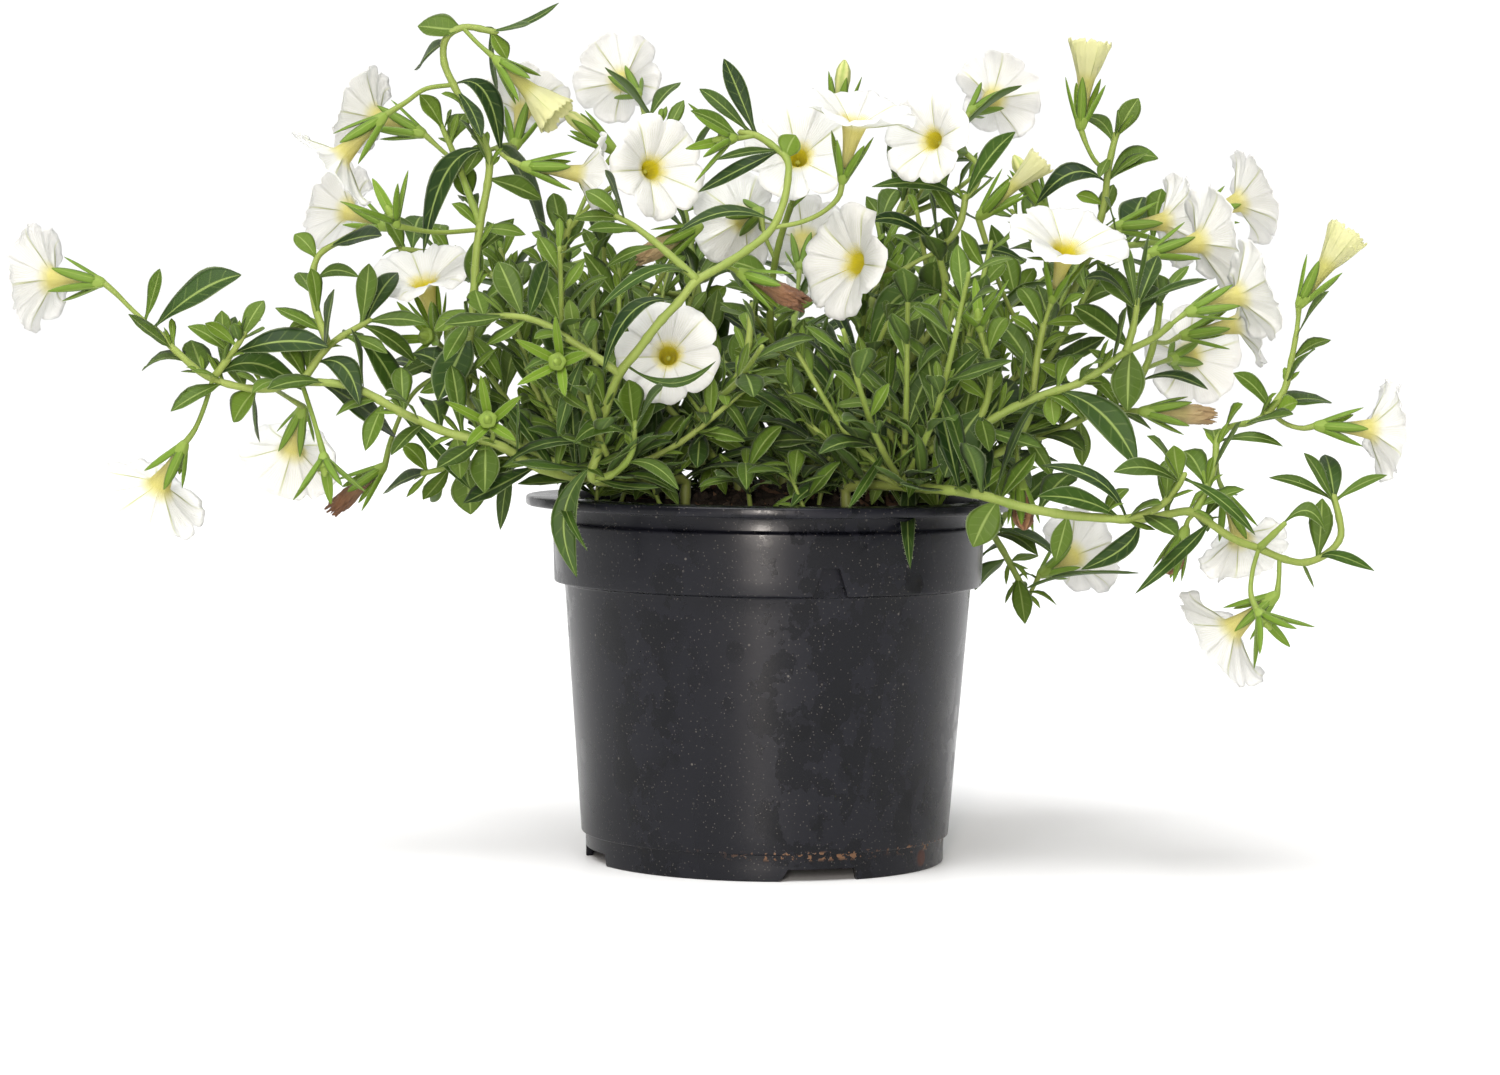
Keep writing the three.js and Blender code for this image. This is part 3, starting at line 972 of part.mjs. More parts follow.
/** Leaves round a stem at even distances, each turned on from the last. */
function growRoundLeaves(plant, strand) {
  const count = Math.floor(strand.curve.getLength() / BACK_LEAF.spacing);
  for (let i = 1; i <= count; i += 1) {
    const share = BACK_LEAF.first + (BACK_LEAF.span * i) / count;
    const root = scattered(strand.points[Math.round(share * (strand.points.length - 1))]);
    const along = strand.curve.getTangentAt(share);
    const [u, v] = crossAxes(along);
    const angle = degrees(BACK_LEAF.turn * i);
    const out = u.multiplyScalar(Math.cos(angle)).addScaledVector(v, Math.sin(angle));
    out.addScaledVector(along, BACK_LEAF.alongStem).addScaledVector(UP, BACK_LEAF.rise).normalize();
    const size = BACK_LEAF.leastSize + BACK_LEAF.sizeRange * random();
    const tip = root.clone().addScaledVector(out, BACK_LEAF.length * size);
    const middle = root.clone().lerp(tip, 0.5).addScaledVector(UP, BACK_LEAF.arch);
    const turnWay = new THREE.Vector3().crossVectors(out, UP).normalize();
    growLeaf(plant, BACK_LEAF.width * size, root, middle, tip, UP, turnWay);
  }
}

const corollas = [];
const plants = [];

for (const stem of STEMS) {
  const plant = { name: stem.name, strands: [], solids: [], stem };
  const version = bendClear(
    DEPTH_SHIFTS.map((shift) => () => strandOf([...footKnots(stem.foot), ...knotsOf(stem.axis, shift)])),
    stem.name,
  );
  plant.strands.push(version);
  plant.solids.push(footPeg(stem.foot), solidOf(rod(version, STEM_RADIUS, 4)));
  take(version.points, stem.name);
  plants.push(plant);
}
for (const stem of BACK_STEMS) {
  const plant = { name: stem.name, strands: [], solids: [], stem };
  const strand = strandOf([...footKnots(stem.foot), ...backAxis(stem)]);
  plant.strands.push(strand);
  plant.solids.push(footPeg(stem.foot), solidOf(rod(strand, STEM_RADIUS, 4)));
  take(strand.points, stem.name);
  plants.push(plant);
}
for (const plant of plants) {
  for (const drawn of plant.stem.shoots ?? []) growStrand(plant, drawn, SHOOT_RADIUS, 3);
}
for (const plant of plants) {
  for (const flower of plant.stem.flowers ?? []) {
    const [x, z] = flower[2][0];
    growFlower(plant, flower, nearestOn(plant.strands, x, z));
  }
}
for (const plant of plants.filter(({ stem }) => stem.blooms)) {
  const { curve } = plant.strands[0];
  const away = awayAt(plant.stem.azimuth);
  plant.stem.blooms.forEach((share, i) => {
    const [out, up, tilt] = [BACK_BLOOM.out, BACK_BLOOM.up, BACK_BLOOM.tilt].map(([a, b]) => a + b * i);
    const start = curve.getPointAt(share * BACK_BLOOM.share);
    const end = start.clone().addScaledVector(away, out).addScaledVector(UP, up);
    const facing = away.clone().addScaledVector(UP, tilt);
    const seen = seenAt(end);
    const begin = seenAt(start);
    const stalk = [[begin.x, begin.y, start.y], [seen.x, seen.y, end.y]];
    const piece = plant.name.replace('stem', 'bloom') + (i ? '_second' : '');
    growFlower(plant, [piece, 'open', stalk, facing.toArray(), BACK_BLOOM.size], start);
  });
}
for (const plant of plants) {
  for (const leaf of plant.stem.leaves ?? []) growDrawnLeaf(plant, leaf);
  if (plant.stem.blooms) growRoundLeaves(plant, plant.strands[0]);
}

// ------------------------------------------------------------------------- the group

const PETAL_OF = { open: whitePetal, trumpet: palePetal, withered: dryPetal };

const group = new THREE.Group();
group.add(buildPot());
group.add(buildSoil(plants.map(({ stem }) => stem)));
for (const { name, solids } of plants) group.add(meshOf(name, joined(solids), foliage));
for (const { name, kind, skin } of corollas) group.add(meshOf(name, solidOf(skin), PETAL_OF[kind]));

export default group;
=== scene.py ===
"""A calibrachoa in white flower in its black nursery pot.

The plant is grown here from the same plan as its solids: each stem, leaf, calyx and
corolla is placed by the plan, and then built as a fine surface around that place. The pot,
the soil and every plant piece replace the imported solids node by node. Plan lengths are
millimetres, and meshes are metres.
"""

import json
import logging
import math
from collections.abc import Iterator
from dataclasses import dataclass, field
from enum import Enum

import bpy
import numpy as np
from mathutils import Matrix, Vector

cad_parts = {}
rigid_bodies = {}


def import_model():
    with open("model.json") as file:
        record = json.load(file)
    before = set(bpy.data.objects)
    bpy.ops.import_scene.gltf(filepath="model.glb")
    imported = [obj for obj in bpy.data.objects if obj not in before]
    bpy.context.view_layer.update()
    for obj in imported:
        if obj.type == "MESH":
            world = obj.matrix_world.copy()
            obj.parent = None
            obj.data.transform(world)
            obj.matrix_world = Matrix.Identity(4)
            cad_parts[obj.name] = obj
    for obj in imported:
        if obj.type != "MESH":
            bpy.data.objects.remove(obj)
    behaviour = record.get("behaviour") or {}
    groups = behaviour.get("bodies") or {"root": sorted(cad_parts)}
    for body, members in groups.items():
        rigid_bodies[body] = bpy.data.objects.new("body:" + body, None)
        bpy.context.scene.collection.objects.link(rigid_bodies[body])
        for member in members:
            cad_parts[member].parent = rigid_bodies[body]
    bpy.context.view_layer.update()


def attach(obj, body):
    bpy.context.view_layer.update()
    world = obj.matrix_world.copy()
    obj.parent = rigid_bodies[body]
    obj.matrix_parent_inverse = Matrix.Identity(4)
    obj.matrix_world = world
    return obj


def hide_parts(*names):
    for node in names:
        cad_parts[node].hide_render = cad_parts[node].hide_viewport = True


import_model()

log = logging.getLogger("calibrachoa")

MM = 0.001
UP = np.array([0.0, 0.0, 1.0])

# ------------------------------------------------------------------ driving dimensions

GAP = 0.3
LOBES = 5
GOLDEN_TURN = math.radians(137.5)


@dataclass(frozen=True)
class PotSize:
    """Sizes of the nursery pot, in millimetres from its foot up."""

    height: float = 97.0
    lip_radius: float = 65.0
    lip_drop: float = 2.7
    neck_radius: float = 56.9
    neck_bottom: float = 90.0
    collar_top_radius: float = 57.8
    collar_bottom_radius: float = 57.2
    collar_bottom: float = 74.0
    wall_top_radius: float = 54.4
    wall_top: float = 73.5
    wall_bottom_radius: float = 49.3
    wall_bottom: float = 7.1
    foot_radius: float = 48.0
    foot_inner_radius: float = 46.2
    floor_underside: float = 3.0
    floor_top: float = 4.6
    pad_radius: float = 8.0
    mouth_radius: float = 56.2
    mouth_depth: float = 9.0
    mouth_step: float = 4.0
    bore_top_radius: float = 53.4
    bore_bottom_radius: float = 47.4


@dataclass(frozen=True)
class SoilSize:
    """Sizes of the soil: its height at the wall and how far it is mounded."""

    edge: float = 89.5
    crown: float = 10.0


POT = PotSize()
SOIL = SoilSize()


@dataclass(frozen=True)
class GrowthRule:
    """Distances and steps by which the plant's pieces stand clear of each other."""

    eye: tuple[float, float, float] = (-4.9, -1000.0, 141.0)
    clearance: float = 2.3
    sibling_clearance: float = 2.0
    point_spacing: float = 2.4
    stem_step: float = 17.0
    root_scatter: float = 0.5
    least_half_width: float = 0.5
    ring_spacing: float = 2.7
    rim_spacing: float = 3.0
    innermost: float = 2.4
    strand_radii: tuple[float, ...] = (1.4, 1.1, 0.85)
    leaf_bow: float = 0.07
    leaf_swing: float = 0.9
    leaf_lean: float = 0.6
    leaf_fold: float = 0.16
    depth_shifts: tuple[float, ...] = (0, -5, 5, -10, 10, -15, 15, -21, 21, -27, 27)
    leaf_turns: tuple[float, ...] = (0, -0.3, 0.3, -0.6, 0.6, -0.9, 0.9, -1.3, 1.3)
    leaf_scales: tuple[float, ...] = (1, 0.8, 0.6)
    seed: int = 20417


RULE = GrowthRule()


class Kind(Enum):
    """What stands on the end of a flower stalk."""

    OPEN = "open"
    TRUMPET = "trumpet"
    WITHERED = "withered"
    BUD = "bud"
    DRIED = "dried"
    CALYX = "calyx"


@dataclass(frozen=True)
class CalyxSize:
    """Sizes of a calyx: a small cup whose edge runs out into five sepals."""

    root: float = 1.6
    length: float = 3.9
    floor: float = 3.7
    top_radius: float = 2.1
    sepal_length: float = 15.0
    sepal_droop: float = 2.5
    sepal_reach: float = 6.6


CALYX = CalyxSize()
SEPAL_SPREAD = {
    Kind.OPEN: 0.85, Kind.TRUMPET: 0.8, Kind.WITHERED: 0.8,
    Kind.BUD: 0.7, Kind.DRIED: 0.7, Kind.CALYX: 1.5,
}


@dataclass(frozen=True)
class CorollaSize:
    """A corolla's outline: radius and distance along its axis of the tube's top and the rim."""

    throat_radius: float
    throat_at: float
    rim_radius: float
    rim_at: float
    per_lobe: int
    ruffle: float
    notch: float


COROLLAS = {
    Kind.OPEN: CorollaSize(3.0, 11.0, 14.6, 17.2, 3, 2.6, 0.87),
    Kind.TRUMPET: CorollaSize(2.4, 9.0, 5.8, 18.5, 2, 1.2, 0.9),
    Kind.WITHERED: CorollaSize(2.7, 8.0, 1.9, 14.5, 2, 1.6, 0.8),
}


def soil_height(radius: float) -> float:
    """Height of the soil: its edge plus a crown that falls as the square of the radius."""
    return SOIL.edge + SOIL.crown * (1 - min(1.0, radius / POT.mouth_radius) ** 2)


# --------------------------------------------------------------------- repeatable draws


class Draws:
    """A repeatable stream of numbers from 0 to 1, by a linear congruence modulo 2^32."""

    def __init__(self, seed: int) -> None:
        """Starts the stream at a seed."""
        self.state = seed % 2**32

    def next(self) -> float:
        """Returns the next number."""
        self.state = (self.state * 1664525 + 1013904223) % 2**32
        return self.state / 2**32


# ------------------------------------------------------------------------------- curves


class Spline:
    """A centripetal Catmull-Rom curve through knots.

    Between two knots the curve is a cubic whose end tangents are worked out from the four
    knots around it, each step weighted by the square root of its length.
    """

    DIVISIONS = 200

    def __init__(self, knots: np.ndarray) -> None:
        """Works out the cubic of each span.

        Args:
            knots: the points that the curve passes, as rows.
        """
        self.knots = np.asarray(knots, float)
        first = (self.knots[0] - self.knots[1]) + self.knots[0]
        last = (self.knots[-1] - self.knots[-2]) + self.knots[-1]
        run = np.vstack([first, self.knots, last])
        step = (np.diff(run, axis=0) ** 2).sum(1) ** 0.25
        before, here, after = step[:-2].copy(), step[1:-1].copy(), step[2:].copy()
        here[here < 1e-4] = 1.0
        before = np.where(before < 1e-4, here, before)[:, None]
        after = np.where(after < 1e-4, here, after)[:, None]
        here = here[:, None]
        p0, p1, p2, p3 = run[:-3], run[1:-2], run[2:-1], run[3:]
        start = ((p1 - p0) / before - (p2 - p0) / (before + here) + (p2 - p1) / here) * here
        end = ((p2 - p1) / here - (p3 - p1) / (here + after) + (p3 - p2) / after) * here
        self.terms = (p1, start, -3 * p1 + 3 * p2 - 2 * start - end, 2 * p1 - 2 * p2 + start + end)
        table = self.at(np.arange(self.DIVISIONS + 1) / self.DIVISIONS)
        steps = np.sqrt((np.diff(table, axis=0) ** 2).sum(1))
        self.lengths = np.concatenate([[0.0], np.cumsum(steps)])

    @property
    def length(self) -> float:
        """Length of the curve."""
        return float(self.lengths[-1])

    def at(self, parameter: np.ndarray) -> np.ndarray:
        """Points at shares of the knots' count.

        Args:
            parameter: numbers from 0 to 1, even from knot to knot.

        Returns:
            One point a row.
        """
        place = (len(self.knots) - 1) * np.asarray(parameter, float)
        span = np.minimum(np.floor(place).astype(int), len(self.knots) - 2)
        weight = (place - span)[:, None]
        c0, c1, c2, c3 = (term[span] for term in self.terms)
        return c0 + c1 * weight + c2 * weight * weight + c3 * weight * weight * weight

    def along(self, share: np.ndarray) -> np.ndarray:
        """Points at shares of the curve's length, one a row."""
        grid = np.arange(self.DIVISIONS + 1) / self.DIVISIONS
        return self.at(np.interp(np.asarray(share, float) * self.length, self.lengths, grid))

    def tangent_along(self, share: np.ndarray) -> np.ndarray:
        """Unit directions at shares of the curve's length, from two points a hair apart.

        Args:
            share: shares from 0 to 1.

        Returns:
            A unit vector for each share.
        """
        grid = np.arange(self.DIVISIONS + 1) / self.DIVISIONS
        parameter = np.interp(np.asarray(share, float) * self.length, self.lengths, grid)
        ahead = self.at(np.minimum(parameter + 1e-4, 1.0))
        return unit(ahead - self.at(np.maximum(parameter - 1e-4, 0.0)))


class Strand:
    """A strand of the plant: its curve, and points along its straight steps."""

    def __init__(self, knots: np.ndarray, radius: float, order: int) -> None:
        """Works out the strand's points.

        Args:
            knots: the points that its curve passes, as rows.
            radius: its thickness halved, in millimetres.
            order: 0 for a stem's axis, 1 for a side shoot and 2 for a flower's stalk.
        """
        self.curve = Spline(knots)
        self.radius = radius
        self.order = order
        self.parent: Strand | None = None
        steps = max(1, math.floor(self.curve.length / RULE.stem_step + 0.2 + 0.5))
        joints = self.curve.along(np.arange(steps + 1) / steps)
        rows = []
        for here, ahead in zip(joints, joints[1:]):
            parts = math.ceil(math.dist(here, ahead) / RULE.point_spacing)
            rows.append(here + (ahead - here) * (np.arange(parts) / parts)[:, None])
        rows.append(joints[-1:])
        self.points = np.vstack(rows)


def unit(vectors: np.ndarray) -> np.ndarray:
    """Vectors scaled to length 1, along the last axis."""
    length = np.linalg.norm(vectors, axis=-1, keepdims=True)
    return vectors / np.maximum(length, 1e-12)


def cross_axes(axis: np.ndarray) -> tuple[np.ndarray, np.ndarray]:
    """Two directions square to an axis and to each other.

    Args:
        axis: the direction that they are square to.

    Returns:
        Two unit vectors.
    """
    helper = np.array([1.0, 0.0, 0.0]) if abs(axis[2]) > 0.9 else UP
    across = unit(np.cross(helper, axis))
    return across, np.cross(axis, across)


def round_angles(count: int) -> np.ndarray:
    """Even angles round a circle, from 0."""
    return 2 * math.pi * np.arange(count) / count


def spokes(angle: np.ndarray, axes: tuple[np.ndarray, np.ndarray]) -> np.ndarray:
    """Directions at angles: the cosine times the first axis plus the sine times the second."""
    return np.cos(angle)[..., None] * axes[0] + np.sin(angle)[..., None] * axes[1]


def ring(centre: np.ndarray, axes: tuple[np.ndarray, np.ndarray], radius: float, count: int,
         turn: float) -> np.ndarray:
    """A regular ring: the centre plus radius times the cosine and sine of even angles."""
    return centre + radius * spokes(turn + round_angles(count), axes)


# ---------------------------------------------------------------- the space they share

EYE = np.array(RULE.eye)


def place(x: float, z: float, y: float) -> np.ndarray:
    """The point that is seen at x, z on the drawing and lies at depth y."""
    k = (y - EYE[1]) / -EYE[1]
    return np.array([EYE[0] + (x - EYE[0]) * k, y, EYE[2] + (z - EYE[2]) * k])


def seen_at(points: np.ndarray) -> np.ndarray:
    """Where points are seen on the drawing, as x, z rows."""
    k = (points[:, 1] - EYE[1]) / -EYE[1]
    return np.stack([EYE[0] + (points[:, 0] - EYE[0]) / k, EYE[2] + (points[:, 2] - EYE[2]) / k], 1)


class Space:
    """The points of all pieces grown so far, each with its owner."""

    def __init__(self) -> None:
        """Starts empty."""
        self.points = np.empty((0, 3))
        self.owners = np.empty(0, int)
        self.names: dict[str, int] = {}

    def take(self, points: np.ndarray, owner: str) -> None:
        """Adds points that belong to a piece.

        Args:
            points: the points, as rows.
            owner: the name of the piece that they belong to.
        """
        number = self.names.setdefault(owner, len(self.names))
        self.points = np.vstack([self.points, points])
        self.owners = np.concatenate([self.owners, np.full(len(points), number)])

    @staticmethod
    def in_pot(points: np.ndarray) -> bool:
        """True where any point lies in the pot's lip or wall, or in the soil.

        Args:
            points: the points, as rows.

        Returns:
            Whether any does.
        """
        radius = np.hypot(points[:, 0], points[:, 1])
        height = points[:, 2]
        over_rim = (radius > POT.bore_top_radius - 3) & (radius < POT.lip_radius + 2)
        in_wall = (radius < POT.collar_top_radius + 2) & (height < POT.neck_bottom)
        fall = np.minimum(1.0, radius / POT.mouth_radius) ** 2
        soil = SOIL.edge + SOIL.crown * (1 - fall)
        in_soil = (radius < POT.mouth_radius) & (height < soil + 1)
        return bool(((over_rim & (height < POT.height + 2)) | in_wall | in_soil).any())

    def room(self, points: np.ndarray, owner: str) -> tuple[float, float]:
        """Least distances from points to other pieces and to their own, up to the clearances.

        Args:
            points: sample points of a piece that isn't placed yet.
            owner: the piece that they would belong to.

        Returns:
            The distance to others and the distance to siblings.
        """
        if self.in_pot(points):
            return 0.0, 0.0
        low = points.min(0) - RULE.clearance
        high = points.max(0) + RULE.clearance
        near = ((self.points >= low) & (self.points <= high)).all(1)
        if not near.any():
            return RULE.clearance, RULE.sibling_clearance
        gaps = points[:, None, :] - self.points[near][None]
        least = np.sqrt((gaps**2).sum(2).min(0))
        own = self.owners[near] == self.names.get(owner, -1)
        others = least[~own].min(initial=RULE.clearance)
        siblings = least[own].min(initial=RULE.sibling_clearance)
        return float(others), float(siblings)

    def bend_clear(self, versions: Iterator, owner: str) -> tuple[object, float]:
        """The first version of a piece that stands clear, or else the clearest.

        Args:
            versions: candidates, each with sample points.
            owner: the piece that they would belong to.

        Returns:
            The version and its distance to other pieces.
        """
        best, best_room, best_merit = None, 0.0, -1.0
        for version in versions:
            others, siblings = self.room(version.points, owner)
            if others >= RULE.clearance and siblings >= RULE.sibling_clearance:
                return version, others
            merit = others + 0.2 * siblings
            if merit > best_merit:
                best, best_room, best_merit = version, others, merit
        return best, best_room


# --------------------------------------------------------------------- the plant's plan

Knots = list[list[float]]


@dataclass(frozen=True)
class Flower:
    """A flower in the plan: its corolla's piece, what it is, its stalk, where it faces, its size.

    One without a piece is a bud, the dried rest of a flower, or a calyx without a corolla.
    """

    piece: str | None
    kind: Kind
    stalk: Knots
    facing: list[float]
    size: float


@dataclass(frozen=True)
class StemPlan:
    """A drawn stem: places are x to the right, z up and y the depth, as seen from the eye.

    A leaf is its width, root, sometimes its middle, and tip as x, z pairs.
    """

    name: str
    foot: list[float]
    axis: Knots
    shoots: list[Knots]
    flowers: list[Flower]
    leaves: list[list[float]]


@dataclass(frozen=True)
class BackStemPlan:
    """A stem behind the pot's middle, by rule: how it leans in plan, its reach and height.

    Blooms are the shares of its length that bear one. Its leaves go round it evenly.
    """

    name: str
    foot: list[float]
    azimuth: float
    reach: float
    height: float
    blooms: list[float]

    def away(self) -> np.ndarray:
        """The level direction in which the stem leans."""
        angle = math.radians(self.azimuth)
        return np.array([math.cos(angle), math.sin(angle), 0.0])

    def axis(self) -> np.ndarray:
        """Knots of the axis: it rises as a sine, or falls as a power, of its share.

        Returns:
            The knots, as rows.
        """
        start = soil_height(math.hypot(*self.foot)) + 6
        rows = []
        for share in (0.2, 0.4, 0.6, 0.8, 1.0):
            if self.height > 0:
                lift = self.height * math.sin(share * math.pi / 2)
            else:
                lift = 9 + (self.height - 9) * share**2.2
            rows.append(np.array([*self.foot, start + lift]) + self.away() * self.reach * share**1.15)
        return np.array(rows)


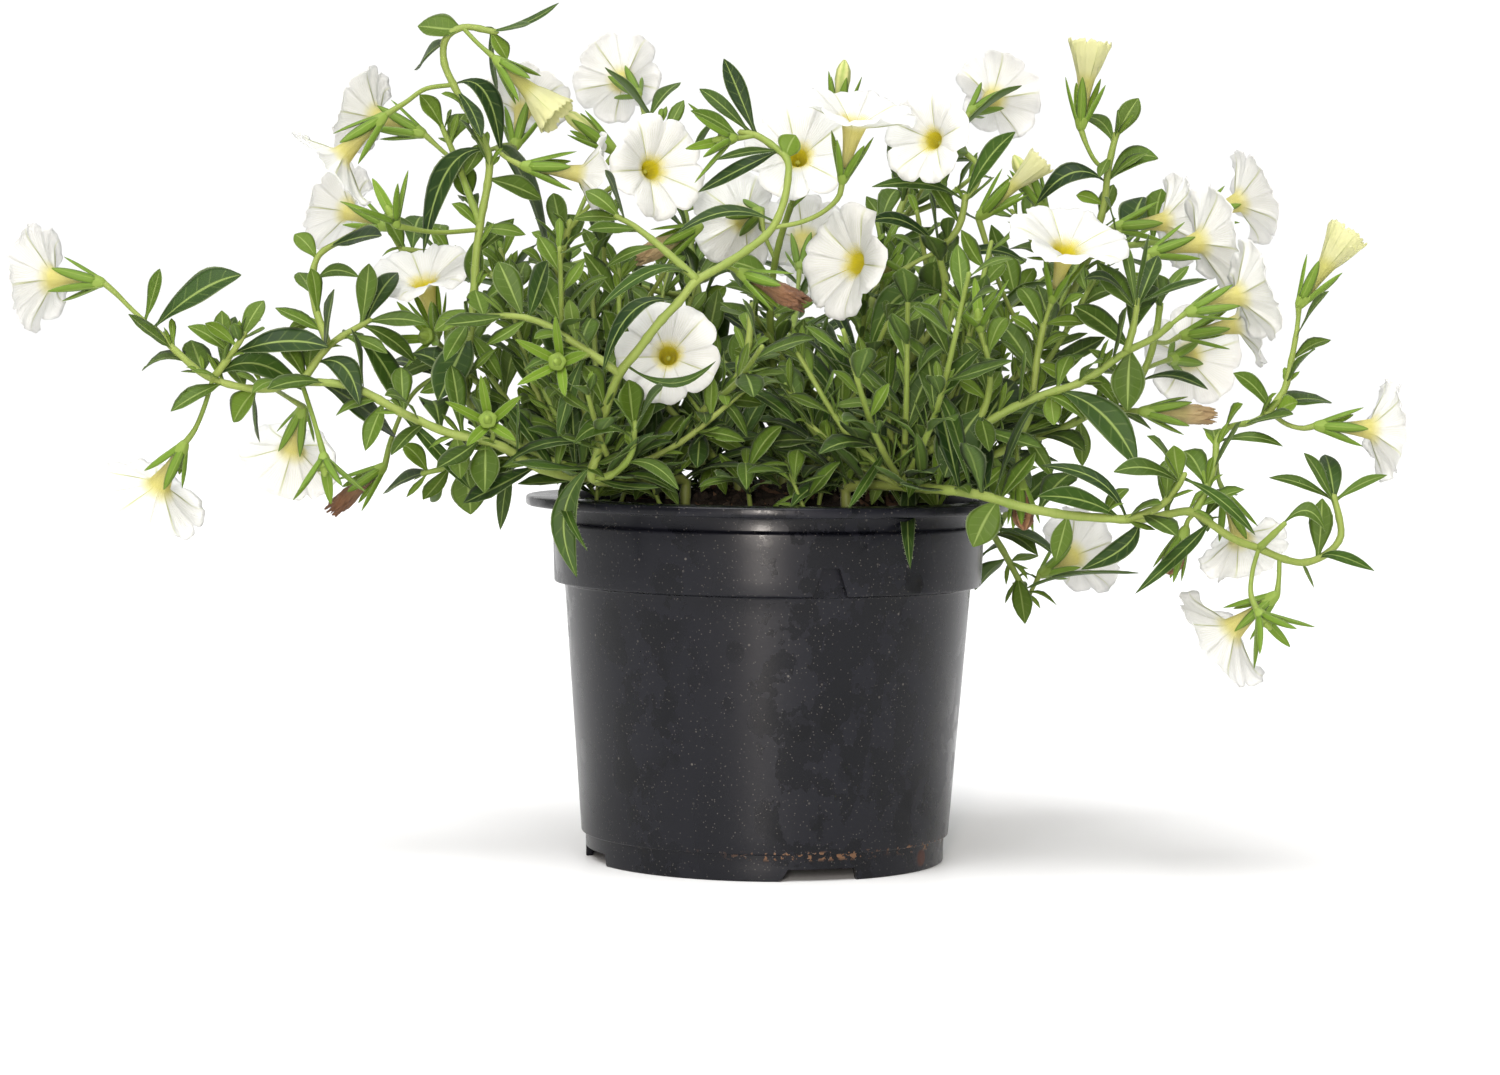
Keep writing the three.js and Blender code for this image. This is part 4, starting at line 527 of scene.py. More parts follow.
STEMS = [
    StemPlan(
        name="stem_far_left",
        foot=[-26, -13],
        axis=[
            [-38, 102, -27], [-51, 101.5, -40], [-62, 104, -46], [-73, 110, -50], [-86, 113, -50],
            [-98, 118, -48], [-112, 125, -46], [-125, 126, -45], [-136, 124, -44], [-150, 127, -42],
            [-158, 133, -40], [-165, 140, -38],
        ],
        shoots=[
            [[-125, 126, -45], [-118, 136, -42], [-107, 143, -38]],
            [
                [-118, 136, -42], [-121.5, 145, -38], [-122.8, 153, -35], [-121, 160, -33],
                [-115, 164, -31], [-108, 168, -30],
            ],
            [[-149, 128, -42], [-144.5, 133, -44], [-140.5, 139, -45]],
        ],
        flowers=[
            Flower(
                "bloom_far_left", Kind.OPEN,
                [[-165, 140, -38], [-171, 145, -38], [-175, 149, -38], [-178.5, 152, -38]],
                [-0.93, 0.33, 0.06], 0.98,
            ),
            Flower(
                "bloom_left_low", Kind.OPEN,
                [[-150, 127, -42], [-151.5, 119, -43], [-154, 113, -44], [-156.5, 109.5, -44]],
                [-0.5, 0.42, -0.74], 1.04,
            ),
            Flower(
                "bloom_left_hanging", Kind.OPEN,
                [[-133, 124, -44], [-130, 122.5, -32], [-125, 119.5, -22]], [-0.25, 0.62, -0.74], 0.95,
            ),
            Flower(
                None, Kind.CALYX, [[-125, 126, -45], [-121.5, 114, -50], [-119.5, 107, -52]],
                [0.1, -0.3, -0.9], 1,
            ),
            Flower(
                None, Kind.CALYX, [[-73, 110, -50], [-74, 113, -54], [-75, 115.5, -57]],
                [-0.05, -0.95, 0.3], 1,
            ),
        ],
        leaves=[
            [4, -165, 142, -162.5, 156], [9.5, -164, 141, -153, 150, -142, 154.5],
            [7, -149, 127.5, -138, 131, -124.5, 123.5], [7.5, -144.5, 132, -131, 137, -118, 136.5],
            [4, -144, 134, -155.5, 141], [4.5, -147, 130, -145, 143.5], [4.5, -140.5, 138, -136, 148],
            [4, -140.5, 138, -129, 142.5], [3.5, -143, 136, -151, 141.5], [7, -137, 124, -144, 115],
            [3.5, -138, 124, -140, 109], [5, -108, 143, -107.5, 158], [5, -107.5, 143, -101.5, 157],
            [4.6, -107, 143, -92, 142.5], [5, -108, 142, -95, 132], [4.2, -115, 138, -102, 134.2],
            [12, -122, 127, -112, 121, -101, 112], [6, -121, 131, -114, 130.5, -109, 120],
            [7, -112, 140, -104, 131, -99, 118], [4.5, -121.5, 159, -128, 166],
            [7.5, -117, 162.5, -98, 165.5], [4, -122.5, 153, -117, 156, -109, 154],
            [4, -120, 142, -129, 140], [6, -83, 113, -83, 100.5], [7, -77, 111.5, -75.5, 97],
            [3.4, -98, 118, -90, 109, -80, 97.5], [5, -103, 121, -108, 108], [4.4, -92, 115, -100, 108],
        ],
    ),
    StemPlan(
        name="stem_tall_left",
        foot=[-26, 6],
        axis=[
            [-50, 106, -18], [-68, 112, -26], [-79, 119, -30], [-82, 128, -31], [-80.5, 139, -31],
            [-79.5, 150, -31], [-79, 160, -31], [-77.8, 170, -30], [-76, 180, -29], [-75.8, 187, -28],
            [-80, 196, -27], [-85, 205, -26], [-88, 212, -26], [-87.5, 218, -26], [-83, 221, -25],
            [-74, 219.8, -25],
        ],
        shoots=[
            [[-78, 170, -30], [-81.5, 178, -25], [-85, 187, -20], [-89, 196, -16]],
            [[-44, 105, -16], [-58, 106, -18], [-71, 106, -20], [-82, 104.5, -22], [-93, 102, -22]],
        ],
        flowers=[
            Flower(
                "bloom_left_high", Kind.OPEN,
                [[-87, 206.5, -26], [-93, 204.5, -29], [-98, 201, -32], [-103.5, 197.5, -34]],
                [-0.72, -0.05, -0.69], 0.95,
            ),
            Flower(
                "bloom_left_behind", Kind.OPEN, [[-84, 185, -21], [-88, 188, -17], [-93, 192.5, -14]],
                [-0.88, 0.35, 0.3], 0.9,
            ),
            Flower(
                "trumpet_left", Kind.TRUMPET, [[-83, 221, -25], [-79, 216.8, -28], [-74.5, 213, -30]],
                [0.72, -0.2, -0.66], 1,
            ),
            Flower(
                "bloom_left_back", Kind.OPEN, [[-75.8, 188, -28], [-71, 190, -18], [-69, 189, -12]],
                [0.1, 0.7, 0.7], 0.85,
            ),
            Flower(
                "bloom_left_side", Kind.OPEN, [[-75.8, 188, -28], [-71, 186.5, -32], [-67, 184.5, -34]],
                [0.97, 0.1, -0.12], 0.8,
            ),
            Flower(
                None, Kind.CALYX, [[-79, 167, -31], [-90, 166.5, -37], [-100, 168, -43]],
                [-0.45, -0.3, 0.84], 1,
            ),
        ],
        leaves=[
            [8, -84, 220.8, -95, 221], [7, -87.5, 217, -98, 211.5], [6, -85.5, 207, -77, 204, -73, 188],
            [4, -84.5, 205, -76, 191], [6.5, -76, 189, -87, 183, -93, 161],
            [10, -75.5, 188, -68, 182, -63, 160], [6, -76, 180, -62, 175.5], [4, -78, 168, -66, 166],
            [6, -84, 186, -81, 176], [5.5, -79, 165, -80, 152], [9, -81, 138, -87, 121],
            [4, -80, 138, -72, 127], [2.6, -74, 220, -66, 222.5, -57.5, 228],
            [3.4, -74, 220, -60.5, 220.8], [4.6, -75, 219.5, -71, 212.5], [3.2, -75, 219.5, -75, 204],
            [5, -79, 146, -90, 140], [5, -82, 126, -94, 124], [8.5, -80, 104, -80, 91],
            [6, -91, 102, -105, 95.5], [3.6, -70, 105, -72, 87], [6.5, -86, 103, -92, 94],
            [5, -60, 105, -56, 96], [6, -64, 105, -75, 99], [5, -92, 102, -98, 110],
            [5, -76, 105, -66, 112], [5, -89, 195, -94, 203], [4, -88, 195, -84, 202],
        ],
    ),
    StemPlan(
        name="stem_front",
        foot=[-22, -24],
        axis=[
            [-47.5, 101.5, -48], [-46, 108, -51], [-45, 116, -54], [-42.5, 124, -57], [-40, 130, -59],
            [-36, 135, -61], [-30, 143, -63], [-24.5, 149, -63], [-20.5, 154, -62], [-14, 158, -60],
            [-7, 162.5, -58], [-0.5, 168, -56], [2.5, 174, -54], [4, 181, -52], [3.8, 187, -50],
            [0, 190.5, -48], [-5, 193.5, -46], [-9, 194, -45],
        ],
        shoots=[
            [
                [-40, 130, -59], [-47, 134, -58], [-55, 139, -57], [-62, 143, -55], [-70, 144.5, -53],
                [-79, 143.5, -51], [-85, 141, -50],
            ],
            [[-20.5, 154, -62], [-27, 161, -60], [-33, 166, -58], [-38, 169.5, -56], [-42, 171.5, -55]],
            [[-46.5, 103, -48], [-41, 103, -52], [-37, 108, -55], [-36, 116.5, -57]],
        ],
        flowers=[
            Flower(
                "bloom_top_middle", Kind.OPEN,
                [
                    [0, 168, -56], [8, 170.5, -54], [14, 173.5, -52], [17.8, 177.5, -50],
                    [18.5, 181, -50],
                ],
                [0.18, -0.32, 0.93], 1.06,
            ),
            Flower(
                "bloom_dried_middle", Kind.WITHERED, [[-12, 159, -60], [-11, 158, -57], [-9, 157, -54]],
                [0.88, -0.2, -0.42], 1,
            ),
            Flower(
                None, Kind.CALYX, [[-47, 134, -58], [-52, 133, -61], [-56, 132, -63]],
                [-0.2, -0.95, 0.1], 1,
            ),
            Flower(
                None, Kind.CALYX, [[-5, 193.5, -46], [-9, 192.5, -47], [-10, 192.5, -48]],
                [-0.95, -0.2, -0.1], 0.8,
            ),
        ],
        leaves=[
            [4.6, -5, 193.5, -13.5, 213.5], [3.6, -7, 194, -20, 206], [4, -9, 194, -22, 199.5],
            [3, 2, 189, -6, 188.6, -15, 186.3], [4.6, 2.5, 189, -8, 184.5, -20, 178],
            [6, 3.5, 188, 6, 193.5], [3.6, 1, 170, -12, 173, -26, 167],
            [3.6, -21, 154, -31, 157, -45, 146.5], [4.6, -25, 149, -37, 146, -45, 129.5],
            [2.8, -39, 131, -26, 127, -15, 133.5], [5, -41, 171, -50, 178.5],
            [4.6, -42, 171.5, -43.5, 183], [3.6, -40, 170.5, -53, 170.5], [4, -36, 168, -49, 167],
            [3, -30, 164, -45, 158], [6.5, -67, 144, -73, 159], [7, -65, 144, -59, 159],
            [5.5, -64, 143.5, -53, 141.5], [4.5, -80, 143.5, -86, 133], [3.6, -52, 137.5, -54, 149],
            [6, -46.5, 104, -54.5, 92, -51, 75], [7, -36, 115, -38, 128], [6, -36, 115, -29.5, 127],
            [4.6, -37, 112, -45, 115.5, -52, 111], [3.6, -49, 134, -57, 112],
            [3.6, -38.5, 106, -31, 105, -24, 98.5],
        ],
    ),
    StemPlan(
        name="stem_centre",
        foot=[-8, -8],
        axis=[
            [-14, 106, -16], [-18, 112.5, -22], [-18, 119, -26], [-12, 125, -28], [-7.5, 131, -29],
            [-6, 137, -29], [-5.5, 143, -28], [-5, 148.5, -27],
        ],
        shoots=[],
        flowers=[
            Flower(
                "bloom_centre", Kind.OPEN, [[-18, 118, -25], [-22, 124, -22], [-27, 131, -18]],
                [0, -0.97, 0.22], 0.94,
            ),
        ],
        leaves=[
            [4.6, -6, 134, -8.5, 125.5], [5, -16, 120.5, -2, 121.5], [5, -16, 110, -27, 104],
            [4.6, -8, 130, 3, 136], [4, -17, 112, -6, 108],
        ],
    ),
    StemPlan(
        name="stem_front_right",
        foot=[8, -18],
        axis=[
            [20, 105, -24], [31, 106, -33], [43, 110, -40], [54, 115, -43], [64, 121, -44],
            [73, 125, -44], [84, 129, -43], [95, 136.8, -41], [103, 141, -38], [107, 144.5, -36],
        ],
        shoots=[
            [[32, 105.5, -34], [32.5, 111, -38], [32, 118, -42], [31.5, 124, -44]],
            [[55, 115.5, -43], [58, 123, -45], [58.8, 131, -47], [57.3, 138, -48]],
            [[95, 137, -41], [97, 144, -41], [98, 151, -40]],
        ],
        flowers=[
            Flower(
                "bloom_right_front", Kind.OPEN, [[107, 144.5, -36], [109, 146, -35], [111, 147.5, -34]],
                [0.92, 0.25, 0.3], 0.95,
            ),
            Flower(
                None, Kind.CALYX, [[57.3, 138, -48], [56.5, 140, -48], [56, 142, -48]],
                [-0.15, -0.35, 0.92], 1,
            ),
        ],
        leaves=[
            [4.6, 32.5, 104, 34, 93, 32, 80.5], [4, 31, 105, 26.5, 92],
            [4.8, 32, 115, 23.5, 111, 28, 102.5], [2.6, 31, 107, 17, 106, 7, 93],
            [3.8, 42, 109, 37, 98], [4.2, 31.5, 123, 21.5, 133], [3, 31.5, 123, 17, 121],
            [2.8, 31.5, 123, 32, 137], [3.6, 31.5, 123, 35, 133], [11, 57, 121, 51, 113, 47, 103],
            [8, 57, 120, 59.5, 104.5], [8.5, 57, 118, 67, 128], [5, 57, 138, 43.5, 122],
            [4, 57.5, 124, 50.5, 128.5], [3.5, 58, 124, 62, 131], [8, 96, 137, 95.5, 121],
            [7, 94, 138, 81, 149], [8, 76, 126, 89, 120, 98, 106.5], [4.4, 74, 125.5, 76, 117],
            [2.6, 97.5, 150, 94, 167], [2.6, 98, 151, 99, 168], [5, 98, 150, 104.5, 162.5],
            [3.2, 98, 150, 114, 155.5], [3.6, 97.5, 150, 90, 156, 82, 155.5],
        ],
    ),
    StemPlan(
        name="stem_centre_right",
        foot=[4, -2],
        axis=[
            [12, 107, -8], [20, 116, -12], [28, 123, -14], [35, 131, -15], [40, 138, -16],
            [45, 146, -18], [46.5, 154, -20], [45, 163, -22], [49.5, 169, -23], [51, 174, -23],
            [51.5, 178, -23],
        ],
        shoots=[],
        flowers=[
            Flower(
                "bloom_right_high", Kind.OPEN,
                [[51.5, 178, -23], [55, 182, -22], [54.3, 186.5, -20], [51, 189.5, -18]],
                [-0.55, -0.8, 0.15], 0.85,
            ),
            Flower(
                "bloom_big_middle", Kind.OPEN, [[45, 163, -22], [40, 161, -22], [34.5, 157.5, -22]],
                [-0.75, -0.62, 0.12], 1.05,
            ),
        ],
        leaves=[
            [4, 51, 177, 40, 181, 26, 179.3], [5.6, 51.5, 178, 64, 195], [5, 45, 164, 42, 178.5],
            [4.2, 45, 163, 35, 171, 25, 170.5], [3.4, 46, 159, 57, 163.5, 68, 160],
            [7.4, 46.5, 151, 34, 151, 26, 137], [3, 46.5, 152, 38, 154.5, 30, 152],
            [5.6, 45, 146, 43, 138], [5, 40, 138, 28, 141], [5, 35, 131, 47, 127],
        ],
    ),
    StemPlan(
        name="stem_right_upright",
        foot=[20, -6],
        axis=[
            [38, 104, -18], [54, 107, -26], [64, 111, -31], [69, 118, -32], [70.5, 127, -33],
            [71.5, 136, -34], [73, 144, -35],
        ],
        shoots=[],
        flowers=[
            Flower(
                "bloom_right_middle", Kind.OPEN, [[73, 144, -35], [74, 147, -36], [75, 150, -37]],
                [0.18, -0.5, 0.84], 1.08,
            ),
            Flower(
                None, Kind.DRIED, [[66, 113, -31], [66.5, 107, -36], [67, 103, -38]],
                [0.1, -0.3, -0.95], 0.6,
            ),
        ],
        leaves=[
            [3.6, 73, 143, 84, 144.5], [3.6, 72, 139, 64, 146], [6, 71, 131, 61, 145],
            [4, 68, 116, 76, 103], [4, 71, 134, 80, 129], [5, 60, 109, 62, 96],
        ],
    ),
    StemPlan(
        name="stem_right_low",
        foot=[20, -32],
        axis=[
            [45, 99.5, -47], [57, 98, -52], [68, 95, -54], [80, 93, -54], [90, 92.3, -54],
            [97, 92, -54], [105, 93, -53], [113, 94.3, -52], [118, 91.5, -51], [125, 87, -50],
            [132, 84.5, -49], [138, 82, -48], [144, 81, -47], [150, 83.5, -46], [153.5, 88, -45],
            [152.8, 94, -45], [151.3, 99, -44],
        ],
        shoots=[
            [[97, 92, -54], [104, 95, -56], [109, 100, -58], [111.5, 104.5, -60]],
            [
                [113, 94.3, -52], [117.5, 101, -49], [119.5, 108, -46], [120, 114, -43],
                [123, 117, -41], [129, 118.5, -39], [134, 121, -38],
            ],
            [[134, 121, -38], [137.5, 127, -37], [139.5, 136, -36], [140.8, 144, -35]],
            [[132, 84.5, -49], [135.5, 88.5, -52], [138.5, 91.5, -54]],
        ],
        flowers=[
            Flower(
                "bloom_far_right", Kind.OPEN,
                [[134, 121, -38], [138.5, 118, -38], [143, 117, -39], [146, 117.7, -40]],
                [0.97, 0.2, -0.05], 0.92,
            ),
            Flower(
                "trumpet_right", Kind.TRUMPET, [[140.8, 144, -35], [141, 147, -34], [141, 149.5, -34]],
                [0.55, 0.1, 0.83], 1,
            ),
            Flower(
                "bloom_right_hanging", Kind.OPEN,
                [[119.8, 108, -46], [120.5, 103, -38], [122, 99.5, -34]], [0.35, 0.5, -0.79], 0.85,
            ),
            Flower(
                "bloom_right_low", Kind.OPEN, [[138.3, 82, -48], [137.2, 77, -49], [136.8, 72.5, -50]],
                [-0.68, 0.35, -0.62], 1.06,
            ),
            Flower(
                None, Kind.CALYX,
                [[131.5, 84.7, -49], [130, 78, -56], [129.8, 72, -60], [131.5, 68, -62]],
                [0.55, -0.3, -0.78], 1,
            ),
            Flower(
                None, Kind.DRIED, [[113, 94.3, -52], [112.5, 92, -51], [112, 90, -50]],
                [-0.35, 0, -0.93], 0.5,
            ),
        ],
        leaves=[
            [5, 110, 102, 101, 106, 92, 104.5], [5, 111, 104, 108, 112],
            [3.4, 110, 101.5, 121, 97.5, 131, 88], [3.8, 118, 91.5, 111, 85, 96.5, 75],
            [5, 98, 92, 96, 85, 84, 78.5], [5, 80, 93, 77.5, 80], [3.8, 96, 92, 88, 102.5, 73, 105.5],
            [5.8, 94, 92, 84, 97, 71, 98], [3, 151, 97, 143, 102, 134, 104], [4, 151.3, 98, 143, 110.5],
            [5.2, 151.3, 99, 151.5, 110], [2.6, 152, 97, 158, 102, 165, 105],
            [3.2, 146, 82, 152, 83.5, 159.5, 80.5], [4.4, 138, 91, 144, 95, 149.5, 89.5],
            [5, 134, 121, 141, 124], [4.4, 134, 121, 129.5, 128, 123.5, 131.5],
            [3, 120, 112, 129, 114.5, 137, 112.3], [8, 60, 97, 55, 84],
        ],
    ),
    StemPlan(
        name="stem_top_right",
        foot=[14, 10],
        axis=[
            [34, 106, 12], [52, 116, 10], [66, 130, 6], [77, 146, 2], [84.5, 162, -2], [88.5, 176, -5],
            [89.3, 184, -7], [90.3, 190, -8], [91.5, 195, -8],
        ],
        shoots=[],
        flowers=[
            Flower(
                "trumpet_top_right", Kind.TRUMPET,
                [[89.3, 184, -7], [86, 187.5, -9], [83.5, 192, -10], [82, 196, -10]], [0.08, -0.05, 1],
                1,
            ),
            Flower(
                "bloom_right_side", Kind.OPEN, [[86, 167, -3], [89, 169, 6], [91, 170, 15]],
                [0.95, 0.3, 0.12], 0.9,
            ),
            Flower(
                "trumpet_small", Kind.TRUMPET, [[70, 135, 5], [62, 152, -2], [55, 172, -6]],
                [0.72, -0.1, 0.68], 0.72,
            ),
            Flower(None, Kind.BUD, [[80, 152, 1], [76, 166, 5], [73, 174, 7]], [-0.5, 0.1, 0.86], 1),
        ],
        leaves=[
            [5, 90, 189, 83.5, 179.5], [6.6, 89, 182, 80, 184.5, 70.5, 176],
            [6.6, 89.3, 183, 96, 188.5, 103, 189], [5, 91.5, 194, 97.3, 204.5],
            [4, 91, 193, 88, 198, 83.5, 200], [4, 88, 176, 81, 178.5], [6, 77, 146, 66, 152],
            [5, 70, 135, 80, 133], [5, 52, 116, 44, 124],
        ],
    ),
    StemPlan(
        name="stem_high_right",
        foot=[26, 4],
        axis=[
            [44, 106, -4], [58, 109, -9], [70, 113, -13], [80, 117, -16], [88, 121.5, -18],
            [96, 126, -19], [100.5, 133, -19], [103, 142, -19], [104, 150, -18],
        ],
        shoots=[],
        flowers=[
            Flower(
                "bloom_far_right_high", Kind.OPEN,
                [[104, 150, -18], [101.5, 157, -17], [100.5, 163, -16]], [0.9, 0.3, 0.22], 1.04,
            ),
            Flower(
                "bloom_right_second", Kind.OPEN,
                [[103, 138, -19], [106, 139.5, -22], [109.5, 141.3, -25]], [0.93, -0.05, 0.2], 0.88,
            ),
            Flower(
                "bloom_right_below", Kind.OPEN, [[101, 133, -19], [104, 134, -12], [107, 135, -6]],
                [0.4, 0.88, 0.05], 0.95,
            ),
            Flower(
                "bloom_faded_right", Kind.WITHERED, [[90, 122, -18], [95, 121.3, -24], [99, 121, -28]],
                [1, 0, -0.05], 1,
            ),
        ],
        leaves=[
            [3.6, 99, 129, 106, 131, 114, 127.5], [4.4, 84, 119, 84, 106], [4.4, 94, 124, 84, 131.5],
            [3, 97, 127, 85, 137.5], [3, 104, 149, 112, 160], [4, 104, 149, 96, 158],
            [5, 70, 113, 76, 122], [5, 58, 109, 66, 99],
        ],
    ),
    StemPlan(
        name="stem_left_middle",
        foot=[-16, 12],
        axis=[
            [-34, 106, 14], [-52, 112, 12], [-66, 118, 8], [-76, 125, 4], [-84, 131, 1], [-88, 135, -1],
        ],
        shoots=[],
        flowers=[
            Flower(
                "bloom_left_middle", Kind.OPEN, [[-88, 135, -1], [-89, 137, -1], [-89, 139, -1]],
                [-0.2, -0.45, 0.87], 1,
            ),
            Flower(
                None, Kind.CALYX, [[-83, 130, 1], [-86, 134, -6], [-90, 138, -14]], [-0.5, -0.8, 0.2],
                1,
            ),
            Flower(
                "bloom_dried_left", Kind.WITHERED,
                [[-84, 131, -3], [-95, 124, 0], [-101, 112, 0], [-103, 104, -2]], [-0.75, -0.1, -0.65],
                0.9,
            ),
        ],
        leaves=[
            [6, -86, 132, -100, 128], [6, -66, 118, -60, 108], [5, -76, 125, -70, 116],
            [6, -60, 115, -66, 126], [6, -90, 128, -104, 133],
        ],
    ),
    StemPlan(
        name="stem_centre_left",
        foot=[-10, 16],
        axis=[
            [-24, 108, 18], [-36, 120, 16], [-46, 133, 12], [-54, 146, 6], [-57.5, 155, 2],
            [-55.5, 163, -2], [-54, 170, -4],
        ],
        shoots=[],
        flowers=[
            Flower(
                "bloom_middle_left", Kind.OPEN, [[-54, 169, -4], [-47, 176, -7], [-40, 181, -9]],
                [0.5, -0.84, 0.15], 0.96,
            ),
            Flower(None, Kind.BUD, [[-54, 170, -4], [-48, 180, 1], [-42, 188.5, 3]], [-0.8, 0, 0.6], 1),
            Flower(
                "bloom_faded_middle", Kind.WITHERED,
                [[-46, 133, 12], [-34, 148, -2], [-24, 164, -12], [-19, 169, -16]],
                [-0.85, -0.2, -0.45], 1,
            ),
        ],
        leaves=[
            [5, -55.5, 163, -59, 178], [6, -50, 139, -40, 134], [5, -46, 133, -58, 131],
            [5, -40, 125, -28, 127], [6, -30, 113, -40, 108],
        ],
    ),
    StemPlan(
        name="stem_centre_back",
        foot=[2, 14],
        axis=[[4, 110, 24], [2, 124, 26], [0, 139, 22], [0, 153, 14], [2, 165, 6], [5, 175, 0]],
        shoots=[],
        flowers=[
            Flower(
                "bloom_middle", Kind.OPEN, [[5, 175, 0], [6, 178, -3], [6.5, 181, -6]],
                [0, -0.92, 0.38], 0.98,
            ),
            Flower(
                "bloom_shaded", Kind.OPEN, [[1, 160, 9], [-2, 167, 8], [-3, 173, 8]],
                [-0.3, 0.92, -0.1], 0.95,
            ),
            Flower(None, Kind.BUD, [[5, 175, 0], [11, 187, -8], [17, 196, -12]], [0.1, 0, 1], 1),
        ],
        leaves=[
            [5, 1, 145, 12, 150], [6, 2, 130, -10, 136], [5, 3, 115, 14, 112], [4, 4, 174, 10, 182],
            [6, 0, 155, -12, 160],
        ],
    ),
]

BACK_STEMS = [
    BackStemPlan("stem_back_right", [26, 20], 18, 92, 66, [1]),
    BackStemPlan("stem_back_right_inner", [18, 30], 58, 70, 98, [1]),
    BackStemPlan("stem_back_right_low", [32, 28], 44, 60, -34, [1]),
    BackStemPlan("stem_back_middle", [2, 36], 84, 84, 52, [1, 0.72]),
    BackStemPlan("stem_back_left_inner", [-14, 32], 112, 62, 102, [1]),
    BackStemPlan("stem_back_left", [-28, 22], 148, 92, 62, [1]),
]


@dataclass(frozen=True)
class BackLeaf:
    """How the leaves of a stem behind stand: their places along it, sizes, lean and rise."""

    spacing: float = 13.0
    length: float = 20.0
    width: float = 7.0
    rise: float = 0.35
    lean: float = 0.7
    arch: float = 1.6
    first: float = 0.12
    span: float = 0.85


# -------------------------------------------------------------------------- growing it


class Fineness(Enum):
    """How finely a leaf is shaped: a drawn one, one of the thicket, or one of a tuft."""

    FULL = "full"
    SMALL = "small"
    TINY = "tiny"


class Leaf:
    """Where a leaf lies: a quadratic curve from root to tip and the side it spreads to."""

    def __init__(self, root: np.ndarray, middle: np.ndarray, tip: np.ndarray, width: float,
                 facing: np.ndarray) -> None:
        """Works out the leaf's frame.

        Args:
            root: where it leaves its stem.
            middle: the point that its midrib passes halfway.
            tip: its tip.
            width: its greatest width.
            facing: the direction that its upper face is turned to.
        """
        self.root, self.middle, self.tip, self.width = root, middle, tip, width
        self.fineness = Fineness.FULL
        self.control = 2 * middle - 0.5 * root - 0.5 * tip
        chord = unit(tip - root)
        side = np.cross(chord, facing)
        if np.linalg.norm(side) < 0.25:
            side = np.cross(chord, [1.0, 0.0, 0.0])
        self.side = unit(side)
        self.facing = facing
        steps = np.diff(self.midrib(np.arange(201) / 200), axis=0)
        self.length = float(np.linalg.norm(steps, axis=1).sum())
        self.points = self._sample()

    def midrib(self, u: np.ndarray) -> np.ndarray:
        """Points of the midrib at shares from root to tip: a quadratic Bezier curve."""
        u = np.asarray(u, float)[:, None]
        return (1 - u) ** 2 * self.root + 2 * (1 - u) * u * self.control + u**2 * self.tip

    def normal(self, u: np.ndarray) -> np.ndarray:
        """Directions out of the upper face at shares from root to tip.

        Args:
            u: shares from root to tip.

        Returns:
            A unit vector for each share.
        """
        u = np.asarray(u, float)[:, None]
        tangent = unit(2 * (1 - u) * (self.control - self.root) + 2 * u * (self.tip - self.control))
        return unit(np.cross(self.side, tangent))

    def half_width(self, u: np.ndarray) -> np.ndarray:
        """Half widths: the sine of pi u^1.3 to the power 0.85, and no less than the petiole's.

        Args:
            u: shares from root to tip.

        Returns:
            The half width at each share.
        """
        u = np.asarray(u, float)
        outline = np.maximum(np.sin(math.pi * u**1.3), 0.0) ** 0.85
        return np.maximum(RULE.least_half_width * (1 - u), self.width / 2 * outline)

    def _sample(self) -> np.ndarray:
        """Points over the outer part of the blade, by which it is kept clear.

        Returns:
            The points, as rows.
        """
        rows = max(3, math.ceil(self.length / RULE.point_spacing))
        share = 0.15 + 0.85 * np.arange(1, rows + 1) / rows
        found = []
        for centre, normal, half in zip(self.midrib(share), self.normal(share), self.half_width(share)):
            columns = max(1, math.ceil(half / RULE.point_spacing))
            across = (np.arange(-columns, columns + 1) / columns)[:, None]
            rise = half * RULE.leaf_fold * np.abs(across)
            found.append(centre + self.side * half * across + normal * rise)
        return np.vstack(found)


@dataclass
class FlowerPlace:
    """Where a flower stands: its base and axis, and how it is turned round that axis."""

    piece: str | None
    kind: Kind
    strand: Strand
    base: np.ndarray
    axis: np.ndarray
    size: float
    turn: float
    seed: int
    points: np.ndarray = field(init=False)
    calyx_points: np.ndarray = field(init=False)
    corolla_points: np.ndarray = field(init=False)

    def __post_init__(self) -> None:
        """Samples the points by which the flower is kept clear."""
        axes = cross_axes(self.axis)
        spread = SEPAL_SPREAD[self.kind]
        tips = ring(self.base + self.axis * (CALYX.sepal_length - CALYX.sepal_droop * spread), axes,
                    CALYX.sepal_reach * spread, 2 * LOBES, self.turn)[::2]
        floor = self.base + self.axis * CALYX.floor
        self.calyx_points = np.vstack([tips, tips + (floor - tips) * 0.4])
        self.corolla_points = self._sample_corolla(axes) if self.piece else np.empty((0, 3))
        self.points = np.vstack([self.strand.points, self.calyx_points, self.corolla_points])

    def _sample_corolla(self, axes: tuple[np.ndarray, np.ndarray]) -> np.ndarray:
        """Rings of points over the corolla's limb, and points up its tube.

        Args:
            axes: two directions square to the axis.

        Returns:
            The points, as rows.
        """
        shape = COROLLAS[self.kind]
        origin = self.base + self.axis * (CALYX.floor + 2 * GAP)
        outer = shape.rim_radius * self.size
        found = []
        radius = outer
        while radius > RULE.innermost:
            share = (radius / outer) ** 0.6
            at = shape.throat_at + (shape.rim_at - shape.throat_at) * share
            count = math.ceil(2 * math.pi * radius / RULE.rim_spacing)
            found.append(ring(origin + self.axis * at, axes, radius, count, self.turn))
            radius -= RULE.ring_spacing
        at = 6.0
        while at < shape.rim_at:
            found.append((origin + self.axis * at)[None])
            at += RULE.point_spacing
        return np.vstack(found)


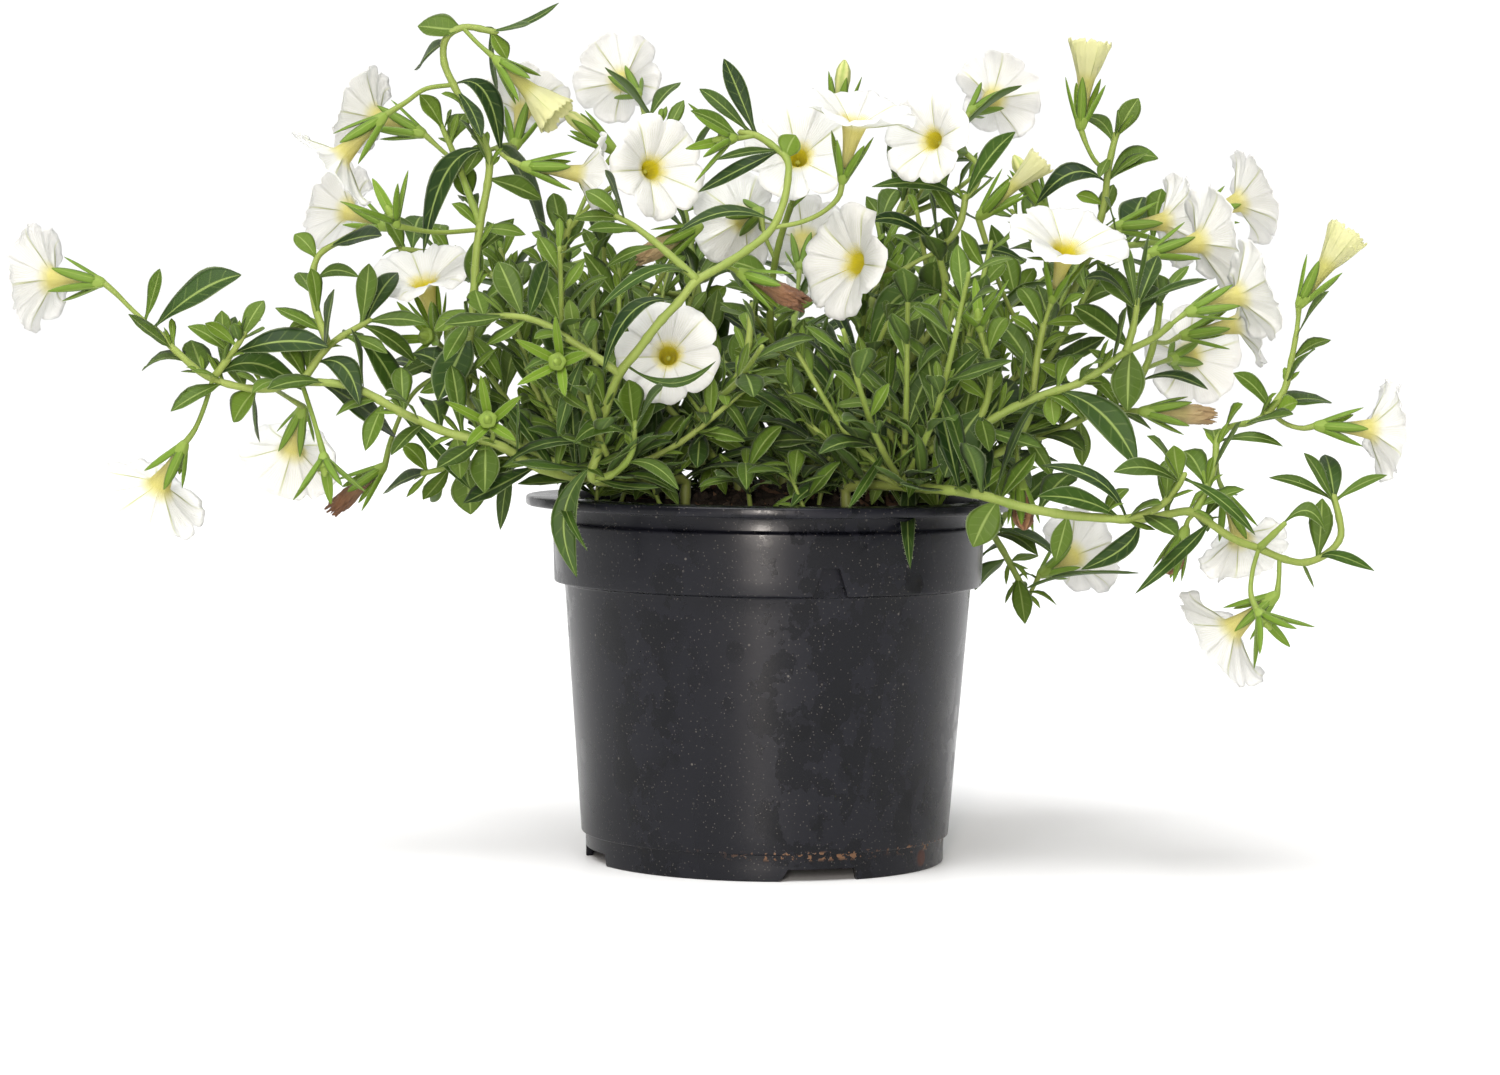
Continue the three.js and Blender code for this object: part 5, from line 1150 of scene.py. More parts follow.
@dataclass
class Plant:
    """A leafy stem as it has grown: its strands, leaves and flowers."""

    name: str
    plan: StemPlan | BackStemPlan
    strands: list[Strand] = field(default_factory=list)
    leaves: list[tuple[Strand, Leaf]] = field(default_factory=list)
    flowers: list[FlowerPlace] = field(default_factory=list)

    def nearest(self, x: float, z: float) -> tuple[Strand, np.ndarray]:
        """The strand, and the point on it, that are seen nearest to x, z on the drawing.

        Args:
            x: x on the drawing.
            z: z on the drawing.

        Returns:
            The strand and the point.
        """
        best, strand, point = math.inf, self.strands[0], self.strands[0].points[0]
        for candidate in self.strands:
            points = candidate.points[:-1]
            away = np.sqrt(((seen_at(points) - [x, z]) ** 2).sum(1))
            if away.min() < best:
                best, strand, point = away.min(), candidate, points[away.argmin()]
        return strand, point


class Growth:
    """Grows every stem of the plan in a fixed order, each piece bent clear of the others."""

    FRONT = np.array([0.0, -0.8, 0.6])
    FOOT_RISES = (2.2, 5.5)

    def __init__(self) -> None:
        """Grows the axes, then the shoots, the flowers and the leaves."""
        self.draws = Draws(RULE.seed)
        self.space = Space()
        self.plants: list[Plant] = []
        self._grow_axes()
        for plant in self.plants:
            for drawn in getattr(plant.plan, "shoots", []):
                self._grow_shoot(plant, drawn)
        for plant in self.plants:
            for flower in getattr(plant.plan, "flowers", []):
                parent, start = plant.nearest(*flower.stalk[0][:2])
                self._grow_flower(plant, flower, parent, start)
        for plant in self.plants:
            if isinstance(plant.plan, BackStemPlan):
                self._grow_back_blooms(plant, plant.plan)
        for plant in self.plants:
            if isinstance(plant.plan, BackStemPlan):
                self._grow_round_leaves(plant)
            else:
                for drawn in plant.plan.leaves:
                    self._grow_drawn_leaf(plant, drawn)

    @staticmethod
    def _knots(drawn: Knots, shift: float, start: np.ndarray | None = None) -> np.ndarray:
        """Knots of a drawn strand, its depth shifted more and more towards its tip.

        Args:
            drawn: its numbers, as the drawing gives them.
            shift: how far its tip is shifted in depth.
            start: the point that it starts from, if that is known.

        Returns:
            The knots in space, as rows.
        """
        last = len(drawn) - 1
        rows = [place(x, z, y + shift * i / last) for i, (x, z, y) in enumerate(drawn)]
        if start is not None:
            rows[0] = start
        return np.array(rows)

    def _foot(self, foot: list[float]) -> list[np.ndarray]:
        """The first knots of a stem, straight up out of the soil."""
        soil = soil_height(math.hypot(*foot))
        return [np.array([*foot, soil + rise]) for rise in self.FOOT_RISES]

    def _grow_axes(self) -> None:
        """Grows the main axis of each stem."""
        for plan in STEMS:
            foot = self._foot(plan.foot)
            versions = (
                Strand(np.vstack([foot, self._knots(plan.axis, shift)]), RULE.strand_radii[0], 0)
                for shift in RULE.depth_shifts
            )
            strand, _ = self.space.bend_clear(versions, plan.name)
            self._add_axis(plan, strand)
        for plan in BACK_STEMS:
            knots = np.vstack([self._foot(plan.foot), plan.axis()])
            self._add_axis(plan, Strand(knots, RULE.strand_radii[0], 0))

    def _add_axis(self, plan: StemPlan | BackStemPlan, strand: Strand) -> None:
        """Starts a plant with its axis.

        Args:
            plan: the plan of the stem.
            strand: the strand.
        """
        plant = Plant(plan.name, plan, [strand])
        self.space.take(strand.points, plan.name)
        self.plants.append(plant)

    def _grow_shoot(self, plant: Plant, drawn: Knots) -> None:
        """Grows a side shoot from the strand that is seen nearest to its start.

        Args:
            plant: the stem that it belongs to.
            drawn: its numbers, as the drawing gives them.
        """
        parent, start = plant.nearest(*drawn[0][:2])
        versions = (
            Strand(self._knots(drawn, shift, start), RULE.strand_radii[1], 1)
            for shift in RULE.depth_shifts
        )
        strand, _ = self.space.bend_clear(versions, plant.name)
        strand.parent = parent
        plant.strands.append(strand)
        self.space.take(strand.points, plant.name)

    def _grow_flower(self, plant: Plant, flower: Flower, parent: Strand, start: np.ndarray) -> None:
        """Grows a stalk with its calyx, and a corolla unless it has dropped.

        Args:
            plant: the stem that it belongs to.
            flower: the flower.
            parent: the strand that it leaves.
            start: the point of its parent that the stalk leaves.
        """
        axis = unit(np.array(flower.facing, float))
        turn = self.draws.next() * math.pi
        seed = math.floor(self.draws.next() * 1e6)

        def versions() -> Iterator[FlowerPlace]:
            """The flower with its stalk bent more and more in depth."""
            for shift in RULE.depth_shifts:
                knots = self._knots(flower.stalk, shift, start)
                strand = Strand(knots, RULE.strand_radii[2], 2)
                yield FlowerPlace(flower.piece, flower.kind, strand, strand.points[-1], axis,
                                  flower.size, turn, seed)

        grown, _ = self.space.bend_clear(versions(), plant.name)
        grown.strand.parent = parent
        plant.strands.append(grown.strand)
        plant.flowers.append(grown)
        self.space.take(np.vstack([grown.strand.points, grown.calyx_points]), plant.name)
        if flower.piece:
            self.space.take(grown.corolla_points, flower.piece)

    def _grow_back_blooms(self, plant: Plant, plan: BackStemPlan) -> None:
        """Puts a bloom on a stem behind at each of its shares."""
        axis = plant.strands[0]
        for i, share in enumerate(plan.blooms):
            start = axis.curve.along(np.array([share * 0.995]))[0]
            end = start + plan.away() * (5 + 4 * i) + UP * (6 + 6 * i)
            seen = seen_at(np.array([start, end]))
            stalk = [[*seen[0], start[1]], [*seen[1], end[1]]]
            piece = plant.name.replace("stem", "bloom") + ("_second" if i else "")
            facing = plan.away() + UP * (0.35 + 0.4 * i)
            self._grow_flower(plant, Flower(piece, Kind.OPEN, stalk, list(facing), 0.96), axis, start)

    def _grow_leaf(self, plant: Plant, parent: Strand, form: Leaf, turn_way: np.ndarray) -> None:
        """Adds a leaf that turns in depth, and shrinks, until it stands clear.

        Args:
            plant: the stem that it grows on.
            parent: the strand that bears it.
            form: the leaf as it is drawn.
            turn_way: the direction in which it may swing.
        """
        root = form.root
        reach = math.dist(root, form.tip)
        lean = (self.draws.next() - 0.5) * RULE.leaf_lean

        def versions() -> Iterator[Leaf]:
            """The leaf at each scale and turn."""
            for scale in RULE.leaf_scales:
                for turn in RULE.leaf_turns:
                    swing = turn_way * ((lean + turn) * reach)
                    end = root + (form.tip + swing - root) * scale
                    bow = root + (form.middle + swing * 0.3 - root) * scale
                    yield Leaf(root, bow, end, form.width * scale, form.facing)

        leaf, room = self.space.bend_clear(versions(), plant.name)
        if room < RULE.clearance:
            return
        plant.leaves.append((parent, leaf))
        self.space.take(leaf.points, plant.name)

    def _scattered(self, point: np.ndarray) -> np.ndarray:
        """A point a little way off another."""
        return point + np.array([RULE.root_scatter * (self.draws.next() - 0.5) for _ in range(3)])

    def _grow_drawn_leaf(self, plant: Plant, drawn: list[float]) -> None:
        """Grows a leaf of the drawing: its middle is arched where it isn't drawn.

        Args:
            plant: the stem that it belongs to.
            drawn: its numbers, as the drawing gives them.
        """
        width, x0, z0, *rest = drawn
        parent, point = plant.nearest(x0, z0)
        root = self._scattered(point)
        tip = place(*rest[-2:], root[1])
        if len(rest) == 4:
            middle = place(*rest[:2], root[1])
        else:
            middle = root + (tip - root) * 0.5 + UP * RULE.leaf_bow * math.dist(root, tip)
        angle = (self.draws.next() - 0.5) * RULE.leaf_swing
        out, up = self.FRONT[1], self.FRONT[2]
        facing = np.array([-out * math.sin(angle), out * math.cos(angle), up])
        self._grow_leaf(plant, parent, Leaf(root, middle, tip, width, facing), np.array([0.0, 1.0, 0.0]))

    def _grow_round_leaves(self, plant: Plant) -> None:
        """Grows leaves round a stem at even distances, each turned on by the golden angle.

        Args:
            plant: the stem that it belongs to.
        """
        strand = plant.strands[0]
        size = BackLeaf()
        count = math.floor(strand.curve.length / size.spacing)
        for i in range(1, count + 1):
            share = size.first + size.span * i / count
            root = self._scattered(strand.points[math.floor(share * (len(strand.points) - 1) + 0.5)])
            along = strand.curve.tangent_along(np.array([share]))[0]
            across = cross_axes(along)
            angle = GOLDEN_TURN * i
            out = across[0] * math.cos(angle) + across[1] * math.sin(angle)
            out = unit(out + along * size.lean + UP * size.rise)
            scale = 0.75 + 0.5 * self.draws.next()
            tip = root + out * size.length * scale
            middle = root + (tip - root) * 0.5 + UP * size.arch
            form = Leaf(root, middle, tip, size.width * scale, UP)
            self._grow_leaf(plant, strand, form, unit(np.cross(out, UP)))


# ------------------------------------------------------------------ the leaves between


@dataclass(frozen=True)
class ThicketRule:
    """How the small leaves, tufts and base shoots fill the spaces of the grown plant."""

    seed: int = 7741
    others: float = 1.0
    siblings: float = 0.75
    node_spacing: float = 5.4
    leaf_length: tuple[float, float] = (11.0, 23.0)
    slimness: tuple[float, float] = (0.32, 0.50)
    lean: tuple[float, float] = (0.35, 1.0)
    rise: float = 0.32
    tuft_length: tuple[float, float] = (5.0, 10.0)
    tuft_slimness: float = 0.25
    tuft_share: float = 0.36
    tuft_lean: float = 0.5
    tuft_leaves: int = 3
    tuft_aside: float = 0.9
    tuft_turn: tuple[float, float] = (0.7, 1.5)
    sag: tuple[float, float] = (-0.04, 0.16)
    facing_out: float = 0.25
    facing_front: float = 0.45
    shoots_each: int = 5
    shoot_reach: tuple[float, float] = (16.0, 46.0)
    shoot_rise: tuple[float, float] = (14.0, 62.0)
    shoot_foot: tuple[float, float] = (4.0, 34.0)
    shoot_bend: float = 0.36
    shoot_radius: float = 0.95
    heart: tuple[float, float] = (0.0, 110.0)
    spread: tuple[float, float] = (178.0, 96.0)
    full_until: float = 0.45
    thins_over: float = 0.9
    thinned: float = 0.8
    bloom_margin: float = 3.2
    pot_margin: float = 6.0
    rim_gap: float = 3.0
    mat_height: float = 34.0
    mat_spacing: float = 2.0
    mat_length: tuple[float, float] = (15.0, 30.0)
    mat_slimness: float = 0.25
    mat_lean: tuple[float, float] = (-0.5, 0.35)
    mat_rise: float = 0.06
    sprigs: int = 28
    sprig_margin: float = 6.0
    sprig_height: tuple[float, float] = (6.0, 15.0)
    sprig_leaves: int = 6
    sprig_leaf: tuple[float, float] = (9.0, 18.0)
    sprig_slimness: float = 0.28
    sprig_lean: tuple[float, float] = (-0.3, 0.6)
    sprig_tilt: tuple[float, float] = (-0.4, 0.4)
    sprig_radius: float = 0.7
    back_shoots: int = 2
    back_share: tuple[float, float] = (0.4, 0.75)
    back_reach: tuple[float, float] = (14.0, 30.0)
    back_rise: tuple[float, float] = (2.0, 18.0)


THICKET = ThicketRule()
RIM_LEAVES = (
    (2.8, -48.5, 105, -55, 97, -48.5, 83.5),
    (3.6, 40, 112, 37.5, 97, 38.5, 82.5),
    (2.4, 32, 112, 27, 103, 21.5, 94.5),
)


@dataclass(frozen=True)
class Joint:
    """A place on a strand where leaves stand: the point, the strand's way and the way round it."""

    strand: Strand
    point: np.ndarray
    along: np.ndarray
    angle: float

    def turned(self, angle: float) -> "Joint":
        """The same place, further round the strand."""
        return Joint(self.strand, self.point, self.along, self.angle + angle)


class Thicket:
    """Adds what stands between the grown pieces: base shoots, more leaves and leaf tufts.

    Each is kept clear of all pieces, and off the line from the eye to a bloom.
    """

    SWINGS = (0.0, 0.8, -0.8, 1.7)
    SCALES = (1.0, 0.76, 0.56)

    def __init__(self, growth: Growth) -> None:
        """Fills the spaces of a plant that has grown.

        Args:
            growth: the grown plant, whose stems get the leaves.
        """
        self.space = growth.space
        self.draws = Draws(THICKET.seed)
        blooms = [flower for plant in growth.plants for flower in plant.flowers if flower.piece]
        self.blooms = np.vstack([seen_at(flower.corolla_points) for flower in blooms])
        self.bloom_depths = np.concatenate([flower.corolla_points[:, 1] for flower in blooms])
        self.low, self.high = self.space.points.min(0), self.space.points.max(0)
        self.counts = [0, 0, 0]
        for plant in growth.plants:
            for _ in range(THICKET.shoots_each):
                self._add_base_shoot(plant)
            if isinstance(plant.plan, BackStemPlan):
                for _ in range(THICKET.back_shoots):
                    self._add_back_shoot(plant)
        for plant in growth.plants:
            self._add_mat(plant)
        self._add_sprigs(growth.plants)
        for plant in growth.plants:
            for strand in [strand for strand in plant.strands if strand.order < 2]:
                self._dress(plant, strand)
        for drawn in RIM_LEAVES:
            self._add_rim_leaf(growth, drawn)
        log.info("thicket: %d shoots, %d leaves, %d tuft leaves", *self.counts)

    def _add_rim_leaf(self, growth: Growth, drawn: tuple[float, ...]) -> None:
        """Adds a leaf that hangs over the pot's rim, drawn as width and three x, z pairs.

        Args:
            growth: the grown plant.
            drawn: its numbers, as the drawing gives them.
        """
        width, x, z, *rest = drawn
        front = [plant for plant in growth.plants if plant.strands[0].points[-1][1] < 0]
        near = [(plant, *plant.nearest(x, z)) for plant in front]
        plant, strand, root = min(near, key=lambda found: math.dist(seen_at(found[2][None])[0], (x, z)))
        depth = -POT.lip_radius - THICKET.rim_gap
        middle = place(*rest[:2], (root[1] + depth) / 2)
        leaf = Leaf(root, middle, place(*rest[2:], depth), width, Growth.FRONT)
        plant.leaves.append((strand, leaf))
        self.space.take(leaf.points, plant.name)

    def _between(self, limits: tuple[float, float]) -> float:
        """A drawn number between two limits."""
        return limits[0] + (limits[1] - limits[0]) * self.draws.next()

    def _clear(self, points: np.ndarray, owner: str) -> bool:
        """True where points stand clear of all pieces, of the blooms' sight and of the pot's front.

        Args:
            points: the points, as rows.
            owner: the name of the piece that they belong to.

        Returns:
            Whether all of them do.
        """
        others, siblings = self.space.room(points, owner)
        if others < THICKET.others or siblings < THICKET.siblings:
            return False
        if (points < self.low).any() or (points > self.high).any():
            return False
        seen = seen_at(points)
        outside = np.hypot(points[:, 0], points[:, 1]) > POT.mouth_radius
        beside = abs(seen[:, 0]) < POT.lip_radius + THICKET.pot_margin
        over_pot = beside & (seen[:, 1] < POT.height + 1)
        if (outside & over_pot & (points[:, 1] < 0)).any():
            return False
        gaps = ((seen[:, None] - self.blooms[None]) ** 2).sum(2)
        nearer = points[:, 1, None] < self.bloom_depths[None] + 2
        return not bool(((gaps < THICKET.bloom_margin**2) & nearer).any())

    def _share_here(self, point: np.ndarray) -> float:
        """How thick the growth is at a point: 1 in the plant's heart, less far out.

        Args:
            point: the point.

        Returns:
            The share of the places there that get a leaf.
        """
        x, z = seen_at(point[None])[0]
        heart, spread = THICKET.heart, THICKET.spread
        out = ((x - heart[0]) / spread[0]) ** 2 + ((z - heart[1]) / spread[1]) ** 2
        beyond = np.clip((out - THICKET.full_until) / THICKET.thins_over, 0, 1)
        return float(1.0 - THICKET.thinned * beyond)

    def _add_base_shoot(self, plant: Plant) -> None:
        """Adds a leafy shoot that leaves the low part of a stem's axis.

        Args:
            plant: the stem that it belongs to.
        """
        axis = plant.strands[0]
        limit = POT.height + self._between(THICKET.shoot_foot)
        from_middle = np.hypot(axis.points[:, 0], axis.points[:, 1])
        beyond = (axis.points[:, 2] > limit) | (from_middle > POT.mouth_radius)
        start = axis.points[max(2, int(np.argmax(beyond)) - 1)]
        self._add_shoot(plant, start, THICKET.shoot_reach, THICKET.shoot_rise)

    def _add_back_shoot(self, plant: Plant) -> None:
        """Adds a leafy shoot that leaves the outer part of a back stem's axis.

        Args:
            plant: the stem that it belongs to.
        """
        axis = plant.strands[0]
        start = axis.points[int(len(axis.points) * self._between(THICKET.back_share))]
        self._add_shoot(plant, start, THICKET.back_reach, THICKET.back_rise)

    def _add_shoot(self, plant: Plant, start: np.ndarray, reach: tuple[float, float],
                   rises: tuple[float, float]) -> None:
        """Adds a shoot that leaves a stem's axis at a drawn angle, where it stands clear.

        Args:
            plant: the stem that it belongs to.
            start: the point of the axis that it leaves.
            reach: limits of how far it goes out.
            rises: limits of how far it goes up.
        """
        axis = plant.strands[0]
        angle = self.draws.next() * 2 * math.pi
        out = np.array([math.cos(angle), math.sin(angle), 0.0]) * self._between(reach)
        rise = self._between(rises)
        end = start + out + UP * rise
        knots = np.array([start, start + out * 0.5 + UP * rise * THICKET.shoot_bend, end])
        strand = Strand(knots, THICKET.shoot_radius, 1)
        if len(strand.points) < 6 or not self._clear(strand.points[3:], plant.name):
            return
        strand.parent = axis
        plant.strands.append(strand)
        self.space.take(strand.points, plant.name)
        self.counts[0] += 1

    def _joints(self, strand: Strand, shares: np.ndarray) -> Iterator[Joint]:
        """The joints at shares of a strand, each turned on by the golden angle.

        Args:
            strand: the strand.
            shares: the shares from its root to its tip.

        Yields:
            Each joint.
        """
        nodes, tangents = strand.curve.along(shares), strand.curve.tangent_along(shares)
        turn = self.draws.next() * 2 * math.pi
        for i, (node, tangent) in enumerate(zip(nodes, tangents)):
            yield Joint(strand, node, tangent, turn + GOLDEN_TURN * i)

    def _add_mat(self, plant: Plant) -> None:
        """Adds long narrow leaves that arch out over the soil from the foot of a stem.

        Args:
            plant: the stem that it belongs to.
        """
        axis = plant.strands[0]
        span = min(1.0, THICKET.mat_height * 1.4 / axis.curve.length)
        count = int(span * axis.curve.length / THICKET.mat_spacing)
        shares = span * (np.arange(count) + 1.5) / (count + 1)
        for joint in self._joints(axis, shares):
            if joint.point[2] > POT.height + THICKET.mat_height:
                break
            size = self._between(THICKET.mat_length)
            width = max(3.0, size * THICKET.mat_slimness)
            self._add_leaf(plant, joint, size, width, self._between(THICKET.mat_lean), THICKET.mat_rise)

    def _add_sprigs(self, plants: list[Plant]) -> None:
        """Stands low sprigs on the soil, each as part of the nearest stem.

        Their feet turn on by the golden angle, at the square root of their share of the radius.

        Args:
            plants: the stems.
        """
        for i in range(THICKET.sprigs):
            share = math.sqrt((i + 0.5) / THICKET.sprigs)
            radius = share * (POT.mouth_radius - THICKET.sprig_margin)
            way = GOLDEN_TURN * i
            foot = np.array([radius * math.cos(way), radius * math.sin(way), soil_height(radius)])
            self._add_sprig(min(plants, key=lambda plant: math.dist(plant.plan.foot, foot[:2])), foot)

    def _add_sprig(self, plant: Plant, foot: np.ndarray) -> None:
        """Adds a sprig: a short strand out of the soil with leaves all the way up.

        Args:
            plant: the stem that it belongs to.
            foot: the point of the soil that it leaves.
        """
        tilt = THICKET.sprig_tilt
        lean = np.array([self._between(tilt), self._between(tilt), 1.0])
        rise = lean * self._between(THICKET.sprig_height)
        knots = np.array([foot, foot + rise * 0.5, foot + rise])
        strand = Strand(knots, THICKET.sprig_radius, 1)
        points = strand.points[strand.points[:, 2] > foot[2] + 2]
        if not len(points) or not self._clear(points, plant.name):
            return
        plant.strands.append(strand)
        self.space.take(points, plant.name)
        self.counts[0] += 1
        for joint in self._joints(strand, np.linspace(0.3, 1.0, THICKET.sprig_leaves)):
            size = self._between(THICKET.sprig_leaf)
            width = size * THICKET.sprig_slimness
            self._add_leaf(plant, joint, size, width, self._between(THICKET.sprig_lean), THICKET.mat_rise)

    def _dress(self, plant: Plant, strand: Strand) -> None:
        """Adds leaves and tufts along a strand, each turned on by the golden angle.

        Args:
            plant: the stem that it belongs to.
            strand: the strand.
        """
        count = max(1, int(strand.curve.length / THICKET.node_spacing))
        shares = (np.arange(count) + 0.6) / count
        for joint, share in zip(self._joints(strand, shares), shares):
            if self.draws.next() > self._share_here(joint.point):
                continue
            size = self._between(THICKET.leaf_length) * (1.06 - 0.38 * share)
            width = size * self._between(THICKET.slimness)
            self._add_leaf(plant, joint, size, width, self._between(THICKET.lean), THICKET.rise)
            if self.draws.next() < THICKET.tuft_share:
                self._add_tuft(plant, joint.turned(THICKET.tuft_aside))

    def _add_tuft(self, plant: Plant, joint: Joint) -> None:
        """Adds a tuft of small narrow leaves at a joint."""
        for _ in range(THICKET.tuft_leaves):
            size = self._between(THICKET.tuft_length)
            width = max(1.5, size * THICKET.tuft_slimness)
            lean = self._between(THICKET.lean) + THICKET.tuft_lean
            self._add_leaf(plant, joint, size, width, lean, THICKET.rise, tuft=True)
            joint = joint.turned(self._between(THICKET.tuft_turn))

    def _add_leaf(self, plant: Plant, joint: Joint, size: float, width: float, lean: float, rise: float,
                  tuft: bool = False) -> None:
        """Adds the first version of a leaf that stands clear, if any does.

        It points out of its joint, plus the lean times the strand's way, plus the rise up.

        Args:
            plant: the stem that it belongs to.
            joint: where it stands.
            size: its length.
            width: its width.
            lean: how far it leans along its strand.
            rise: how far it rises.
            tuft: whether it is a small leaf of a tuft, which isn't made smaller twice.
        """
        sag = self._between(THICKET.sag)
        forward = np.array([0.0, -THICKET.facing_front, 0.0])
        across, beside = cross_axes(joint.along)
        for scale in self.SCALES[: 2 if tuft else 3]:
            for swing in self.SWINGS:
                angle = joint.angle + swing
                way = across * math.cos(angle) + beside * math.sin(angle)
                out = unit(way + joint.along * lean + UP * rise)
                tip = joint.point + out * size * scale
                middle = joint.point + (tip - joint.point) * 0.5 + UP * sag * size * scale
                facing = UP + way * THICKET.facing_out + forward
                leaf = Leaf(joint.point, middle, tip, width * scale, facing)
                if self._clear(leaf.points, plant.name):
                    leaf.fineness = Fineness.TINY if tuft else Fineness.SMALL
                    plant.leaves.append((joint.strand, leaf))
                    self.space.take(leaf.points, plant.name)
                    self.counts[1 + tuft] += 1
                    return


# ------------------------------------------------------------------------ mesh building


class Skin:
    """Grids of points gathered into one mesh, in millimetres.

    Each point carries two triples: its place on the form that it belongs to (`place`) and
    what that form is like (`look`). The finishes read both as attributes.
    """

    def __init__(self) -> None:
        """Starts empty."""
        self.points: list[np.ndarray] = []
        self.quads: list[np.ndarray] = []
        self.triangles: list[np.ndarray] = []
        self.quad_finish: list[np.ndarray] = []
        self.triangle_finish: list[np.ndarray] = []
        self.place: list[np.ndarray] = []
        self.look: list[np.ndarray] = []
        self.count = 0

    def _add_points(
        self, points: np.ndarray, place_of: np.ndarray, look: tuple[float, ...] | np.ndarray
    ) -> int:
        """Adds points with their attributes and returns the number of the first.

        Args:
            points: the points, as rows.
            place_of: the `place` triple of each point.
            look: the `look` triple, for all points or for each.

        Returns:
            The number of the first point.
        """
        first = self.count
        self.points.append(points)
        self.place.append(np.broadcast_to(place_of, points.shape))
        self.look.append(np.broadcast_to(look, points.shape))
        self.count += len(points)
        return first

    def _add_faces(self, faces: np.ndarray, finish: int) -> None:
        """Adds quads or triangles, by how many corners they have.

        Args:
            faces: corner numbers, a row for each face.
            finish: the number of the material slot.
        """
        four = faces.shape[1] == 4
        (self.quads if four else self.triangles).append(faces)
        (self.quad_finish if four else self.triangle_finish).append(np.full(len(faces), finish))

    def add_loft(self, rings: np.ndarray, place_of: np.ndarray, look: tuple[float, ...] | np.ndarray,
                 finish: int, first: np.ndarray | None = None, last: np.ndarray | None = None) -> None:
        """Adds a closed skin over rings: quads between rings and a fan to a point at each end.

        Args:
            rings: points by ring and column; columns run round, to the right of the way along.
            place_of: the `place` triple of each ring point.
            look: the `look` triple, for all points or for each.
            finish: which finish its faces have.
            first: the point that closes the start, or the middle of the first ring.
            last: the point that closes the end, or the middle of the last ring.
        """
        rows, columns = rings.shape[:2]
        first = rings[0].mean(0) if first is None else first
        last = rings[-1].mean(0) if last is None else last
        points = np.vstack([rings.reshape(-1, 3), first, last])
        places = np.broadcast_to(place_of, rings.shape)
        ends = [places[0].mean(0), places[-1].mean(0)]
        if np.ndim(look) > 1:
            looks = np.broadcast_to(look, rings.shape)
            look = np.vstack([looks.reshape(-1, 3), looks[0].mean(0), looks[-1].mean(0)])
        base = self._add_points(points, np.vstack([places.reshape(-1, 3), *ends]), look)
        number = np.arange(rows * columns).reshape(rows, columns) + base
        turned = np.roll(number, -1, 1)
        quads = np.stack([number[:-1], turned[:-1], turned[1:], number[1:]], -1).reshape(-1, 4)
        self._add_faces(quads, finish)
        start, end = base + rows * columns, base + rows * columns + 1
        self._add_faces(np.stack([np.full(columns, start), turned[0], number[0]], 1), finish)
        self._add_faces(np.stack([np.full(columns, end), number[-1], turned[-1]], 1), finish)

    def add_spikes(self, roots: np.ndarray, ways: np.ndarray, length: np.ndarray, width: float,
                   look: np.ndarray, finish: int) -> None:
        """Adds thin three-sided spikes, each closed at its root.

        Args:
            roots: where each stands.
            ways: its direction, of length 1.
            length: its length.
            width: its thickness at the root.
            look: the `look` triple of each.
            finish: which finish its faces have.
        """
        helper = np.where(np.abs(ways[:, 2:]) > 0.9, [1.0, 0.0, 0.0], UP)
        across = unit(np.cross(helper, ways))
        beside = np.cross(ways, across)
        outward = spokes(round_angles(3), (across[:, None], beside[:, None]))
        feet = roots[:, None] + width / 2 * outward
        tips = roots + ways * length[:, None]
        points = np.concatenate([feet, tips[:, None]], 1)
        place_of = np.zeros_like(points)
        place_of[:, 3, 0] = 1.0
        looks = np.repeat(look[:, None], 4, 1)
        base = self._add_points(points.reshape(-1, 3), place_of.reshape(-1, 3), looks.reshape(-1, 3))
        corner = base + 4 * np.arange(len(roots))[:, None, None]
        faces = corner + np.array([[0, 1, 3], [1, 2, 3], [2, 0, 3], [0, 2, 1]])[None]
        self._add_faces(faces.reshape(-1, 3), finish)

    def add_copies(self, shape: np.ndarray, faces: np.ndarray, frames: np.ndarray, centres: np.ndarray,
                   look: np.ndarray, finish: int) -> None:
        """Adds copies of a small closed shape, each by its own frame and centre.

        Args:
            shape: the corners of the shape about its centre.
            faces: its triangles.
            frames: a 3 by 3 matrix for each copy, whose rows are the shape's own axes.
            centres: where each copy goes.
            look: the `look` triple of each copy.
            finish: which finish its faces have.
        """
        points = np.einsum("pi,nij->npj", shape, frames) + centres[:, None]
        looks = np.repeat(look[:, None], len(shape), 1)
        base = self._add_points(points.reshape(-1, 3), np.zeros(3), looks.reshape(-1, 3))
        corner = base + len(shape) * np.arange(len(centres))[:, None, None]
        self._add_faces((corner + faces[None]).reshape(-1, 3), finish)

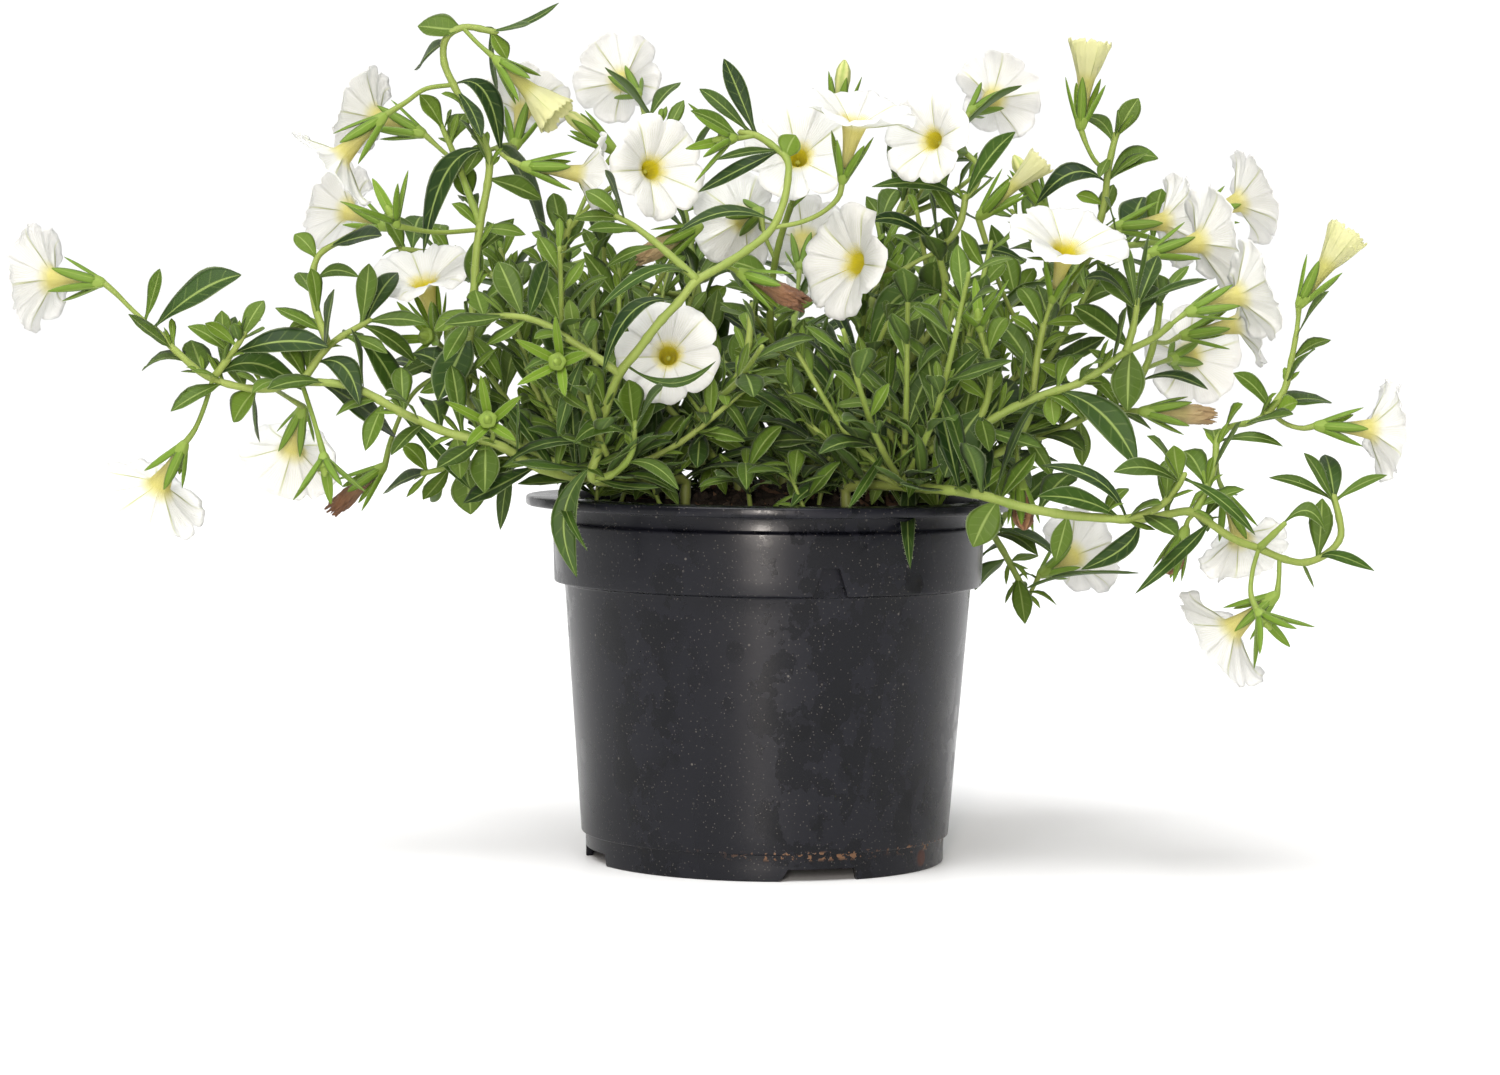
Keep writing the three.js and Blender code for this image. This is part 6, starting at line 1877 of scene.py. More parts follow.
    def build(
        self, name: str, finishes: list[bpy.types.Material], sharp: float = 180.0
    ) -> bpy.types.Object:
        """Makes the mesh object, in metres.

        Args:
            name: the object's name.
            finishes: its materials, in the order that the faces name them.
            sharp: the angle in degrees from which an edge is drawn sharp.

        Returns:
            The object, at the origin.
        """
        points = np.vstack(self.points)
        quads = np.vstack(self.quads) if self.quads else np.empty((0, 4), int)
        triangles = np.vstack(self.triangles) if self.triangles else np.empty((0, 3), int)
        corners = np.concatenate([quads.ravel(), triangles.ravel()])
        sizes = np.concatenate([np.full(len(quads), 4), np.full(len(triangles), 3)])
        mesh = bpy.data.meshes.new(name)
        mesh.vertices.add(len(points))
        mesh.vertices.foreach_set("co", (points * MM).astype(np.float32).ravel())
        mesh.loops.add(len(corners))
        mesh.loops.foreach_set("vertex_index", corners.astype(np.int32))
        mesh.polygons.add(len(sizes))
        starts = np.concatenate([[0], np.cumsum(sizes)[:-1]])
        mesh.polygons.foreach_set("loop_start", starts.astype(np.int32))
        slots = np.concatenate([*self.quad_finish, *self.triangle_finish])
        mesh.polygons.foreach_set("material_index", slots.astype(np.int32))
        for key, rows in (("place", self.place), ("look", self.look)):
            layer = mesh.attributes.new(key, "FLOAT_VECTOR", "POINT")
            layer.data.foreach_set("vector", np.vstack(rows).astype(np.float32).ravel())
        mesh.update(calc_edges=True)
        mesh.validate()
        mesh.polygons.foreach_set("use_smooth", np.ones(len(mesh.polygons), bool))
        if sharp < 180:
            mesh.set_sharp_from_angle(angle=math.radians(sharp))
        for finish in finishes:
            mesh.materials.append(finish)
        made = bpy.data.objects.new(name, mesh)
        bpy.context.scene.collection.objects.link(made)
        return made


def seat(piece: bpy.types.Object, slot: str, node: str) -> None:
    """Lets a piece stand for a CAD node and ride on the part's only body.

    Args:
        piece: the piece.
        slot: the record's material slot; not used.
        node: the CAD node that it replaces.
    """
    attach(piece, "root")
    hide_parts(node)
    log.info("%s: %d faces, stands for %s", piece.name, len(piece.data.polygons), node)


def carried_frames(path: np.ndarray) -> tuple[np.ndarray, np.ndarray]:
    """Two directions square to a path at each of its points, turned as little as possible.

    Each pair is the one before it made square to the new direction, one station at a time.

    Args:
        path: the points of the path, as rows.

    Returns:
        The two unit vectors, a row for each point.
    """
    tangent = unit(np.gradient(path, axis=0))
    across = np.empty_like(path)
    across[0] = cross_axes(tangent[0])[0]
    for i in range(1, len(path)):
        across[i] = unit(across[i - 1] - tangent[i] * (across[i - 1] @ tangent[i]))
    return across, np.cross(tangent, across)


def soft_step(low: float, high: float, value: np.ndarray) -> np.ndarray:
    """A smooth step from 0 to 1: 3 x^2 - 2 x^3 of the clamped share between low and high."""
    share = np.clip((value - low) / (high - low), 0, 1)
    return share * share * (3 - 2 * share)


def ripple(angle: np.ndarray, draws: Draws, waves: tuple[int, ...]) -> np.ndarray:
    """A sum of cosines round a circle, each of a given number of waves and a drawn phase.

    Args:
        angle: angles in radians.
        draws: the stream that gives the phases.
        waves: how many waves each cosine has round the circle.

    Returns:
        The sum, from about -1 to 1, at each angle.
    """
    total = np.zeros_like(angle)
    for count in waves:
        total += np.cos(count * angle + 2 * math.pi * draws.next()) / len(waves)
    return total


# ------------------------------------------------------------------------- leafy stems


class Part(Enum):
    """The finishes of a leafy stem, in the order of its material slots."""

    BARK = 0
    BLADE = 1
    SEPAL = 2
    BUD = 3
    DRIED = 4
    DOWN = 5


@dataclass(frozen=True)
class StemSize:
    """How a strand's thickness, joints and down go."""

    sides: int = 8
    sunk: float = 6.0
    stalk_share: float = 0.72
    stalk_flare: float = 0.28
    joint_sharpness: int = 12
    tip_reach: float = 0.8
    station: float = 1.5
    tip_share: float = 0.62
    node_spacing: float = 11.0
    node_swell: float = 0.16
    down_per_mm: float = 1.6
    down_length: float = 0.85
    down_width: float = 0.07
    down_lean: float = 0.15
    down_spread: float = 0.3
    down_root: float = 0.85


@dataclass(frozen=True)
class BladeSize:
    """How fine a leaf is, and how its blade is folded, waved and thinned."""

    stations: int = 15
    widened: float = 1.12
    thickness: float = 0.42
    margin_thickness: float = 0.16
    keel: float = 0.34
    wave: float = 0.05
    across: tuple[float, ...] = (-1, -0.68, -0.34, -0.07, 0.07, 0.34, 0.68, 1)
    under: tuple[float, ...] = (0.62, 0.16, -0.16, -0.62)
    hairs_per_mm: float = 0.85
    fold_power: float = 1.3
    curl: float = 0.10
    grown_length: float = 17
    grown_width: float = 12
    hair_length: float = 0.62
    hair_width: float = 0.055
    hair_spread: float = 0.35


FULL_BLADE = BladeSize()
BLADES = {
    Fineness.FULL: FULL_BLADE,
    Fineness.SMALL: BladeSize(
        8, 1.0, 0.36, 0.16, 0.3, 0.05, (-1, -0.55, -0.08, 0.08, 0.55, 1), (0.4, -0.4), 0.4
    ),
    Fineness.TINY: BladeSize(6, 1.0, 0.30, 0.14, 0.2, 0.04, (-1, -0.45, 0.0, 0.45, 1), (0.35, -0.35), 0.2),
}


@dataclass(frozen=True)
class ClosedSize:
    """A furled bud or the dried rest of a flower: its length, twist, folds and swelling."""

    length: float
    twist: float
    depth: float
    swell: tuple[float, ...]
    finish: Part


SWELL_AT = (0, 0.35, 0.62, 0.86, 1)
CLOSED = {
    Kind.BUD: ClosedSize(14.6, 1.2, 0.13, (1.2, 1.5, 2.0, 1.75, 0.35), Part.BUD),
    Kind.DRIED: ClosedSize(13.2, 1.9, 0.34, (1.3, 1.8, 2.5, 1.9, 0.5), Part.DRIED),
}


@dataclass(frozen=True)
class CupSize:
    """The calyx's cup and the seed pod in it: where they start, their widths and ribs."""

    columns: int = 20
    rows: int = 7
    below: float = -0.6
    rise: float = 0.9
    foot_radius: float = 0.62
    inside: float = 0.45
    rib: float = 0.07
    sunk: float = 0.8
    pod_length: float = 3.2
    pod_radius: float = 1.25
    pod_close: float = 1.45


class LeafyStem:
    """One leafy stem: its bark, leaves, calyces, buds and down, gathered in one mesh."""

    def __init__(self, plant: Plant, draws: Draws) -> None:
        """Builds the skin of a stem that has grown.

        Args:
            plant: the stem with its strands, leaves and flowers.
            draws: the stream that varies its leaves and down.
        """
        self.plant = plant
        self.draws = draws
        self.size = StemSize()
        self.cup = CupSize()
        self.blade = FULL_BLADE
        self.skin = Skin()
        self.lines: dict[int, np.ndarray] = {}
        for strand in plant.strands:
            self._add_strand(strand)
        for parent, leaf in plant.leaves:
            self._add_leaf(parent, leaf)
        for flower in plant.flowers:
            self._add_calyx(flower)

    # the strands

    def _line(self, strand: Strand) -> np.ndarray:
        """The smooth middle line of a strand, rooted on the smooth line of its parent."""
        if id(strand) not in self.lines:
            knots = strand.curve.knots.copy()
            if strand.parent is not None:
                knots[0] = self._on_line(strand.parent, knots[0])
            else:
                knots = np.vstack([knots[0] - UP * self.size.sunk, knots])
            curve = Spline(knots)
            stations = max(4, math.ceil(curve.length / self.size.station))
            self.lines[id(strand)] = curve.along(np.arange(stations + 1) / stations)
        return self.lines[id(strand)]

    def _on_line(self, strand: Strand, point: np.ndarray) -> np.ndarray:
        """The point of a strand's smooth line that is nearest to a point."""
        line = self._line(strand)
        return line[np.linalg.norm(line - point, axis=1).argmin()]

    def _thickness(self, strand: Strand, stations: int) -> np.ndarray:
        """Radii from root to tip: they fall evenly, with a swelling at each joint.

        Args:
            strand: the strand.
            stations: how many points its line has.

        Returns:
            The radius at each station.
        """
        share = np.arange(stations) / (stations - 1)
        taper = 1 - (1 - self.size.tip_share) * share
        if strand.order == 2:
            taper = self.size.stalk_share + self.size.stalk_flare * soft_step(0.6, 1.0, share)
        length = strand.curve.length
        turn = 2 * math.pi * share * length / self.size.node_spacing
        joints = np.cos(turn) ** self.size.joint_sharpness
        swell = 1 + (self.size.node_swell * joints if strand.order < 2 else 0)
        return strand.radius * taper * swell

    def _add_strand(self, strand: Strand) -> None:
        """Adds a strand: a ring of its thickness carried along its line, with down on it.

        Args:
            strand: the strand.
        """
        line = self._line(strand)
        radius = self._thickness(strand, len(line))
        across, beside = carried_frames(line)
        angle = round_angles(self.size.sides)
        outward = spokes(angle, (across[:, None], beside[:, None]))
        rings = line[:, None] + radius[:, None, None] * outward
        tangent = unit(np.gradient(line, axis=0))
        places = np.zeros_like(rings)
        places[..., 0] = (np.arange(len(line)) / (len(line) - 1))[:, None]
        places[..., 1] = strand.curve.length / 100
        places[..., 2] = strand.order / 2
        tone = self.draws.next()
        last = line[-1] + tangent[-1] * radius[-1] * self.size.tip_reach
        self.skin.add_loft(rings, places, (tone, strand.order / 2, 0.0), Part.BARK.value, last=last)
        self._add_down(line, radius, across, beside, strand)

    def _add_down(self, line: np.ndarray, radius: np.ndarray, across: np.ndarray, beside: np.ndarray,
                  strand: Strand) -> None:
        """Stands short hairs on a strand, at drawn places round it.

        Args:
            line: the points of its middle line.
            radius: its radius at each of them.
            across: a direction square to the line, at each.
            beside: the direction square to both, at each.
            strand: the strand.
        """
        count = int(strand.curve.length * self.size.down_per_mm)
        picks = np.random.default_rng(int(self.draws.next() * 1e9))
        row = picks.integers(1, len(line) - 1, count)
        slide = picks.random(count)[:, None]
        centre = line[row] * (1 - slide) + line[row + 1] * slide
        angle = picks.random(count)[:, None] * 2 * math.pi
        out = np.cos(angle) * across[row] + np.sin(angle) * beside[row]
        slant = self.size.down_spread * picks.standard_normal(count)[:, None] + self.size.down_lean
        lean = unit(line[row + 1] - line[row]) * slant
        length = self.size.down_length * (0.45 + 0.8 * picks.random(count))
        look = np.stack([picks.random(count), np.zeros(count), np.zeros(count)], 1)
        roots = centre + out * (radius[row] * self.size.down_root)[:, None]
        self.skin.add_spikes(roots, unit(out + lean), length, self.size.down_width, look, Part.DOWN.value)

    # blades: leaves and sepals

    def _blade_rings(self, midrib: np.ndarray, side: np.ndarray, normal: np.ndarray, half: np.ndarray,
                     fold: float, thickness: float, wave: np.ndarray) -> tuple[np.ndarray, np.ndarray]:
        """Rings of a thin blade: an upper face folded up along its midrib, and an under one.

        The height of the upper face over the midrib is the fold times the half width times
        |v|^1.3, where v runs from -1 to 1 across it, plus a wave that grows to the margins.
        The under face lies the thickness below, thinner at the margins, with a keel.

        Args:
            midrib: points of the midrib.
            side: the direction across the blade, at each.
            normal: the direction out of the upper face, at each.
            half: the half width at each.
            fold: how far the margins rise, as a share of the half width.
            thickness: the blade's thickness by its midrib.
            wave: how far the margins stand up or down, for each point and for each side.

        Returns:
            The rings, and the `place` triple of each point: share along, v, and 1 below.
        """
        upper, under = np.array(self.blade.across), np.array(self.blade.under)
        v = np.concatenate([upper, under])
        below = np.concatenate([np.zeros(len(upper)), np.ones(len(under))])
        edge = np.abs(v) ** self.blade.fold_power
        rise = fold * half[:, None] * edge[None]
        rise = rise + np.where(v > 0, wave[:, 1:], wave[:, :1]) * edge[None] ** 1.5
        thin = thickness + (self.blade.margin_thickness - thickness) * edge
        keel = self.blade.keel * (thickness / self.blade.thickness) * np.clip(1 - np.abs(v) * 3, 0, 1)
        drop = below * (thin + keel)
        slim = np.minimum(1.0, half / 1.2)[:, None]
        height = rise - drop[None] * slim
        rings = midrib[:, None] + side[:, None] * (half[:, None] * v[None])[..., None]
        rings = rings + normal[:, None] * height[..., None]
        places = np.zeros_like(rings)
        places[..., 0] = np.linspace(0, 1, len(midrib))[:, None]
        places[..., 1] = v[None]
        places[..., 2] = below[None]
        return rings, places

    def _add_leaf(self, parent: Strand, leaf: Leaf) -> None:
        """Adds a leaf, its root drawn onto its strand's smooth line and its tip curled a little.

        Args:
            parent: the strand that it leaves.
            leaf: the leaf.
        """
        self.blade = BLADES[leaf.fineness]
        u = np.linspace(0.0, 0.985, self.blade.stations) ** 1.08
        root = self._on_line(parent, leaf.root)
        ease = (1 - u)[:, None] ** 3
        midrib = leaf.midrib(u) + (root - leaf.root) * ease
        normal = leaf.normal(u)
        curl = (self.draws.next() - 0.35) * self.blade.curl * leaf.length
        midrib = midrib - normal * (curl * (u[:, None] ** 3))
        half = leaf.half_width(u) * self.blade.widened
        phase = self.draws.next() * 2 * math.pi
        bend = np.stack([np.sin(9 * u + phase), np.sin(8 * u + phase * 1.7)], 1)
        wave = self.blade.wave * leaf.width * bend * np.sin(math.pi * u)[:, None]
        side = np.broadcast_to(leaf.side, midrib.shape)
        fold = RULE.leaf_fold * (0.6 + 1.2 * self.draws.next())
        rings, places = self._blade_rings(midrib, side, normal, half, fold, self.blade.thickness, wave)
        young = float(np.clip(1.25 - leaf.length / self.blade.grown_length, 0, 1))
        look = (self.draws.next(), young, min(1.0, leaf.width / self.blade.grown_width))
        tip = leaf.midrib(np.array([1.0]))[0] - normal[-1] * curl
        self.skin.add_loft(rings, places, look, Part.BLADE.value, last=tip)
        self._add_fringe(rings, look)

    def _add_fringe(self, rings: np.ndarray, look: tuple[float, float, float]) -> None:
        """Stands fine hairs along both margins of a blade.

        Args:
            rings: the blade's rings of points.
            look: the `look` triple, for all points or for each.
        """
        picks = np.random.default_rng(int(self.draws.next() * 1e9))
        margins = (0, len(self.blade.across) - 1)
        span = np.linalg.norm(np.diff(rings[:, 0], axis=0), axis=1).sum()
        count = int(span * self.blade.hairs_per_mm)
        if count < 2:
            return
        for margin, way in zip(margins, (-1, 1)):
            row = picks.integers(0, len(rings) - 1, count)
            slide = picks.random(count)[:, None]
            roots = rings[row, margin] * (1 - slide) + rings[row + 1, margin] * slide
            out = unit(rings[row, margins[1]] - rings[row, margins[0]]) * way
            out = out + self.blade.hair_spread * picks.standard_normal((count, 3))
            length = self.blade.hair_length * (0.5 + 0.7 * picks.random(count))
            looks = np.tile(np.array([look[0], 0.0, 0.0]), (count, 1))
            self.skin.add_spikes(
                roots, unit(out), length, self.blade.hair_width, looks, Part.DOWN.value
            )

    # flowers' green parts

    def _add_calyx(self, flower: FlowerPlace) -> None:
        """Adds a calyx: a ribbed cup and five narrow sepals that leave its edge.

        Args:
            flower: the flower.
        """
        self.blade = FULL_BLADE
        axes = cross_axes(flower.axis)
        tone = self.draws.next()
        self._add_cup(flower, axes, tone)
        for lobe in range(LOBES):
            self._add_sepal(flower, axes, flower.turn + 2 * math.pi * lobe / LOBES, tone)
        if flower.kind in CLOSED:
            self._add_closed(flower, axes)
        if flower.kind is Kind.CALYX:
            self._add_seed_pod(flower, axes)

    def _add_cup(self, flower: FlowerPlace, axes: tuple[np.ndarray, np.ndarray], tone: float) -> None:
        """Adds the calyx's cup: it widens from the stalk as the power 0.6, with five ribs.

        Args:
            flower: the flower.
            axes: two directions square to the axis.
            tone: the drawn tone of its colour.
        """
        cup = self.cup
        share = np.linspace(0, 1, cup.rows)
        at = cup.below + (CALYX.length + cup.rise) * share
        radius = cup.foot_radius + (CALYX.top_radius - cup.inside) * share**0.6
        angle = flower.turn + round_angles(cup.columns)
        ribs = 1 + cup.rib * np.cos(LOBES * (angle - flower.turn))
        outward = spokes(angle, axes)[None] * (radius[:, None] * ribs)[..., None]
        rings = flower.base + flower.axis * at[:, None, None] + outward
        places = np.zeros_like(rings)
        places[..., 0] = 0.04 * share[:, None]
        places[..., 2] = 1.0
        floor = flower.base + flower.axis * (CALYX.floor - 0.4)
        self.skin.add_loft(rings, places, (tone, 0.85, 0.0), Part.SEPAL.value, last=floor)

    def _add_sepal(self, flower: FlowerPlace, axes: tuple[np.ndarray, np.ndarray], angle: float,
                   tone: float) -> None:
        """Adds a narrow sepal that leans out of the cup and bends back towards its tip.

        Args:
            flower: the flower.
            axes: two directions square to the axis.
            angle: where it stands round the cup, in radians.
            tone: the drawn tone of its colour.
        """
        draw = self.draws.next
        spread = SEPAL_SPREAD[flower.kind]
        reach = CALYX.sepal_reach * spread * (0.9 + 0.2 * draw())
        out = axes[0] * math.cos(angle) + axes[1] * math.sin(angle)
        swing = (draw() - 0.5) * 1.6
        aside = np.cross(flower.axis, out)
        tip_at = (CALYX.sepal_length - CALYX.sepal_droop * spread) * (0.92 + 0.16 * draw())
        root = flower.base + flower.axis * 1.6 + out * (CALYX.top_radius - 0.85)
        tip = flower.base + flower.axis * tip_at + out * reach + aside * swing
        middle = (root + tip) / 2 + (flower.axis * 0.35 + out * 0.25) * (0.6 + draw())
        form = Leaf(root, middle, tip, 2.5 + 0.5 * draw(), -out + flower.axis * 0.15)
        u = np.linspace(0.0, 0.97, 9)
        midrib, normal = form.midrib(u), form.normal(u)
        half = 0.5 * form.width * np.clip(np.sin(math.pi * (0.24 + 0.76 * u)), 0.05, 1) ** 0.7
        side = np.broadcast_to(form.side, midrib.shape)
        wave = np.zeros((len(u), 2))
        rings, places = self._blade_rings(midrib, side, normal, half, 0.3, 0.34, wave)
        self.skin.add_loft(rings, places, (tone, 0.7, 0.2), Part.SEPAL.value, last=form.tip)
        self._add_fringe(rings[2:], (tone, 0.0, 0.0))

    def _add_closed(self, flower: FlowerPlace, axes: tuple[np.ndarray, np.ndarray]) -> None:
        """Adds a furled bud, or the dried rest of a flower, with five twisted folds.

        Args:
            flower: the flower.
            axes: two directions square to the axis.
        """
        form = CLOSED[flower.kind]
        share = np.linspace(0, 1, 12)
        at = CALYX.floor - self.cup.sunk + form.length * share * min(1.0, flower.size + 0.25)
        swell = np.interp(share, SWELL_AT, form.swell)
        angle = flower.turn + round_angles(self.cup.columns)
        twist = form.twist * share[:, None]
        depth = form.depth * soft_step(0.2, 0.8, share)[:, None]
        folds = 1 + depth * np.cos(LOBES * (angle[None] - flower.turn) + twist * 3)
        disc = spokes(angle[None] + twist, axes)
        rings = flower.base + flower.axis * at[:, None, None] + disc * (swell[:, None] * folds)[..., None]
        places = np.zeros_like(rings)
        places[..., 0] = share[:, None]
        places[..., 1] = np.cos(LOBES * (angle[None] - flower.turn) + twist * 3)
        self.skin.add_loft(rings, places, (self.draws.next(), 0.0, 0.0), form.finish.value)

    def _add_seed_pod(self, flower: FlowerPlace, axes: tuple[np.ndarray, np.ndarray]) -> None:
        """Adds the small pointed pod that is left when a corolla has dropped.

        Args:
            flower: the flower.
            axes: two directions square to the axis.
        """
        cup = self.cup
        share = np.linspace(0, 1, cup.rows)
        at = CALYX.floor - cup.sunk + cup.pod_length * share
        radius = cup.pod_radius * np.cos(share * cup.pod_close) ** 0.6
        rings = np.stack([
            ring(flower.base + flower.axis * t, axes, r, 12, 0.0) for t, r in zip(at, radius)
        ])
        places = np.zeros_like(rings)
        places[..., 0] = 0.2
        self.skin.add_loft(rings, places, (0.5, 0.9, 0.0), Part.SEPAL.value)


# --------------------------------------------------------------------------- corollas


@dataclass(frozen=True)
class PetalSize:
    """How fine a corolla is, and how thin."""

    columns: int = 80
    tube_rows: int = 6
    limb_rows: int = 12
    thickness: float = 0.22
    neck_radius: float = 1.15
    crease: float = 1.15
    seam: float = 1.1
    pleat: float = 0.6
    frill: float = 0.22
    notch: float = 1.35
    droop: float = 2.1
    crumple: float = 0.34
    shrivel: float = 1.3
    tube_power: float = 1.6
    limb_power: float = 1.15
    open_rise: float = 0.72
    other_rise: float = 0.85
    reach: float = 1.012
    edge_fall: float = 0.72
    notch_fall: float = 0.28
    dent: float = 0.03
    dent_width: float = 0.16
    uneven: float = 0.012
    crease_width: float = 0.12
    seam_width: float = 0.16


EDGE_WAVES = (13, 19)
PLEAT_WAVES = (10, 15, 23)
FRILL_WAVES = (27, 33, 41)
FOLD_WAVES = (5, 8, 13)
CRUMPLE_WAVES = (7, 12, 19)


class Corolla:
    """One corolla: a narrow tube that opens into five creased and ruffled lobes."""

    def __init__(self, flower: FlowerPlace, draws: Draws) -> None:
        """Builds the skin of a corolla where its flower stands.

        Args:
            flower: the flower's place, kind and size.
            draws: the stream that varies its folds.
        """
        self.flower = flower
        self.shape = COROLLAS[flower.kind]
        self.size = PetalSize()
        self.draws = draws
        self.axes = cross_axes(flower.axis)
        self.angle = round_angles(self.size.columns)
        self.rim_wave = self._rim_wave()
        self.skin = Skin()
        self._build()

    def _rim_wave(self) -> np.ndarray:
        """How far the rim stands forward round it.

        Drawn heights at even points of the rim are joined by a periodic curve: each point
        weighs in by the square of the cosine of its share of the distance between two.

        Returns:
            The height at each column.
        """
        stream = Draws(self.flower.seed)
        count = LOBES * self.shape.per_lobe
        heights = np.array([
            self.shape.ruffle * (stream.next() - 0.5) + (0.5 if i % self.shape.per_lobe == 0 else 0.0)
            for i in range(count)
        ])
        place_at = self.angle / (2 * math.pi) * count
        before = np.floor(place_at).astype(int)
        share = soft_step(0.0, 1.0, place_at - before)
        return heights[before % count] * (1 - share) + heights[(before + 1) % count] * share

    def _lobe(self) -> np.ndarray:
        """Place within a lobe: -1 and 1 at the notches on its sides, 0 at its midvein."""
        return ((self.angle / (2 * math.pi) * LOBES) % 1.0) * 2 - 1

    def _profile(self) -> tuple[np.ndarray, np.ndarray, np.ndarray]:
        """The corolla's outer profile from its foot to its rim.

        The tube widens as the power 1.6 of its share. The limb leaves it steeply and then
        flattens: its height goes as the power 0.72 of its share of the radius.

        Returns:
            Radius, distance along the axis, and the share from 0 at the throat to 1 at the rim.
        """
        shape, size = self.shape, self.flower.size
        tube = np.linspace(0, 1, self.size.tube_rows)
        throat, neck = shape.throat_radius * size, self.size.neck_radius
        tube_radius = neck + (throat - neck) * tube**self.size.tube_power
        limb = np.linspace(0, 1, self.size.limb_rows + 1)[1:] ** self.size.limb_power
        power = self.size.open_rise if self.flower.kind is Kind.OPEN else self.size.other_rise
        limb_radius = throat + (shape.rim_radius - shape.throat_radius) * size * limb
        limb_at = shape.throat_at + (shape.rim_at - shape.throat_at) * limb**power
        radius = np.concatenate([tube_radius, limb_radius])
        at = np.concatenate([shape.throat_at * tube, limb_at])
        return radius, at, np.concatenate([np.zeros(len(tube)), limb])

    def _surface(self, inset: float) -> tuple[np.ndarray, np.ndarray]:
        """The corolla's skin, moved inwards by a distance.

        Each lobe's edge falls away to its notches as the third power of its place, and sharply
        last. A sharp crease runs up its midvein, soft pleats run between, and the rim is ruffled.

        Args:
            inset: how far the skin is moved inwards.

        Returns:
            Radius and height of each point, and its share from throat to rim.
        """
        radius, at, limb = self._profile()
        lobe, size = self._lobe(), self.size
        edge = size.edge_fall * np.abs(lobe) ** 3 + size.notch_fall * np.abs(lobe) ** 16
        notch = size.notch * (1 - self.shape.notch) * edge
        dent = size.dent * np.exp(-((lobe / size.dent_width) ** 2))
        uneven = size.uneven * ripple(self.angle, Draws(self.flower.seed + 7), EDGE_WAVES)
        reach = size.reach - notch - dent + uneven
        grown = limb[:, None] ** 1.7
        full = radius[:, None] * (1 + (reach[None] - 1) * grown)
        arch = np.sin(math.pi * limb[:, None] ** 0.8)
        crease = -size.crease * np.exp(-np.abs(lobe) / size.crease_width) * arch
        seam = np.exp(-((1 - np.abs(lobe)) / size.seam_width))
        crease = crease - size.seam * seam * limb[:, None] ** 0.8
        stream = Draws(self.flower.seed + 3)
        pleats = size.pleat * ripple(self.angle, stream, PLEAT_WAVES) * limb[:, None] ** 1.6
        frill = size.frill * ripple(self.angle, stream, FRILL_WAVES) * limb[:, None] ** 7
        forward = self.rim_wave[None] * grown + crease + pleats + frill
        if self.flower.kind is Kind.OPEN:
            forward = forward - size.droop * limb[:, None] ** 5 * (1.2 - np.abs(lobe) ** 2)
        if self.flower.kind is Kind.WITHERED:
            folds = ripple(self.angle + 1.4 * limb[:, None], stream, FOLD_WAVES)
            full = full * (1 + size.crumple * folds * soft_step(-0.2, 0.7, limb[:, None]))
            forward = forward + size.shrivel * ripple(self.angle, stream, CRUMPLE_WAVES) * limb[:, None]
        heights = at[:, None] + forward
        slope = np.gradient(radius), np.gradient(at)
        norm = np.hypot(*slope)
        lean = np.clip(inset * slope[0] / norm, 0, None)[:, None]
        heights = heights + lean
        full = full - (inset * slope[1] / norm)[:, None] * np.ones_like(full)
        return np.stack([full, heights], -1), np.broadcast_to(limb[:, None], full.shape)

    def _build(self) -> None:
        """Joins the outer skin, taken from foot to rim, and the inner one, from rim to throat."""
        flower = self.flower
        outer, limb = self._surface(0.0)
        inner, _ = self._surface(self.size.thickness)
        inner = inner[2:][::-1]
        sheet = np.concatenate([outer, inner])
        share = np.concatenate([limb, limb[2:][::-1]])
        inside = np.concatenate([np.zeros(len(outer)), np.ones(len(inner))])[:, None] * np.ones_like(share)
        origin = flower.base + flower.axis * (CALYX.floor + 2 * GAP)
        disc = spokes(flower.turn + self.angle, self.axes)
        rings = origin + disc[None] * sheet[..., :1] + flower.axis * sheet[..., 1:]
        tube_share = np.clip(sheet[..., 1] / self.shape.throat_at, 0, 1)
        places = np.stack([share + tube_share - 1, np.broadcast_to(self._lobe(), share.shape), inside], -1)
        bottom = origin + flower.axis * (sheet[-1, 0, 1] - 0.2)
        look = (self.draws.next(), self.draws.next(), 0.0)
        self.skin.add_loft(rings, places, look, 0, first=origin, last=bottom)
        if flower.kind is Kind.OPEN:
            self._add_stigma(origin)

    def _add_stigma(self, origin: np.ndarray) -> None:
        """Adds the pale green stigma that shows deep in the throat.

        Args:
            origin: the foot of the corolla's tube.
        """
        flower = self.flower
        at = np.linspace(self.shape.throat_at - 5.2, self.shape.throat_at - 2.6, 6)
        radius = np.array([0.3, 0.34, 0.38, 0.62, 0.7, 0.4])
        rings = np.stack([
            ring(origin + flower.axis * t, self.axes, r, 10, 0.0) for t, r in zip(at, radius)
        ])
        places = np.zeros_like(rings)
        places[..., 2] = 2.0
        self.skin.add_loft(rings, places, (0.5, 0.5, 1.0), 0)


# ------------------------------------------------------------------------ pot and soil


@dataclass(frozen=True)
class PotCuts:
    """The recesses in the collar, the notches in the foot and the drain holes."""

    tab_count: int = 3
    tab_first: float = -74.0
    tab_height: float = 7.3
    tab_bottom: float = 10.0
    tab_top: float = 4.6
    tab_floor: float = 55.0
    notch_count: int = 4
    notch_first: float = -72.0
    notch_width: float = 18.0
    notch_slope: float = 3.0
    notch_height: float = 3.2
    drain_count: int = 6
    drain_radius: float = 4.5
    drain_circle: float = 32.0
    drain_sides: int = 24
    drain_depth: float = 8.0
    notch_half_angle: float = 15.0
    beyond: float = 4.0


